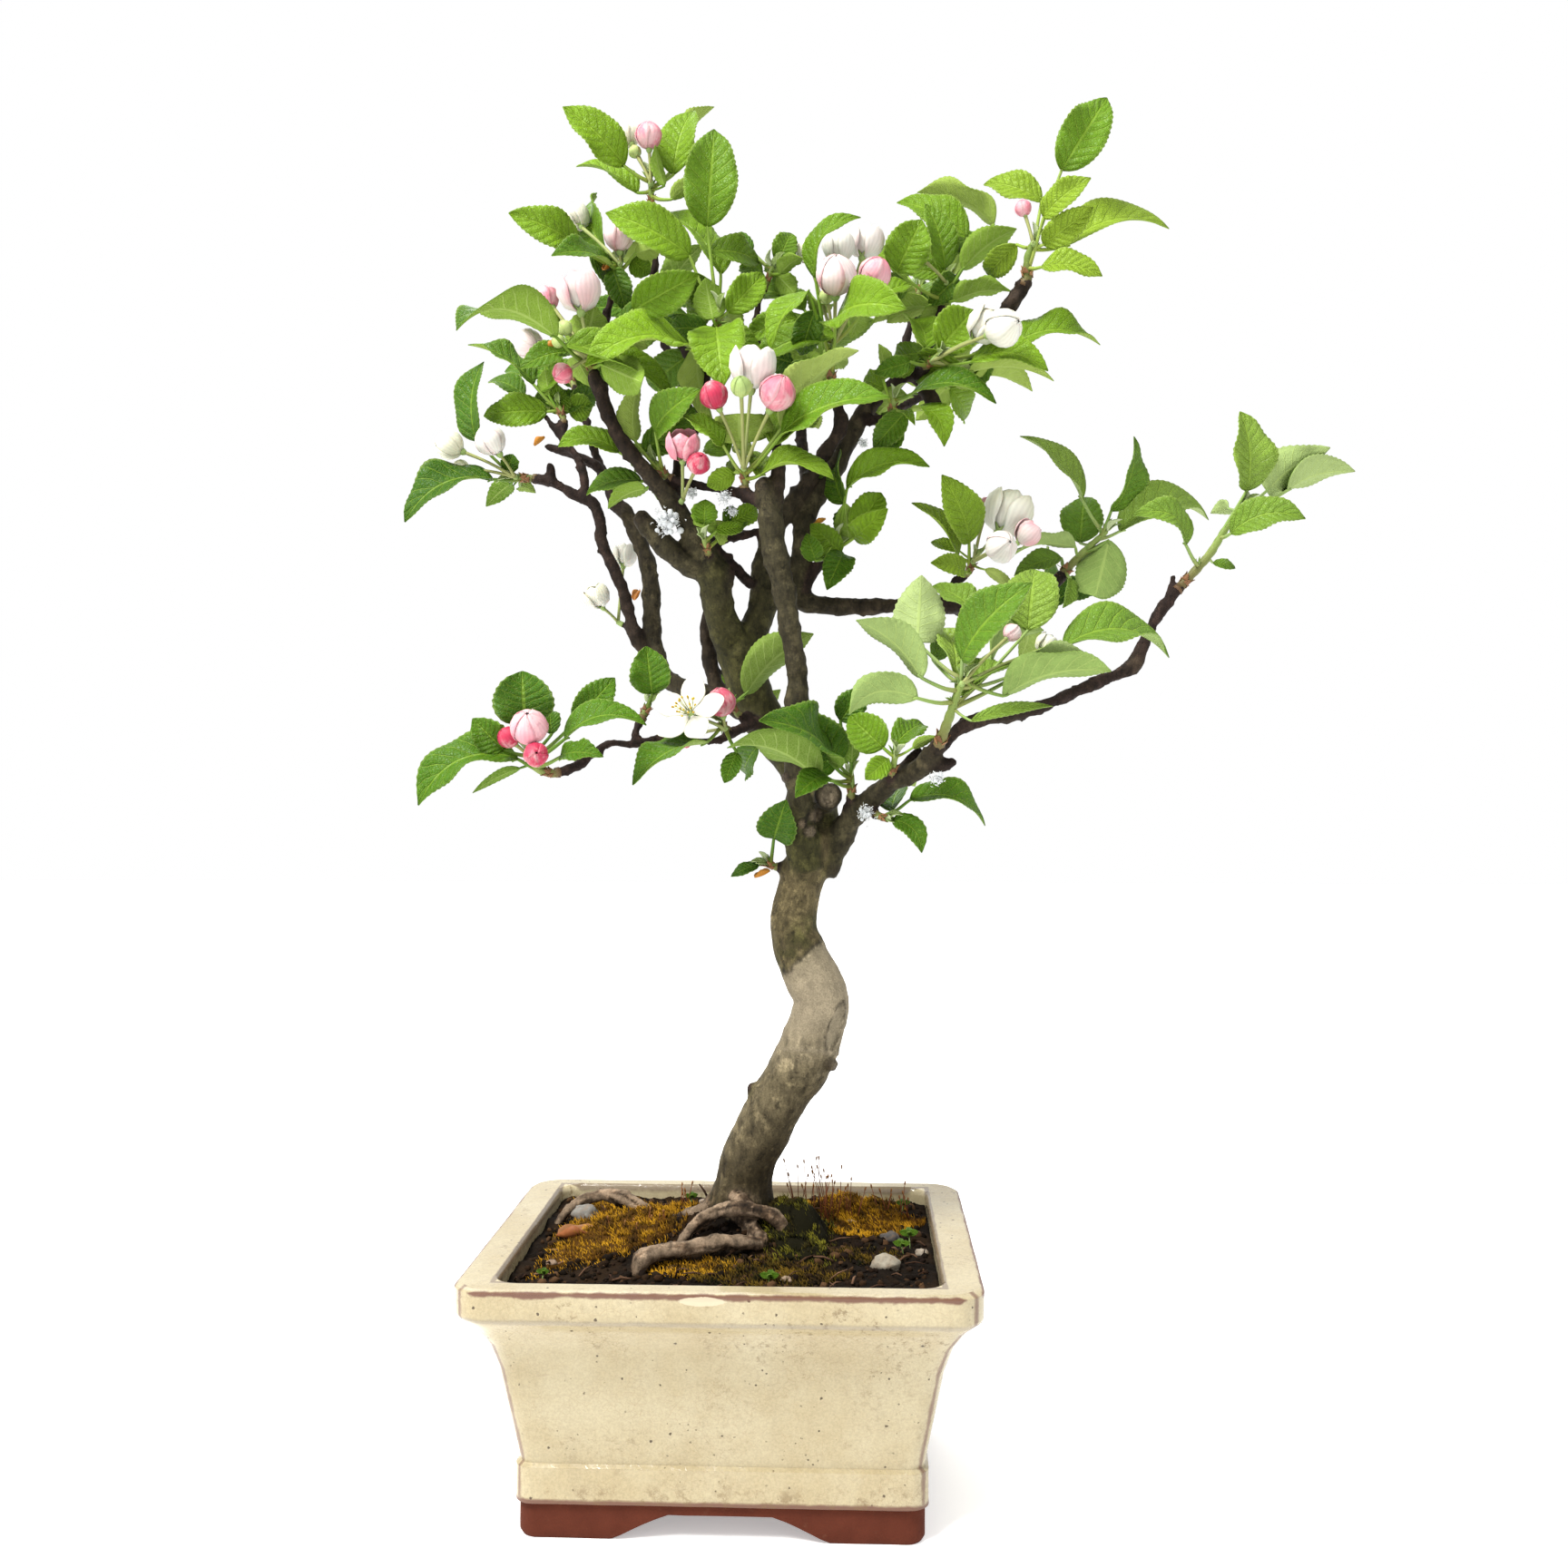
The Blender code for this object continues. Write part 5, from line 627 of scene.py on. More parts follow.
# Colours of the pot
GLAZE_DEEP = (0.44, 0.36, 0.205)
GLAZE_PALE = (0.515, 0.445, 0.285)
CRACKLE_BROWN = (0.30, 0.20, 0.10)
DRIP_BROWN = (0.30, 0.24, 0.15)
STAIN_BROWN = (0.17, 0.11, 0.045)
SPECK_BROWN = (0.05, 0.028, 0.013)
THIN_BROWN = (0.135, 0.048, 0.028)
# Painted shadow: a line along the rim's inner edge, then a band under the lip
RIM_SHADOW = (0.14, 0.09, 0.07)
LIP_SHADOW = (0.21, 0.18, 0.15)
CHIP_PALE = (0.62, 0.54, 0.38)
GRIME_BROWN = (0.17, 0.10, 0.035)
CLAY_DARK = (0.07, 0.016, 0.008)
CLAY_WARM = (0.135, 0.034, 0.018)
CLAY_DUST = (0.22, 0.12, 0.075)

# Petals from foot to tip: reach and rise, in shares of the flower's radius
BUD_PETAL = (
    (0.16, -1.0), (0.68, -0.72), (0.97, -0.22), (0.99, 0.22), (0.74, 0.72), (0.3, 1.02), (0.03, 1.12),
)
CUP_PETALS = (
    ((0.14, -0.95), (0.72, -0.66), (1.0, -0.1), (0.98, 0.42), (0.74, 0.84)),
    ((0.1, -0.8), (0.58, -0.5), (0.84, 0.0), (0.78, 0.5), (0.42, 0.9)),
)
OPEN_PETAL = ((0.08, -0.12), (0.35, -0.05), (0.68, 0.04), (0.98, 0.16))

# How far every colour is toned down under the bright key lamp
UNDER_KEY = 0.72

# Lamps: name, place in metres, size, power, colour
LIGHTS = (
    ("key", (-1.05, -1.05, 2.3), 0.9, 125.0, (1.0, 0.985, 0.95)),
    ("back", (-0.5, 1.6, 1.6), 1.2, 12.0, (1.0, 1.0, 1.0)),
)


def place(x, z, depth):
    """The point seen at x, z on the plane through the pot's middle, but this far behind it."""
    flat = RIGHT * x + UP * z
    return EYE + (flat - EYE) * (1.0 + depth / EYE_DISTANCE)


def seen(point):
    """(x, z, depth) of a point: the reverse of place."""
    offset = point - EYE
    reach = offset.dot(AWAY) / EYE_DISTANCE
    flat = EYE + offset / reach
    return flat.dot(RIGHT), flat.z, (reach - 1.0) * EYE_DISTANCE


FOOT = place(*TRUNK[0][:3])


def mixed(a, b, share):
    """The colour or vector a share of the way from a to b."""
    return tuple(p + (q - p) * share for p, q in zip(a, b))


def smooth_step(low, high, value):
    share = min(max((value - low) / (high - low), 0.0), 1.0)
    return float(share * share * (3 - 2 * share))


def fractal(point, size, octaves=3):
    """Noise of about -1 to 1 whose largest lumps are this many millimetres across."""
    return noise.fractal(point / size, 0.9, 2.1, octaves)


def axes_of(aim):
    """The direction and two others across it."""
    side = aim.orthogonal().normalized()
    return aim, side, aim.cross(side)


def spoke(side, other, angle):
    return side * math.cos(angle) + other * math.sin(angle)


def gauss_vector(rng, size):
    return Vector([rng.gauss(0, size) for _ in range(3)])


# Meshes

class Form:
    """A mesh in the making, in millimetres, with a colour called tone and a UV at each point."""

    def __init__(self):
        self.points, self.tones, self.uvs = [], [], []
        self.faces, self.slots = [], []
        self.count = 0

    def add(self, points, faces, slot=0, tone=(0.5, 0.5, 0.5), uvs=(0.5, 0.5)):
        """Faces have four corners, the last of them -1 for a triangle."""
        points = np.asarray(points, np.float64).reshape(-1, 3)
        faces = np.asarray(faces, np.int64).reshape(-1, 4)
        self.points.append(points)
        self.tones.append(np.broadcast_to(np.asarray(tone, np.float32), (len(points), 3)))
        self.uvs.append(np.broadcast_to(np.asarray(uvs, np.float32), (len(points), 2)))
        self.faces.append(np.where(faces < 0, -1, faces + self.count))
        self.slots.append(np.broadcast_to(np.asarray(slot, np.int32), (len(faces),)))
        self.count += len(points)

    def object(self, name, looks):
        faces = np.concatenate(self.faces)
        sizes = np.where(faces[:, 3] < 0, 3, 4)
        corners = faces[faces >= 0].astype(np.int32)
        points = np.concatenate(self.points) * MM + np.array(POT_MIDDLE)
        mesh = bpy.data.meshes.new(name)
        mesh.vertices.add(len(points))
        mesh.loops.add(len(corners))
        mesh.polygons.add(len(faces))
        mesh.vertices.foreach_set("co", points.astype(np.float32).ravel())
        mesh.loops.foreach_set("vertex_index", corners)
        mesh.polygons.foreach_set("loop_start", (np.cumsum(sizes) - sizes).astype(np.int32))
        for look in looks:
            mesh.materials.append(look)
        mesh.polygons.foreach_set("material_index", np.concatenate(self.slots))
        mesh.update(calc_edges=True)
        mesh.validate()
        set_tones(mesh, np.concatenate(self.tones))
        layer = mesh.uv_layers.new(name="UVMap")
        layer.data.foreach_set("uv", np.concatenate(self.uvs)[corners].ravel())
        mesh.shade_smooth()
        made = bpy.data.objects.new(name, mesh)
        bpy.context.scene.collection.objects.link(made)
        return made


def set_tones(mesh, tones):
    layer = mesh.attributes.get("tone") or mesh.attributes.new("tone", "FLOAT_COLOR", "POINT")
    full = np.ones((len(mesh.vertices), 4), np.float32)
    full[:, :3] = tones
    layer.data.foreach_set("color", full.ravel())


def dress(piece, slot, *nodes):
    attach(piece, "root")
    if nodes:
        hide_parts(*nodes)


def apply_modifiers(piece):
    graph = bpy.context.evaluated_depsgraph_get()
    mesh = bpy.data.meshes.new_from_object(piece.evaluated_get(graph))
    piece.modifiers.clear()
    piece.data = mesh


def quads(rows, columns, closed=False):
    """The faces of a grid of points, row after row."""
    i = np.arange(rows - 1)[:, None] * columns
    k = np.arange(columns if closed else columns - 1)[None, :]
    a = (i + k).ravel()
    b = (i + (k + 1) % columns).ravel()
    return np.stack([a, b, b + columns, a + columns], axis=1)


def closed_rings(rows, sides):
    """The faces of a body of rings whose last two points close its ends."""
    k = np.arange(sides)
    after = (k + 1) % sides
    none = np.full(sides, -1)
    tips = rows * sides
    last = tips - sides
    low = np.stack([after, k, none + 1 + tips, none], axis=1)
    high = np.stack([last + k, last + after, none + 2 + tips, none], axis=1)
    return np.concatenate([quads(rows, sides, closed=True), low, high])


def slab(form, grid, thick, slots=(0, 0), tone=(0.5, 0.5, 0.5), under_tone=None, uvs=None):
    """A closed thin body either side of a grid of points."""
    grid = np.asarray(grid, np.float64)
    rows, columns = grid.shape[:2]
    normal = np.cross(np.gradient(grid, axis=0), np.gradient(grid, axis=1))
    normal /= np.maximum(np.linalg.norm(normal, axis=2, keepdims=True), 1e-9)
    half = normal * (np.broadcast_to(thick, (rows, columns))[..., None] / 2)
    count = rows * columns
    flat = quads(rows, columns)
    top_row, last_row = np.arange(columns), np.arange(columns) + (rows - 1) * columns
    left, right = np.arange(rows) * columns, np.arange(rows) * columns + columns - 1
    rims = []
    for edge, turned in ((top_row, False), (last_row, True), (left, True), (right, False)):
        rim = np.stack([edge[:-1], edge[1:], edge[1:] + count, edge[:-1] + count], axis=1)
        rims.append(rim[:, ::-1] if turned else rim)
    faces = np.concatenate([flat[:, ::-1], flat + count] + rims)
    slot = np.full(len(faces), slots[1])
    slot[:len(flat)] = slots[0]
    tone = np.broadcast_to(np.asarray(tone, np.float32), (rows, columns, 3)).reshape(-1, 3)
    under = tone if under_tone is None else np.broadcast_to(
        np.asarray(under_tone, np.float32), (rows, columns, 3)).reshape(-1, 3)
    uvs = np.zeros((count, 2)) + 0.5 if uvs is None else np.asarray(uvs).reshape(-1, 2)
    points = np.concatenate([(grid + half).reshape(-1, 3), (grid - half).reshape(-1, 3)])
    form.add(points, faces, slot, np.concatenate([tone, under]), np.concatenate([uvs, uvs]))


def tube(form, path, radii, sides, slot=0, tone=(0.5, 0.5, 0.5), tones=None, bulge=None):
    """A closed tube along the points. bulge gives the radius's share at (index, angle)."""
    rings, side = [], None
    angles = np.arange(sides) * 2 * math.pi / sides
    for i, point in enumerate(path):
        along = (path[min(i + 1, len(path) - 1)] - path[max(i - 1, 0)]).normalized()
        side = along.orthogonal().normalized() if side is None else side
        side = (side - along * side.dot(along)).normalized()
        other = along.cross(side)
        wide = radii[i] * (bulge(i, angles) if bulge else 1.0)
        ring = np.outer(np.cos(angles) * wide, side) + np.outer(np.sin(angles) * wide, other)
        rings.append(ring + np.array(point))
    points = np.concatenate(rings + [np.array([path[0]]), np.array([path[-1]])])
    if tones is not None:
        tones = np.asarray(tones, np.float32)
        tone = np.concatenate([np.repeat(tones, sides, axis=0), tones[:1], tones[-1:]])
    form.add(points, closed_rings(len(path), sides), slot, tone)


def smooth_path(points, radii, step):
    """The points and radii of a smooth curve through those given, about a step apart."""
    out, wide = [], []
    for i in range(len(points) - 1):
        p0 = points[i - 1] if i else points[0] * 2 - points[1]
        p1, p2 = points[i], points[i + 1]
        p3 = points[i + 2] if i + 2 < len(points) else p2 * 2 - p1
        count = max(2, round((p2 - p1).length / step))
        for k in range(count):
            t = k / count
            out.append(0.5 * (2 * p1 + (p2 - p0) * t + (2 * p0 - 5 * p1 + 4 * p2 - p3) * t * t
                              + (3 * p1 - p0 - 3 * p2 + p3) * t ** 3))
            ease = t * t * (3 - 2 * t)
            wide.append(radii[i] * (1 - ease) + radii[i + 1] * ease)
    return out + [points[-1]], wide + [radii[-1]]


def ball(form, centre, aim, reach, wide, rings=6, sides=8, slot=0, tone=(0.5, 0.5, 0.5)):
    """A rounded grain, longer or shorter along its aim."""
    path, radii = [], []
    for k in range(rings + 1):
        angle = math.pi * (0.04 + 0.92 * k / rings)
        path.append(centre - aim * (reach * math.cos(angle)))
        radii.append(wide * math.sin(angle))
    tube(form, path, radii, sides, slot, tone)


def spikes(form, bases, ways, lengths, widths, tones):
    """Many tiny three-sided blades at once, curving over a little towards their tips."""
    bases, ways = np.asarray(bases, np.float64), np.asarray(ways, np.float64)
    lengths, widths = np.asarray(lengths)[:, None], np.asarray(widths)[:, None]
    ways /= np.linalg.norm(ways, axis=1, keepdims=True)
    side = np.cross(ways, np.array([0.31, 0.52, 0.79]))
    side /= np.linalg.norm(side, axis=1, keepdims=True)
    other = np.cross(ways, side)
    middle = bases + ways * lengths * 0.55
    tip = bases + ways * lengths + side * lengths * BLADE_BEND
    rows = []
    for centre, share in ((bases, 1.0), (middle, 0.75)):
        for k in range(3):
            angle = math.tau * k / 3
            rows.append(centre + (side * math.cos(angle) + other * math.sin(angle)) * widths * share)
    points = np.stack(rows + [tip], axis=1).reshape(-1, 3)
    faces = [(2, 1, 0, -1)]
    for k in range(3):
        n = (k + 1) % 3
        faces += [(k, n, 3 + n, 3 + k), (3 + k, 3 + n, 6, -1)]
    faces = np.array(faces)
    starts = (np.arange(len(bases)) * 7)[:, None, None]
    every = np.where(faces[None] < 0, -1, faces[None] + starts).reshape(-1, 4)
    tones = np.asarray(tones, np.float32)
    # Painted shade at each blade's foot, painted light at its tip
    shade = np.array([0.55, 0.55, 0.55, 0.85, 0.85, 0.85, 1.2])[None, :, None]
    form.add(points, every, 0, (tones[:, None, :] * shade).reshape(-1, 3))


# Materials

class Look:
    """A material built node by node. Sizes of noise are in millimetres."""

    def __init__(self, name, rough, **inputs):
        self.material = bpy.data.materials.new(name)
        self.material.use_nodes = True
        self.tree = self.material.node_tree
        self.shader = self.tree.nodes["Principled BSDF"]
        self.set(Roughness=rough, **inputs)
        self.place = self.node("ShaderNodeTexCoord").outputs["Object"]

    def set(self, **inputs):
        for key, value in inputs.items():
            self.shader.inputs[key.replace("_", " ")].default_value = value

    def node(self, kind, **settings):
        made = self.tree.nodes.new(kind)
        for key, value in settings.items():
            setattr(made, key, value)
        return made

    def put(self, socket, value):
        if hasattr(value, "links"):
            self.tree.links.new(value, socket)
        elif isinstance(value, tuple):
            socket.default_value = (*value, 1.0)[:len(socket.default_value)]
        else:
            socket.default_value = value

    def calc(self, operation, a, b=0.0, c=0.0):
        made = self.node("ShaderNodeMath", operation=operation)
        for socket, value in zip(made.inputs, (a, b, c)):
            self.put(socket, value)
        return made.outputs[0]

    times = partialmethod(calc, "MULTIPLY")
    plus = partialmethod(calc, "ADD")
    minus = partialmethod(calc, "SUBTRACT")
    most = partialmethod(calc, "MAXIMUM")
    absolute = partialmethod(calc, "ABSOLUTE")

    def noise(self, size, detail=3.0, rough=0.6, stretch=None):
        made = self.node("ShaderNodeTexNoise")
        made.inputs["Scale"].default_value = 1000.0 / size
        made.inputs["Detail"].default_value = detail
        made.inputs["Roughness"].default_value = rough
        self.put(made.inputs["Vector"], self.stretched(stretch) if stretch else self.place)
        return made.outputs["Fac"]

    def stretched(self, scale):
        made = self.node("ShaderNodeMapping")
        made.inputs["Scale"].default_value = scale
        self.put(made.inputs["Vector"], self.place)
        return made.outputs["Vector"]

    def cells(self, size, feature="F1"):
        made = self.node("ShaderNodeTexVoronoi", feature=feature)
        made.inputs["Scale"].default_value = 1000.0 / size
        self.put(made.inputs["Vector"], self.place)
        return made.outputs["Distance"]

    def tone(self):
        return self.node("ShaderNodeAttribute", attribute_name="tone").outputs["Color"]

    def uv(self):
        return self.node("ShaderNodeUVMap", uv_map="UVMap").outputs["UV"]

    def split(self, value, kind="ShaderNodeSeparateColor"):
        made = self.node(kind)
        self.put(made.inputs[0], value)
        return tuple(made.outputs)[:3]

    def wander(self, reach, *noise):
        """Noise that swings this far either side of nought."""
        return self.calc("MULTIPLY_ADD", self.noise(*noise), 2 * reach, -reach)

    def ramp(self, value, low, high, to_low=0.0, to_high=1.0):
        """A smooth step of the value from low to high."""
        made = self.node("ShaderNodeMapRange", interpolation_type="SMOOTHSTEP")
        numbers = {"From Min": low, "From Max": high, "To Min": to_low, "To Max": to_high}
        for key, number in numbers.items():
            made.inputs[key].default_value = number
        self.put(made.inputs["Value"], value)
        return made.outputs["Result"]

    def mix(self, share, a, b, blend="MIX"):
        made = self.node("ShaderNodeMix", data_type="RGBA", blend_type=blend)
        self.put(made.inputs[0], share)
        self.put(made.inputs[6], a)
        self.put(made.inputs[7], b)
        return made.outputs[2]

    def over(self, colour, where, share, other):
        """The other colour laid over this one, by a share of where it lies."""
        return self.mix(self.times(where, share), colour, other)

    def shaded(self, colour, share, low, high):
        """The colour made darker or lighter as the share goes from 0 to 1."""
        return self.mix(1.0, colour, self.mix(share, (low,) * 3, (high,) * 3), "MULTIPLY")

    def bump(self, height, distance, strength=1.0):
        made = self.node("ShaderNodeBump")
        made.inputs["Strength"].default_value = strength
        made.inputs["Distance"].default_value = distance * MM
        self.put(made.inputs["Height"], height)
        self.put(self.shader.inputs["Normal"], made.outputs["Normal"])

    def done(self, colour, rough=None, dim=UNDER_KEY):
        self.put(self.shader.inputs["Base Color"], self.mix(1.0, colour, (dim,) * 3, "MULTIPLY"))
        if rough is not None:
            self.put(self.shader.inputs["Roughness"], rough)
        return self.material


def leaf_look(name, top):
    """Side veins and a midrib drawn from the leaf's own coordinates, over its tone."""
    look = Look(name, 0.4 if top else 0.7, Specular_IOR_Level=0.16 if top else 0.05)
    along, across, _ = look.split(look.uv(), "ShaderNodeSeparateXYZ")
    out = look.absolute(look.calc("MULTIPLY_ADD", across, 2.0, -1.0))
    sweep = look.minus(along, look.times(out, 0.2))
    wander = look.wander(0.25, 7.0, 2.0)
    waves = look.calc("FRACT", look.plus(look.times(sweep, 8.5), wander))
    ridge = look.times(look.absolute(look.minus(waves, 0.5)), 2.0)
    vein = look.times(look.ramp(ridge, 0.8, 0.97), look.ramp(out, 1.0, 0.72))
    midrib = look.ramp(out, 0.1, 0.03)
    net = look.ramp(look.cells(1.3, "DISTANCE_TO_EDGE"), 0.16, 0.0)
    veins = look.most(look.most(vein, midrib), look.times(net, 0.45))
    tone = look.tone()
    mottled = look.shaded(tone, look.noise(5.0, 4.0), 0.72, 1.26)
    if top:
        colour = look.over(mottled, veins, 0.4, VEIN_GREEN)
        down = look.times(look.ramp(out, 0.9, 1.0), 0.3)
        colour = look.mix(down, colour, LEAF_DOWN)
        swell = look.minus(look.times(ridge, -0.5), look.times(veins, 0.6))
        quilt = look.times(look.cells(2.6), -0.5)
        fine = look.times(look.noise(0.7), 0.2)
        look.bump(look.plus(look.plus(swell, quilt), fine), 0.8, 0.95)
        rough = look.ramp(look.noise(3.0), 0.3, 0.7, 0.34, 0.52)
    else:
        colour = look.over(mottled, veins, 0.5, UNDER_VEIN)
        fine = look.times(look.noise(0.5, 2.0), 0.5)
        look.bump(look.plus(look.times(veins, 0.8), fine), 0.3, 0.8)
        rough = look.ramp(look.noise(2.0), 0.3, 0.7, 0.62, 0.82)
    return look.done(colour, rough)


def plain_look(name, rough, size, depth, low=0.8, high=1.2, **inputs):
    """The mesh's own tones, mottled and slightly rough."""
    look = Look(name, rough, **inputs)
    grain = look.noise(size, 4.0, 0.65)
    coarse = look.noise(size * 6, 2.0)
    colour = look.shaded(look.shaded(look.tone(), grain, low, high), coarse, 0.85, 1.15)
    look.bump(grain, depth, 0.9)
    return look.done(colour, look.ramp(grain, 0.2, 0.8, rough - 0.08, rough + 0.1))


def petal_look():
    """Petals with fine lengthwise lines, flecked and blotted where they are pink."""
    look = Look("petal", 0.5, Specular_IOR_Level=0.25, Subsurface_Weight=0.2)
    look.shader.inputs["Subsurface Radius"].default_value = (0.003, 0.0015, 0.0012)
    wave = look.node("ShaderNodeTexWave", wave_type="BANDS", bands_direction="Y")
    wave.inputs["Scale"].default_value = 2.6
    wave.inputs["Distortion"].default_value = 1.5
    wave.inputs["Detail"].default_value = 2.0
    look.put(wave.inputs["Vector"], look.uv())
    lines = wave.outputs["Fac"]
    grain = look.noise(1.2)
    colour = look.shaded(look.shaded(look.tone(), lines, 0.93, 1.04), grain, 0.95, 1.05)
    red, green, _ = look.split(look.tone())
    pinkness = look.ramp(look.minus(red, green), 0.2, 0.4)
    flecks = look.noise(5.5, 5.0, 0.65, (1.0, 1.0, 0.5))
    flecks = look.times(look.ramp(flecks, 0.47, 0.64), 0.5)
    colour = look.over(colour, flecks, pinkness, PETAL_FLECK)
    blots = look.times(look.ramp(look.noise(4.0, 4.0, 0.6), 0.42, 0.3), 0.45)
    colour = look.over(colour, blots, pinkness, PETAL_BLOT)
    look.bump(look.plus(look.times(lines, 0.5), grain), 0.12, 0.7)
    return look.done(colour)


def bark_look():
    """The mesh's own tones under lichen, dark pits and fine cracks, all fainter on pale smooth bark."""
    look = Look("bark", 0.75, Specular_IOR_Level=0.12)
    tone = look.tone()
    smooth = look.ramp(look.split(tone)[0], 0.2, 0.3, 1.0, 0.12)
    streaks = look.noise(3.4, 6.0, 0.7, (1.0, 1.0, 0.45))
    fine = look.noise(0.7, 4.0, 0.7)
    calm = look.shaded(tone, look.ramp(streaks, 0.3, 0.7), 0.9, 1.08)
    colour = look.mix(smooth, calm, look.shaded(tone, look.ramp(streaks, 0.3, 0.7), 0.58, 1.42))
    colour = look.shaded(colour, look.ramp(fine, 0.3, 0.7), 0.76, 1.24)
    patches = look.times(look.ramp(look.noise(7.0, 6.0, 0.65), 0.5, 0.6), 0.62)
    colour = look.shaded(colour, look.times(patches, smooth), 0.92, 2.0)
    pits = look.times(look.ramp(look.noise(5.0, 7.0, 0.72), 0.54, 0.66), 0.62)
    colour = look.shaded(colour, look.times(pits, smooth), 1.0, 0.12)
    pores = look.times(look.ramp(look.cells(4.2), 0.12, 0.06), 0.35)
    colour = look.shaded(colour, pores, 1.0, 1.9)
    cracks = look.ramp(look.noise(1.1, 5.0, 0.75, (1.0, 1.0, 1.8)), 0.6, 0.7)
    colour = look.shaded(colour, cracks, 1.0, 0.55)
    relief = look.plus(look.times(streaks, 0.9), look.times(fine, 0.8))
    look.bump(look.minus(relief, look.times(pits, 0.5)), 0.4, 0.9)
    return look.done(colour, look.ramp(fine, 0.3, 0.7, 0.6, 0.85))


def glaze_look():
    """Cream glaze with a fine crackle, specks, stains and brown lines where it ran thin.
    Painted shadow lies under the lip and along the rim's inner edge, and the inner walls are painted
    lighter.

    The tone holds, in centimetres, how far off the lip's edge and the upright corners are, and
    how near the foot of the base band is.
    """
    look = Look("glaze", 0.16, Specular_IOR_Level=0.4)
    lip, corner, base = look.split(look.tone())
    x, y, z = (look.times(look.minus(out, middle), 1.0 / MM)
               for out, middle in zip(look.split(look.place, "ShaderNodeSeparateXYZ"), POT_MIDDLE))
    cloud = look.noise(38.0, 4.0, 0.6)
    colour = look.mix(look.ramp(cloud, 0.3, 0.7), GLAZE_DEEP, GLAZE_PALE)
    colour = look.shaded(colour, look.ramp(look.noise(1.0, 3.0, 0.7), 0.3, 0.7), 0.9, 1.09)
    crackle = look.ramp(look.cells(2.8, "DISTANCE_TO_EDGE"), 0.045, 0.0)
    crackle = look.times(crackle, look.ramp(look.noise(22.0), 0.38, 0.6))
    colour = look.over(colour, crackle, 0.3, CRACKLE_BROWN)
    drips = look.ramp(look.noise(7.0, 5.0, 0.6, (1.0, 1.0, 0.14)), 0.56, 0.72)
    colour = look.over(colour, drips, 0.13, DRIP_BROWN)
    stains = look.ramp(look.noise(26.0, 3.0), 0.48, 0.66)
    stains = look.times(stains, look.ramp(z, 60.0, 92.0, 0.45, 1.0))
    stains = look.times(stains, look.ramp(look.noise(3.2, 6.0, 0.75), 0.5, 0.66))
    colour = look.over(colour, stains, 0.75, STAIN_BROWN)
    strewn = look.ramp(look.cells(3.6), 0.17, 0.1)
    strewn = look.times(strewn, look.ramp(look.noise(17.0, 5.0), 0.5, 0.58))
    ragged = look.wander(0.1, 1.3, 4.0, 0.7)
    dots = look.ramp(look.plus(look.cells(9.0), ragged), 0.085, 0.05)
    dots = look.most(dots, look.times(strewn, look.ramp(ragged, 0.02, -0.01)))
    colour = look.over(colour, dots, 0.9, SPECK_BROWN)
    wander = look.wander(0.17, 9.0, 5.0)
    near_lip = look.ramp(look.plus(lip, wander), 0.2, 0.08)
    near_corner = look.ramp(look.plus(corner, wander), 0.2, 0.03)
    wavy = look.times(wander, 6.0)
    low_edge = look.ramp(look.plus(z, wavy), 17.2, 15.8)
    thin = look.most(look.most(near_lip, look.times(near_corner, 0.8)), low_edge)
    colour = look.over(colour, thin, 0.93, THIN_BROWN)
    wide_in = look.minus(look.absolute(x), POT_WIDTH / 2 - RIM_SIDE)
    deep_in = look.minus(look.absolute(y), POT_DEPTH / 2 - RIM_FRONT)
    past_rim = look.most(wide_in, deep_in)
    # Painted light: the pot's inner walls above the soil are coloured up to 1.3 times lighter
    inside = look.times(look.ramp(past_rim, 0.2, -0.6), look.ramp(z, 95.5, 97.5))
    colour = look.shaded(colour, inside, 1.0, 1.3)
    # Painted shadow: a dark line just inside the rim's inner edge, near its top
    inner = look.absolute(look.minus(past_rim, 1.0))
    inner = look.plus(inner, look.times(wander, 5.0))
    inner = look.times(look.ramp(inner, 1.5, 0.7), look.ramp(z, 103.0, 105.0))
    colour = look.over(colour, inner, 0.65, RIM_SHADOW)
    # Painted shadow: a grey band along the underside of the lip
    under_lip = look.ramp(look.absolute(look.minus(look.plus(z, wavy), 94.6)), 1.9, 0.4)
    colour = look.over(colour, under_lip, 0.4, LIP_SHADOW)
    chip_x, chip_z, chip_half, chip_tall = CHIP
    across = look.calc("DIVIDE", look.minus(x, chip_x), chip_half)
    upward = look.calc("DIVIDE", look.minus(z, chip_z), chip_tall)
    off = look.calc("MULTIPLY_ADD", across, across, look.times(upward, upward))
    off = look.plus(off, look.times(look.plus(wander, look.times(ragged, 0.6)), 5.0))
    front = -POT_DEPTH / 2
    chip = look.times(look.ramp(off, 1.1, 0.8), look.ramp(y, front + 5.0, front + 3.0))
    colour = look.over(colour, chip, 0.85, CHIP_PALE)
    grime = look.ramp(base, 0.3, 1.0)
    grime = look.times(grime, look.ramp(look.noise(11.0, 7.0, 0.78), 0.48, 0.66))
    colour = look.over(colour, grime, 0.7, GRIME_BROWN)
    height = look.minus(look.noise(24.0, 3.0), look.times(crackle, 0.06))
    height = look.plus(height, look.times(look.noise(1.4, 2.0), 0.03))
    look.bump(height, 0.9, 0.5)
    return look.done(colour, look.ramp(thin, 0.0, 1.0, 0.14, 0.34))


def clay_look():
    """Bare red clay under the glaze's lower edge."""
    look = Look("bare_clay", 0.85, Specular_IOR_Level=0.1)
    grain = look.noise(0.8, 4.0, 0.7)
    colour = look.mix(look.noise(11.0, 4.0), CLAY_DARK, CLAY_WARM)
    colour = look.shaded(colour, grain, 0.8, 1.2)
    dust = look.ramp(look.noise(5.0, 5.0, 0.7), 0.6, 0.75)
    colour = look.over(colour, dust, 0.25, CLAY_DUST)
    look.bump(grain, 0.3, 0.8)
    return look.done(colour)


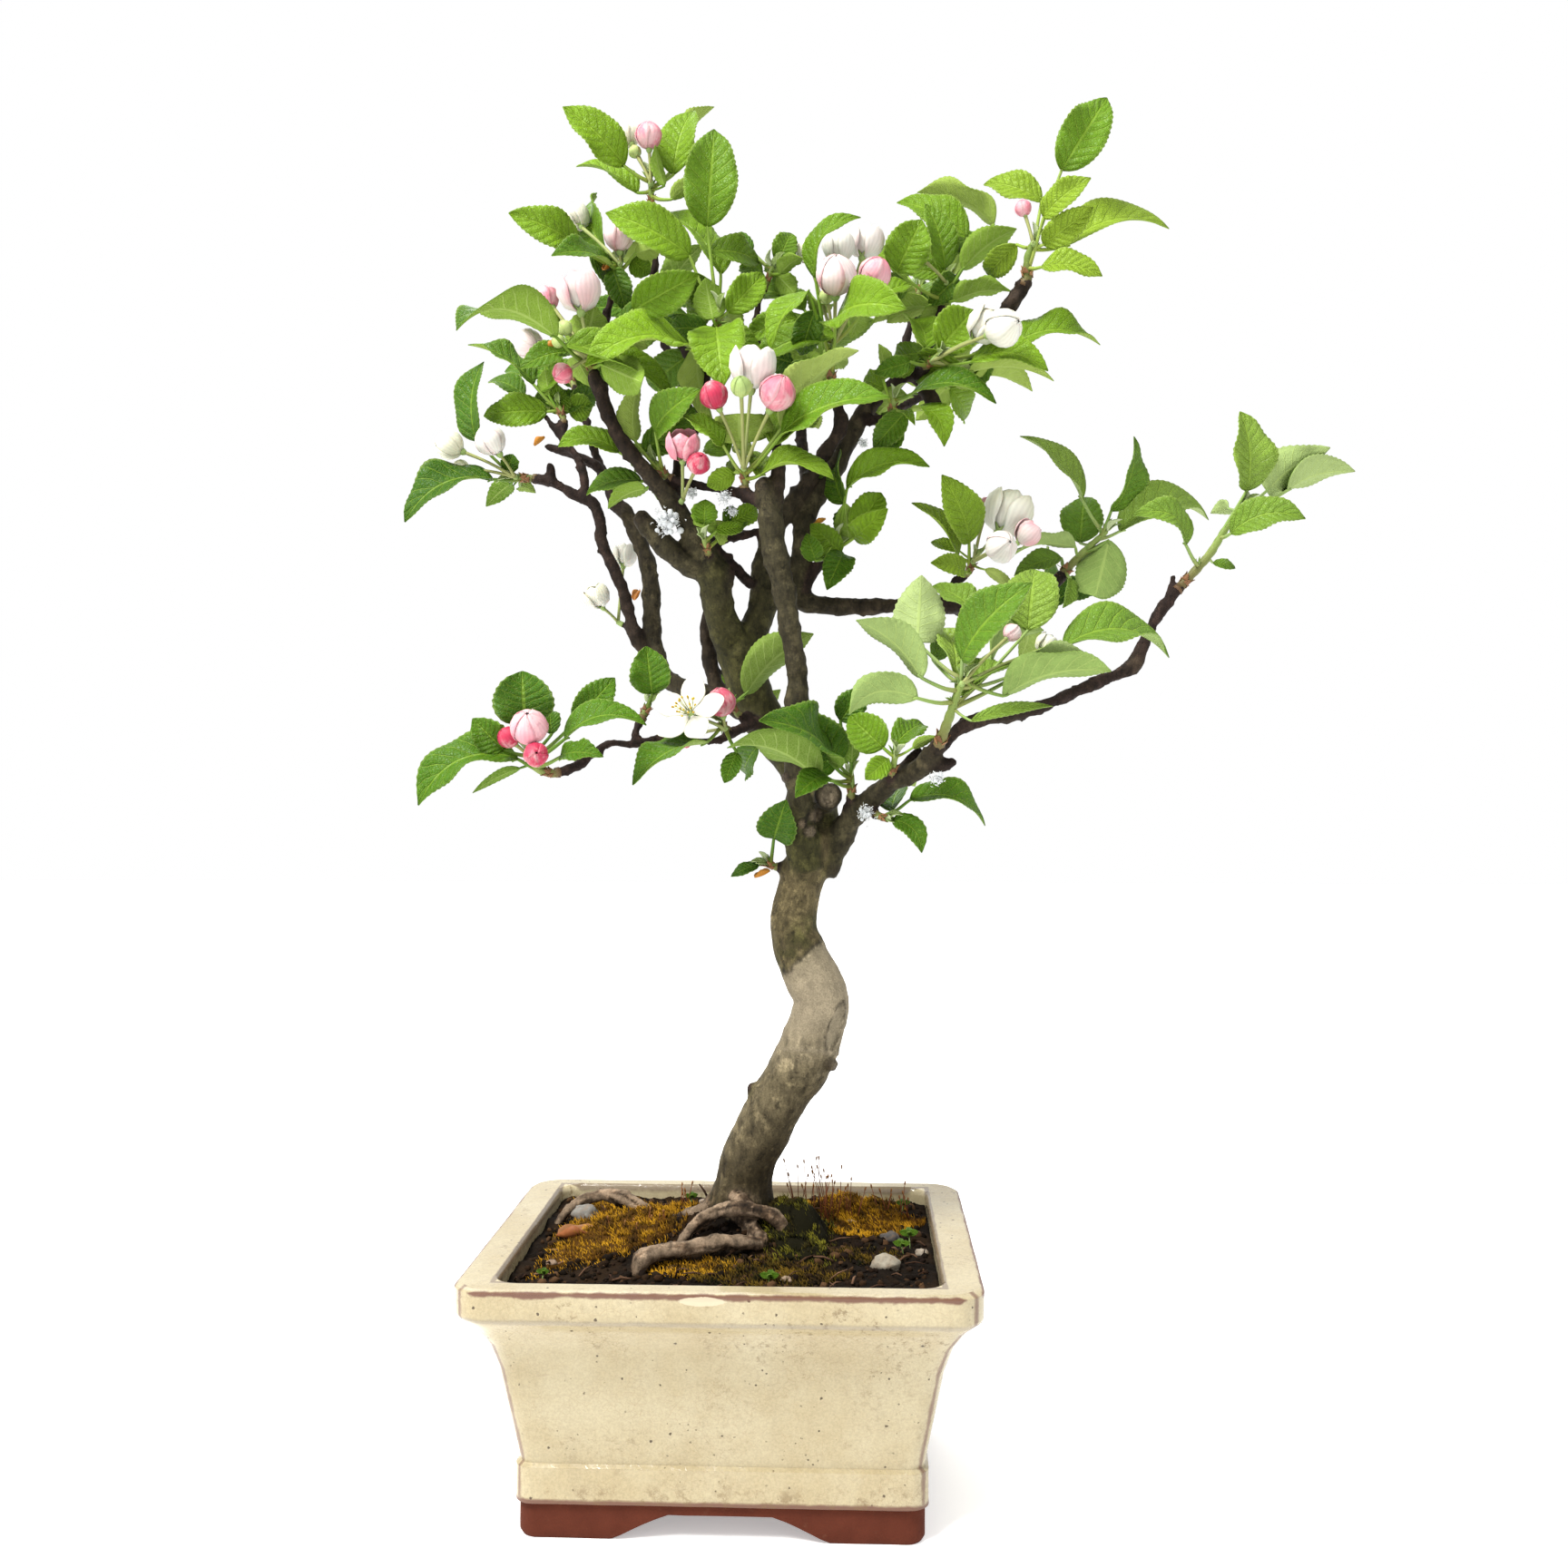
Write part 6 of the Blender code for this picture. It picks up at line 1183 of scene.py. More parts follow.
def make_looks():
    return {
        "top": leaf_look("leaf_top", True),
        "under": leaf_look("leaf_under", False),
        "stalk": plain_look("stalk", 0.55, 1.2, 0.12, 0.85, 1.15, Specular_IOR_Level=0.2),
        "petal": petal_look(),
        "bark": bark_look(),
        "glaze": glaze_look(),
        "clay": clay_look(),
        "soil": plain_look("soil", 0.95, 1.4, 0.7, 0.35, 1.9, Specular_IOR_Level=0.06),
        "moss": plain_look("moss", 0.85, 0.8, 0.2, 0.7, 1.3, Specular_IOR_Level=0.06),
        "stone": plain_look("stone", 0.8, 1.8, 0.6, 0.42, 1.3, Specular_IOR_Level=0.2),
        "wool": plain_look("wool", 0.95, 0.6, 0.1, 0.9, 1.1),
        "plastic": plain_look("screen_plastic", 0.5, 0.9, 0.08, 0.8, 1.2),
    }


# Which of the tried places each leaf and flower took, read off the solid it stands in for

class Solid:
    """The points and faces of a node, to find where a leaf or a flower of it was put."""

    def __init__(self, node):
        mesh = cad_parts[node].data
        points = [(v.co - POT_MIDDLE) / MM for v in mesh.vertices]
        self.tree = KDTree(len(points))
        for i, point in enumerate(points):
            self.tree.insert(point, i)
        self.tree.balance()
        self.faces = BVHTree.FromPolygons(points, [tuple(p.vertices) for p in mesh.polygons])

    def has(self, point):
        return self.tree.find(point)[2] < SAME_WITHIN

    def off(self, point):
        return self.faces.find_nearest(point)[3]


def along_curve(start, bend, end, share):
    return start * (1 - share) ** 2 + bend * (2 * share * (1 - share)) + end * share ** 2


def blade_axes(base, tip, apparent, side, real):
    """The blade's upper-face direction, and the direction across the view that is mostly up."""
    axis = (tip - base).normalized()
    view = (EYE - (base + tip) / 2).normalized()
    view = (view - axis * view.dot(axis)).normalized()
    across = axis.cross(view)
    if abs(across.z) > 0.35:
        across *= math.copysign(1.0, across.z)
    else:
        across *= math.copysign(1.0, across.x * (base.x - CROWN_MIDDLE_X))
    facing = min(apparent / real, 1.0)
    turned = math.sqrt(1.0 - facing ** 2)
    toward = view if side == "T" else -view
    return toward * facing + across * turned, across


def nearest_on(stem, point, turn, lower):
    """The place on the stem's line nearest to the point, or a share of the way below it."""
    best = None
    step = 0.09 * (turn % 5)
    below = 0.0
    for i in range(1, len(stem) - 1):
        a, b = stem[i], stem[i + 1]
        share = (point - a).dot(b - a) / (b - a).length_squared
        share = min(max(share, step), 0.88 - step if i == len(stem) - 2 else 1.0 - step)
        away = (point - a.lerp(b, share)).length
        if best is None or away < best[0]:
            best = (away, below + (b - a).length * share)
        below += (b - a).length
    reach = best[1] * (1.0 - lower)
    for a, b in zip(stem[1:], stem[2:]):
        if reach <= (b - a).length:
            break
        reach -= (b - a).length
    spot = a + (b - a).normalized() * reach
    return spot + (point - spot).normalized() * 0.3


def leaf_places(stem, row, turn, shift, lower):
    """(root, base, tip) of a leaf, its tip moved in depth by the shift and its root down the stem."""
    tip_x, tip_z, tip_depth, base_x, base_z = row[:5]
    crown = seen(stem[-1])
    tip_depth += shift
    run = math.dist((tip_x, tip_z), crown[:2])
    share = min(math.dist((base_x, base_z), crown[:2]) / run, 0.9)
    tip = place(tip_x, tip_z, tip_depth)
    base = place(base_x, base_z, crown[2] + (tip_depth - crown[2]) * share)
    return nearest_on(stem, base, turn, lower), base, tip


def found_places(solid, stem, row, turn):
    """The places of the leaf that the solid has, or its first ones where it has none."""
    for shift in SHIFTS:
        spots = leaf_places(stem, row, turn, shift, 0.0)
        if solid.has(spots[2]):
            tried = [leaf_places(stem, row, turn, shift, lower) for lower in (0.0, 0.4, 0.8)]
            return min(tried, key=lambda s: solid.off(s[0].lerp(s[1], 0.5)))
    return leaf_places(stem, row, turn, 0, 0.0)


# Leaves

LEAF_COLUMNS = np.array([-1.0, -0.7, -0.34, 0.0, 0.34, 0.7, 1.0])


def leaf_outline(u):
    """The half-width at a share of the blade's length, widest a little before its middle."""
    return u ** 0.62 * (1.0 - u) ** 0.92 / 0.3529


def blade(form, base, tip, shape, rng, tone, under):
    """One leaf blade: folded along its midrib, toothed and waved at its margin."""
    apparent, side, bow, real = (*shape, 0.0, None)[:4]
    length = (tip - base).length
    real = real or min(max(apparent, 0.5 * length), 2.2 * apparent, 24.0)
    upper, across = blade_axes(base, tip, apparent, side, real)
    bend = (base + tip) / 2 + across * (2 * bow) + upper * (2 * ARCH * length)
    rows = max(8, 2 * round(length / 2.1)) + 1
    phase = rng.uniform(0, math.tau)
    waves = rng.uniform(1.2, 2.2)
    ripple = rng.uniform(0.05, 0.13)
    lean = rng.uniform(-0.35, 0.35)
    w = np.abs(LEAF_COLUMNS)
    margin = w > 0.95
    grid, uvs, thick = [], [], []
    for i in range(rows):
        u = i / (rows - 1)
        inner = min(max(u, 0.004), 0.994)
        half = real / 2 * leaf_outline(inner)
        tooth = min(0.5, 0.11 * half) * (i % 2) * math.sin(math.pi * inner) ** 0.4
        tangent = ((bend - base) * (1 - u) + (tip - bend) * u).normalized()
        normal = (upper - tangent * upper.dot(tangent)).normalized()
        normal = (Matrix.Rotation(lean * (u - 0.3), 3, tangent) @ normal).normalized()
        out = normal.cross(tangent)
        spread = LEAF_COLUMNS * (half + tooth * margin)
        swing = math.sin(math.tau * waves * u + phase) * np.sign(LEAF_COLUMNS)
        lift = FOLD * half * w ** 1.25 + ripple * half * 1.6 * w ** 3 * swing
        lift += 0.1 * half * w ** 4 * math.sin(5.3 * waves * u + 2 * phase)
        centre = np.array(along_curve(base, bend, tip, u) + tangent * (tooth * 0.5))
        grid.append(centre + np.outer(spread, out) + np.outer(lift, normal))
        uvs.append(np.stack([np.full(len(w), u), LEAF_COLUMNS * 0.5 + 0.5], axis=1))
        thick.append(0.34 + 0.7 * (1 - w) ** 4 * (1 - u) ** 0.7)
    slab(form, grid, np.array(thick), (0, 1), tone, under, uvs)


def petiole(form, root, base, tip, tone, wide=0.85):
    """A leaf's stalk, running on under the blade as the start of its midrib."""
    run = (base - root).length
    sag = UP * min(1.5, 0.06 * run)
    path = [root, (root * 2 + base) / 3 - sag * 0.9, (root + base * 2) / 3 - sag * 0.7, base,
            base.lerp(tip, 0.06)]
    path, radii = smooth_path(path, [wide * 1.35, wide, wide * 0.9, wide * 0.8, 0.35], 3.5)
    count = len(path)
    tones = [mixed(mixed(tone, STALK_RED, 0.35), tone, min(1.0, 2.5 * i / count))
             for i in range(count)]
    tube(form, path, radii, 6, 2, tones=tones)


def bud_scales(form, path, wide, rng):
    """Dry brown scales round the foot of a leafy shoot."""
    along, side, other = axes_of((path[2] - path[1]).normalized())
    for k in range(7):
        out = spoke(side, other, GOLDEN_ANGLE * k + rng.uniform(-0.3, 0.3))
        start = path[1] + along * (0.5 * k) + out * (wide * 0.75)
        reach = rng.uniform(1.8, 3.4)
        skew = along.cross(out)
        grid = []
        for i in range(4):
            u = i / 3
            middle = start + along * (reach * u) + out * (0.9 * u * u)
            half = wide * 0.6 * (1 - u) ** 0.7 + 0.08
            grid.append([tuple(middle + skew * (half * v) - out * (0.3 * v * v))
                         for v in (-1, -0.3, 0.3, 1)])
        tone = mixed(*SCALE_TONES, rng.random())
        slab(form, grid, 0.3, (2, 2), tone)


def stipules(form, root, base, rng, tone):
    """Two slim leaflets at a stalk's foot."""
    out = (base - root).normalized()
    for turn in (-0.5, 0.5):
        skew = out.orthogonal().normalized() if turn < 0 else out.cross(out.orthogonal()).normalized()
        way = (out * 0.8 + skew * turn + UP * 0.35).normalized()
        reach = rng.uniform(4.0, 7.5)
        side = way.cross(skew).normalized()
        grid = []
        for i in range(5):
            u = i / 4
            middle = root + way * (reach * u) - UP * (1.2 * u * u)
            half = 0.55 * math.sin(math.pi * (0.12 + 0.86 * u))
            grid.append([tuple(middle + side * (half * v)) for v in (-1, 0, 1)])
        slab(form, grid, 0.28, (2, 2), tone)


def leaf_tones(name, rng):
    """The colours of a leaf's upper face and of its underside."""
    tones = next(tones for shoots, tones in LEAF_TONES if name in shoots or not shoots)
    fresh, pale = rng.random(), rng.random()
    return mixed(tones[0], tones[1], fresh), mixed(tones[2], tones[3], pale)


def companion(form, root, base, tip, name, rng):
    """A smaller leaf beside and behind another one, leaning in towards the crown's middle."""
    heart = place(*CROWN_HEART) + Vector([rng.uniform(-25.0, 25.0) for _ in range(3)])
    length = (tip - base).length * rng.uniform(0.6, 0.85)
    way = (tip - base).normalized() * 0.5 + (heart - base).normalized() * 0.75 + AWAY * 0.3 + UP * 0.1
    start = base.lerp(root, 0.25) + AWAY * rng.uniform(1.0, 3.0)
    top, under = leaf_tones(name, rng)
    top = mixed(top, SHADE_GREEN, 0.3)
    tip = start + way.normalized() * length
    blade(form, start, tip, (rng.uniform(9.0, 14.0), rng.choice("UTT")), rng, top, under)
    petiole(form, root, start, tip, mixed(under, top, 0.4), 0.7)


def trimmed(path):
    """The points of a stretch of wood that ends in a shoot, cut back to make room for its stem."""
    points = [place(*p[:3]) for p in path]
    last = points[-1] - points[-2]
    points[-1] = points[-1] - last.normalized() * min(STEM_START, 0.5 * last.length)
    return points


def end_of(path):
    """The end of a stretch of wood, its direction there and its radius."""
    points = trimmed(path)
    return points[-1], (points[-1] - points[-2]).normalized(), path[-1][3]


def rear_rows(path, count):
    """Leaves for a shoot that the viewer hardly sees, fanned out by the golden angle."""
    end, along, _ = end_of(path)
    _, side, other = axes_of(along)
    crown = end + along * REAR_STEM
    rows = []
    for k in range(count):
        lean = math.radians(48 + 12 * (k % 3))
        out = spoke(side, other, GOLDEN_ANGLE * k)
        reach = (spoke(along, out, lean) + AWAY * 0.25).normalized()
        length = REAR_LEAF * (0.82 + 0.1 * (k % 4))
        base = seen(crown + reach * 9)
        tip = seen(crown + reach * (9 + length))
        rows.append((*tip, base[0], base[1], 9 + 2 * (k % 3), "UT"[k % 2]))
    return rows


def shoot_table():
    table = dict(SHOOTS)
    for name, (wood, count) in REAR_SHOOTS.items():
        end, along, _ = end_of(BRANCHES[wood])
        table[name] = (wood, (seen(end + along * REAR_STEM),), rear_rows(BRANCHES[wood], count))
    return table


def grow_shoot(name, wood, points, rows, looks):
    end, along, radius = end_of(BRANCHES[wood])
    path = [end + along * CLEAR, end + along * (CLEAR + 1.5)] + [place(*p) for p in points]
    steps = len(path) - 1
    radii = [radius + (STEM_TIP - radius) * i / steps for i in range(steps + 1)]
    rng = random.Random(name)
    form = Form()
    fine, wide = smooth_path(path, radii, STEM_STEP)
    fine.insert(0, end - along * 1.5)
    wide.insert(0, radius * 0.96)
    wide[-1] *= 0.75
    wide[2:] = [max(r * 0.86, 0.9) for r in wide[2:]]
    green = mixed(*STEM_GREENS, rng.random())
    count = len(fine)
    tones = [mixed(STEM_FOOT, green, min(1.0, 1.7 * i / count)) for i in range(count)]
    knots = [1.0 + 0.1 * math.sin(2.1 * i + len(name)) for i in range(count)]
    tube(form, fine, [r * k for r, k in zip(wide, knots)], 8, 2, tones=tones)
    bud_scales(form, path, radius, rng)
    solid = Solid(name)
    filler = random.Random("filler " + name)
    for turn, row in enumerate(rows):
        root, base, tip = found_places(solid, path, row, turn)
        top, under = leaf_tones(name, rng)
        blade(form, base, tip, row[5:], rng, top, under)
        petiole(form, root, base, tip, mixed(under, top, 0.4))
        if turn % 2 == 0:
            stipules(form, root, base, rng, mixed(under, top, 0.5))
        if name not in BARE_SHOOTS and seen(base)[1] > CROWN_LOW:
            companion(form, root, base, tip, name, filler)
    for turn, row in enumerate(TINY_LEAVES.get(name, ())):
        root, base, tip = leaf_places(path, row, turn, 0, 0.0)
        top, under = leaf_tones(name, rng)
        blade(form, base, tip, (*row[5:7], 0.0, row[5] * 1.1), rng, top, under)
        petiole(form, root, base, tip, mixed(under, top, 0.4), 0.6)
    heart, side, other = axes_of((path[-1] - path[-2]).normalized())
    for k in range(3):
        out = spoke(side, other, GOLDEN_ANGLE * k)
        base = path[-1] + out * 0.5
        tip = base + (heart + out * 0.45).normalized() * rng.uniform(5, 9)
        blade(form, base, tip, (2.2, "TU"[k % 2]), rng, *YOUNG_LEAF)
    piece = form.object("leaves_" + name[6:], [looks["top"], looks["under"], looks["stalk"]])
    dress(piece, "leaf", name)
    last = path[-1] - path[-2]
    toward = EYE - path[-1]
    toward = (toward - last * toward.dot(last) / last.length_squared).normalized()
    return path[-2].lerp(path[-1], 0.75) + toward * STEM_TIP * 1.15, toward, 1.3


# Flowers

def petal(form, centre, axes, radius, profile, turn, half_angle, tones, rng, layer, notch):
    """A petal bent round the flower's axis: profile gives (reach, rise) along it."""
    aim, side, other = axes
    grid, colours, uvs = [], [], []
    reaches = [reach * radius for reach, _ in profile]
    rises = [rise * radius for _, rise in profile]
    stops = np.linspace(0, 1, len(profile))
    wave = rng.uniform(0, 6.28)
    for i in range(PETAL_GRID):
        line, colour_line, uv_line = [], [], []
        for k in range(PETAL_GRID):
            t = 2 * k / (PETAL_GRID - 1) - 1
            s = i / (PETAL_GRID - 1)
            s_here = s * (1 - notch * abs(t) ** 2.2)
            reach = np.interp(s_here, stops, reaches) + layer * radius * (1 + t) * 0.5
            rise = np.interp(s_here, stops, rises)
            angle = turn + t * half_angle * (0.35 + 0.65 * math.sin(math.pi * (0.1 + 0.75 * s)))
            ruffle = 1 + 0.03 * math.sin(5 * t + wave) * s
            out = spoke(side, other, angle)
            line.append(tuple(centre + aim * (rise * ruffle) + out * (reach * ruffle)))
            blotch = 0.5 + 0.5 * math.sin(2.6 * t + wave) * math.sin(4.2 * s + 1.7 * wave)
            edge = 0.3 * abs(t) ** 5 + 0.5 * blotch * blotch
            colour_line.append(mixed(mixed(tones[0], tones[1], s), tones[2], edge))
            uv_line.append((s, t * 0.5 + 0.5))
        grid.append(line)
        colours.append(colour_line)
        uvs.append(uv_line)
    slab(form, grid, 0.26, (0, 0), colours, None, uvs)


def calyx(form, foot, axes, radius, spread):
    """The swollen green cup under a flower and its five pointed sepals."""
    aim, side, other = axes
    ball(form, foot + aim * (0.12 * radius), aim, 0.55 * radius, 0.36 * radius, 6, 8, 1, SEPAL)
    for k in range(5):
        angle = math.tau * (k + 0.5) / 5
        out = spoke(side, other, angle)
        skew = aim.cross(out)
        grid = []
        for i in range(5):
            u = i / 4
            reach = radius * (0.3 + (0.62 if spread < 1 else 0.75) * u * spread)
            rise = radius * (0.15 + 0.95 * u * (1.15 - spread) - 0.25 * u * u * spread)
            half = radius * 0.24 * (1 - u) ** 0.8 + 0.06
            middle = foot + aim * rise + out * reach
            grid.append([tuple(middle + skew * (half * v)) for v in (-1, 0, 1)])
        slab(form, grid, 0.3, (1, 1), mixed(SEPAL, SEPAL_PALE, 0.3 * (k % 2)))


def pedicel(form, root, foot, redness):
    """A flower's stalk."""
    run = foot - root
    path = [root, root + run * 0.5 + UP * min(0.8, 0.04 * run.length), foot]
    path, radii = smooth_path(path, [0.85, 0.7, 0.85], 3.0)
    tube(form, path, radii, 6, 1, mixed(SEPAL, PEDICEL_RED, redness))


def stamens(form, centre, axes, radius, count, rng, reach):
    aim, side, other = axes
    for k in range(count):
        lean = 0.15 + 0.55 * (k / count)
        out = spoke(side, other, GOLDEN_ANGLE * k)
        way = spoke(aim, out, lean).normalized()
        long = radius * reach * rng.uniform(0.8, 1.15)
        start = centre + out * (0.08 * radius)
        tip = start + way * long
        path = [start, start.lerp(tip, 0.5) + out * 0.15, tip]
        tube(form, path, [0.2, 0.16, 0.15], 4, 1, FILAMENT)
        ball(form, tip, way, 0.75, 0.5, 4, 6, 1, mixed(*ANTHER_TONES, rng.random()))


def fine_bud(form, root, centre, radius, aim, colours, rng):
    """A balloon bud: five petals wrapped round each other above a green calyx."""
    axes = axes_of(aim)
    start = rng.uniform(0, 6.28)
    for k in range(5):
        petal(form, centre, axes, radius, BUD_PETAL, start + math.tau * k / 5, 1.08, colours, rng,
              0.13, 0.06)
    foot = centre - aim * (radius * 1.05)
    calyx(form, foot, axes, max(0.8 * radius, 2.0), 0.55)
    pedicel(form, root, foot, 0.35)


def fine_cup(form, root, centre, radius, aim, colours, rng):
    """A half-open flower: rounded petals still cupped, in two layers."""
    axes = axes_of(aim)
    for k in range(5):
        petal(form, centre, axes, radius, CUP_PETALS[k % 2], math.tau * k / 5, 1.08, colours, rng,
              0.07, 0.12)
    stamens(form, centre - aim * (0.5 * radius), axes, radius, 9, rng, 0.9)
    foot = centre - aim * radius
    calyx(form, foot, axes, 0.62 * radius, 0.6)
    pedicel(form, root, foot, 0.25)


def fine_open(form, root, centre, radius, aim, colours, rng):
    """An open flower: five broad petals round a brush of yellow-tipped stamens."""
    axes = axes_of(aim)
    for k in range(5):
        petal(form, centre + aim * (0.25 * (k % 2)), axes, radius, OPEN_PETAL, math.tau * k / 5, 0.66,
              colours, rng, 0.0, 0.24)
    stamens(form, centre, axes, radius, 20, rng, 0.42)
    foot = centre - aim * (0.3 * radius)
    calyx(form, foot, axes, 0.36 * radius, 0.9)
    pedicel(form, root, foot, 0.25)


FLOWER_KINDS = {"bud": fine_bud, "cup": fine_cup, "open": fine_open}


def grow_bunch(name, origin, flowers, ends, looks):
    if origin in BRANCHES:
        end, along, radius = end_of(BRANCHES[origin])
    else:
        end, along, radius = ends[origin]
    start = end + along * CLEAR
    top = start + along * 2.6
    rng = random.Random(name)
    form = Form()
    tube(form, [end - along * 0.6, start, top], [min(radius, 1.3), 1.3, 1.2], 8, 1, SEPAL)
    solid = Solid(name)
    for n, row in enumerate(flowers):
        x, z, depth, size, kind = row[:5]
        facing = row[5] if len(row) > 5 else None
        colours = BLOSSOM_COLOURS[name][n]
        root = start.lerp(top, 0.8 + 0.04 * n)
        for shift in SHIFTS:
            centre = place(x, z, depth + shift)
            if facing:
                aim = (RIGHT * facing[0] + UP * facing[1] + AWAY * facing[2]).normalized()
            elif kind == "bud":
                aim = (centre - root).normalized()
            else:
                aim = ((centre - root).normalized() + UP * 0.4).normalized()
            mark = centre + aim * (size * (1.15 if kind == "bud" else 0.3))
            if solid.has(mark):
                break
        FLOWER_KINDS[kind](form, root, centre, size, aim, colours, rng)
    dress(form.object(name[8:] + "_blossom", [looks["petal"], looks["stalk"]]), "petal", name)


# Wood

def wood_paths():
    bearing = {row[0] for table in (SHOOTS, REAR_SHOOTS, BUNCHES) for row in table.values()}
    paths = [("trunk", [place(*p[:3]) for p in TRUNK], [p[3] for p in TRUNK])]
    for name, path in BRANCHES.items():
        points = trimmed(path) if name in bearing else [place(*p[:3]) for p in path]
        paths.append((name, points, [p[3] for p in path]))
    for name, path in ROOTS.items():
        paths.append(("root_" + name, [place(*p[:3]) for p in path], [p[3] for p in path]))
    return paths


def knobbly(name, radii):
    """Swollen rings and a lopsided section, stronger on thin wood."""
    turn = sum(ord(c) for c in name)

    def bulge(i, angles):
        thin = 0.16 if name == "trunk" else 1.0 if radii[i] < 6.0 else 0.45
        ring = 0.07 * math.sin(0.9 * i + turn) + 0.06 * math.sin(2.3 * i + 2 * turn)
        oval = 0.05 * np.cos(2 * angles + 0.21 * i + turn) + 0.035 * np.cos(3 * angles - 0.4 * i)
        return 1.0 + thin * (ring + oval)
    return bulge


def add_spurs(form, path, radii, rng):
    """Short stubs and bud knobs along a bough."""
    for i in range(2, len(path) - 3):
        if rng.random() > 0.24 or radii[i] > 8.0:
            continue
        along, side, other = axes_of((path[i + 1] - path[i]).normalized())
        out = (spoke(side, other, rng.uniform(0, math.tau)) + along * 0.5).normalized()
        reach = radii[i] + rng.uniform(0.7, 2.2)
        wide = rng.uniform(1.1, 1.6)
        spur = [path[i], path[i] + out * (reach * 0.7), path[i] + out * reach]
        tube(form, spur, [wide, wide, wide * 0.7], 8)


def grow_wood(looks):
    form = Form()
    samples = []
    for name, points, radii in wood_paths():
        fine, wide = smooth_path(points, radii, WOOD_STEP)
        samples += [(p, r, name) for p, r in zip(fine, wide)]
        path = [fine[0] - (fine[1] - fine[0]) * 0.3] + fine
        closing = [wide[0] * 0.7] + wide
        last = (fine[-1] - fine[-2]).normalized()
        path += [fine[-1] + last * (0.45 * wide[-1]), fine[-1] + last * (0.7 * wide[-1])]
        closing += [wide[-1] * 0.8, wide[-1] * 0.35]
        closing = [r + 0.12 for r in closing]
        tube(form, path, closing, 14, bulge=knobbly(name, closing))
        if name in BRANCHES:
            add_spurs(form, fine, wide, random.Random("spurs " + name))
    wood = form.object("bark_of_trunk_and_boughs", [looks["bark"]])
    skin = wood.modifiers.new("Skin", "REMESH")
    skin.mode = "VOXEL"
    skin.voxel_size = WOOD_VOXEL * MM
    ease = wood.modifiers.new("Ease", "SMOOTH")
    ease.factor = 0.5
    ease.iterations = 2
    apply_modifiers(wood)
    weather(wood.data, samples)
    wood.data.shade_smooth()
    dress(wood, "bark", "wood")


def surface_of(mesh):
    """The mesh's points, in millimetres from the pot's foot, and its normals there."""
    places = np.empty(len(mesh.vertices) * 3)
    mesh.vertices.foreach_get("co", places)
    normals = np.empty(len(mesh.vertices) * 3)
    mesh.vertex_normals.foreach_get("vector", normals)
    return (places.reshape(-1, 3) - np.array(POT_MIDDLE)) / MM, normals.reshape(-1, 3)


def set_places(mesh, places):
    mesh.vertices.foreach_set("co", (places * MM + np.array(POT_MIDDLE)).ravel())
    mesh.update()


def surface_shares(places, samples):
    """For each point of the surface: girth, how far it is trunk and root, and nearest sample."""
    centres = np.array([tuple(p) for p, _, _ in samples])
    radii = np.array([r for _, r, _ in samples])
    trunk = np.array([name == "trunk" for _, _, name in samples], float)
    root = np.array([name.startswith("root") for _, _, name in samples], float)
    out = np.empty((len(places), 4))
    for start in range(0, len(places), BATCH):
        some = places[start:start + BATCH]
        reach = np.linalg.norm(some[:, None, :] - centres[None, :, :], axis=2)
        weight = np.exp(-((reach - radii) / 0.9) ** 2) + 1e-9 * np.exp(-reach / 4.0) + 1e-40
        total = weight.sum(axis=1)
        for n, values in enumerate((radii, trunk, root)):
            out[start:start + BATCH, n] = (weight * values).sum(axis=1) / total
        out[start:start + BATCH, 3] = (reach - radii).argmin(axis=1)
    return out


def fibre_lines(samples):
    """Each sample's centre, its way along the wood, and how far along all the wood it is."""
    lines = []
    for n, (centre, _, name) in enumerate(samples):
        beside = n + 1 if n + 1 < len(samples) and samples[n + 1][2] == name else n - 1
        lines.append((centre, (samples[beside][0] - centre).normalized(), WOOD_STEP * n))
    return lines


def fibre_at(point, line):
    """Noise drawn out along the wood: above nought in its fissures."""
    centre, way, run = line
    off = point - centre
    return fractal(off - way * off.dot(way) + RIGHT * (FIBRE_RUN * run), FIBRE_WIDTH, 4)


def weather(mesh, samples):
    """Pushes the wood's surface into bark, scars and knots, and colours it."""
    places, normals = surface_of(mesh)
    shares = surface_shares(places, samples)
    lines = fibre_lines(samples)
    tones = np.empty((len(places), 3), np.float32)
    for n, point in enumerate(map(Vector, places)):
        girth, trunk, root, nearest = shares[n]
        fibre = fibre_at(point, lines[int(nearest)])
        x, z, _ = seen(point)
        lumps = fractal(point, 8.0)
        grain = fractal(Vector((point.x, point.y, point.z * 0.5)), 2.4, 4)
        thin = 1.0 - smooth_step(3.0, 9.0, girth)
        push = (0.16 + 0.32 * thin + 0.2 * root) * lumps + (0.1 + 0.26 * thin + 0.2 * root) * grain
        push -= (0.4 * root + 0.12 * trunk) * smooth_step(0.0, 0.5, fibre)
        tone = wood_tone(girth, trunk, root, x, z, lumps, grain, fibre)
        if AWAY.dot(Vector(normals[n])) < 0.1:
            for sx, sz, rx, rz, lean, rise, rim, colour in SCARS:
                off = math.hypot((x - sx - lean * (z - sz)) / rx, (z - sz) / rz)
                if off < 1.35:
                    flat = 1.0 - smooth_step(0.75, 1.1, off)
                    edge = math.exp(-((off - 1.0) / 0.16) ** 2)
                    push += rise * flat + rim * edge
                    tone = mixed(mixed(tone, colour, 0.75 * flat), DARK_BARK, 0.6 * edge)
        if trunk > 0.5:
            ring = math.exp(-((z - RING_Z - RING_SLOPE * (x - PALE_MIDDLE_X) - 0.8 * lumps) / 1.1) ** 2)
            push += 0.45 * ring
            tone = mixed(tone, PALE_BARK, 0.55 * ring)
        places[n] += normals[n] * push
        tones[n] = tone
    set_places(mesh, places)
    set_tones(mesh, tones)


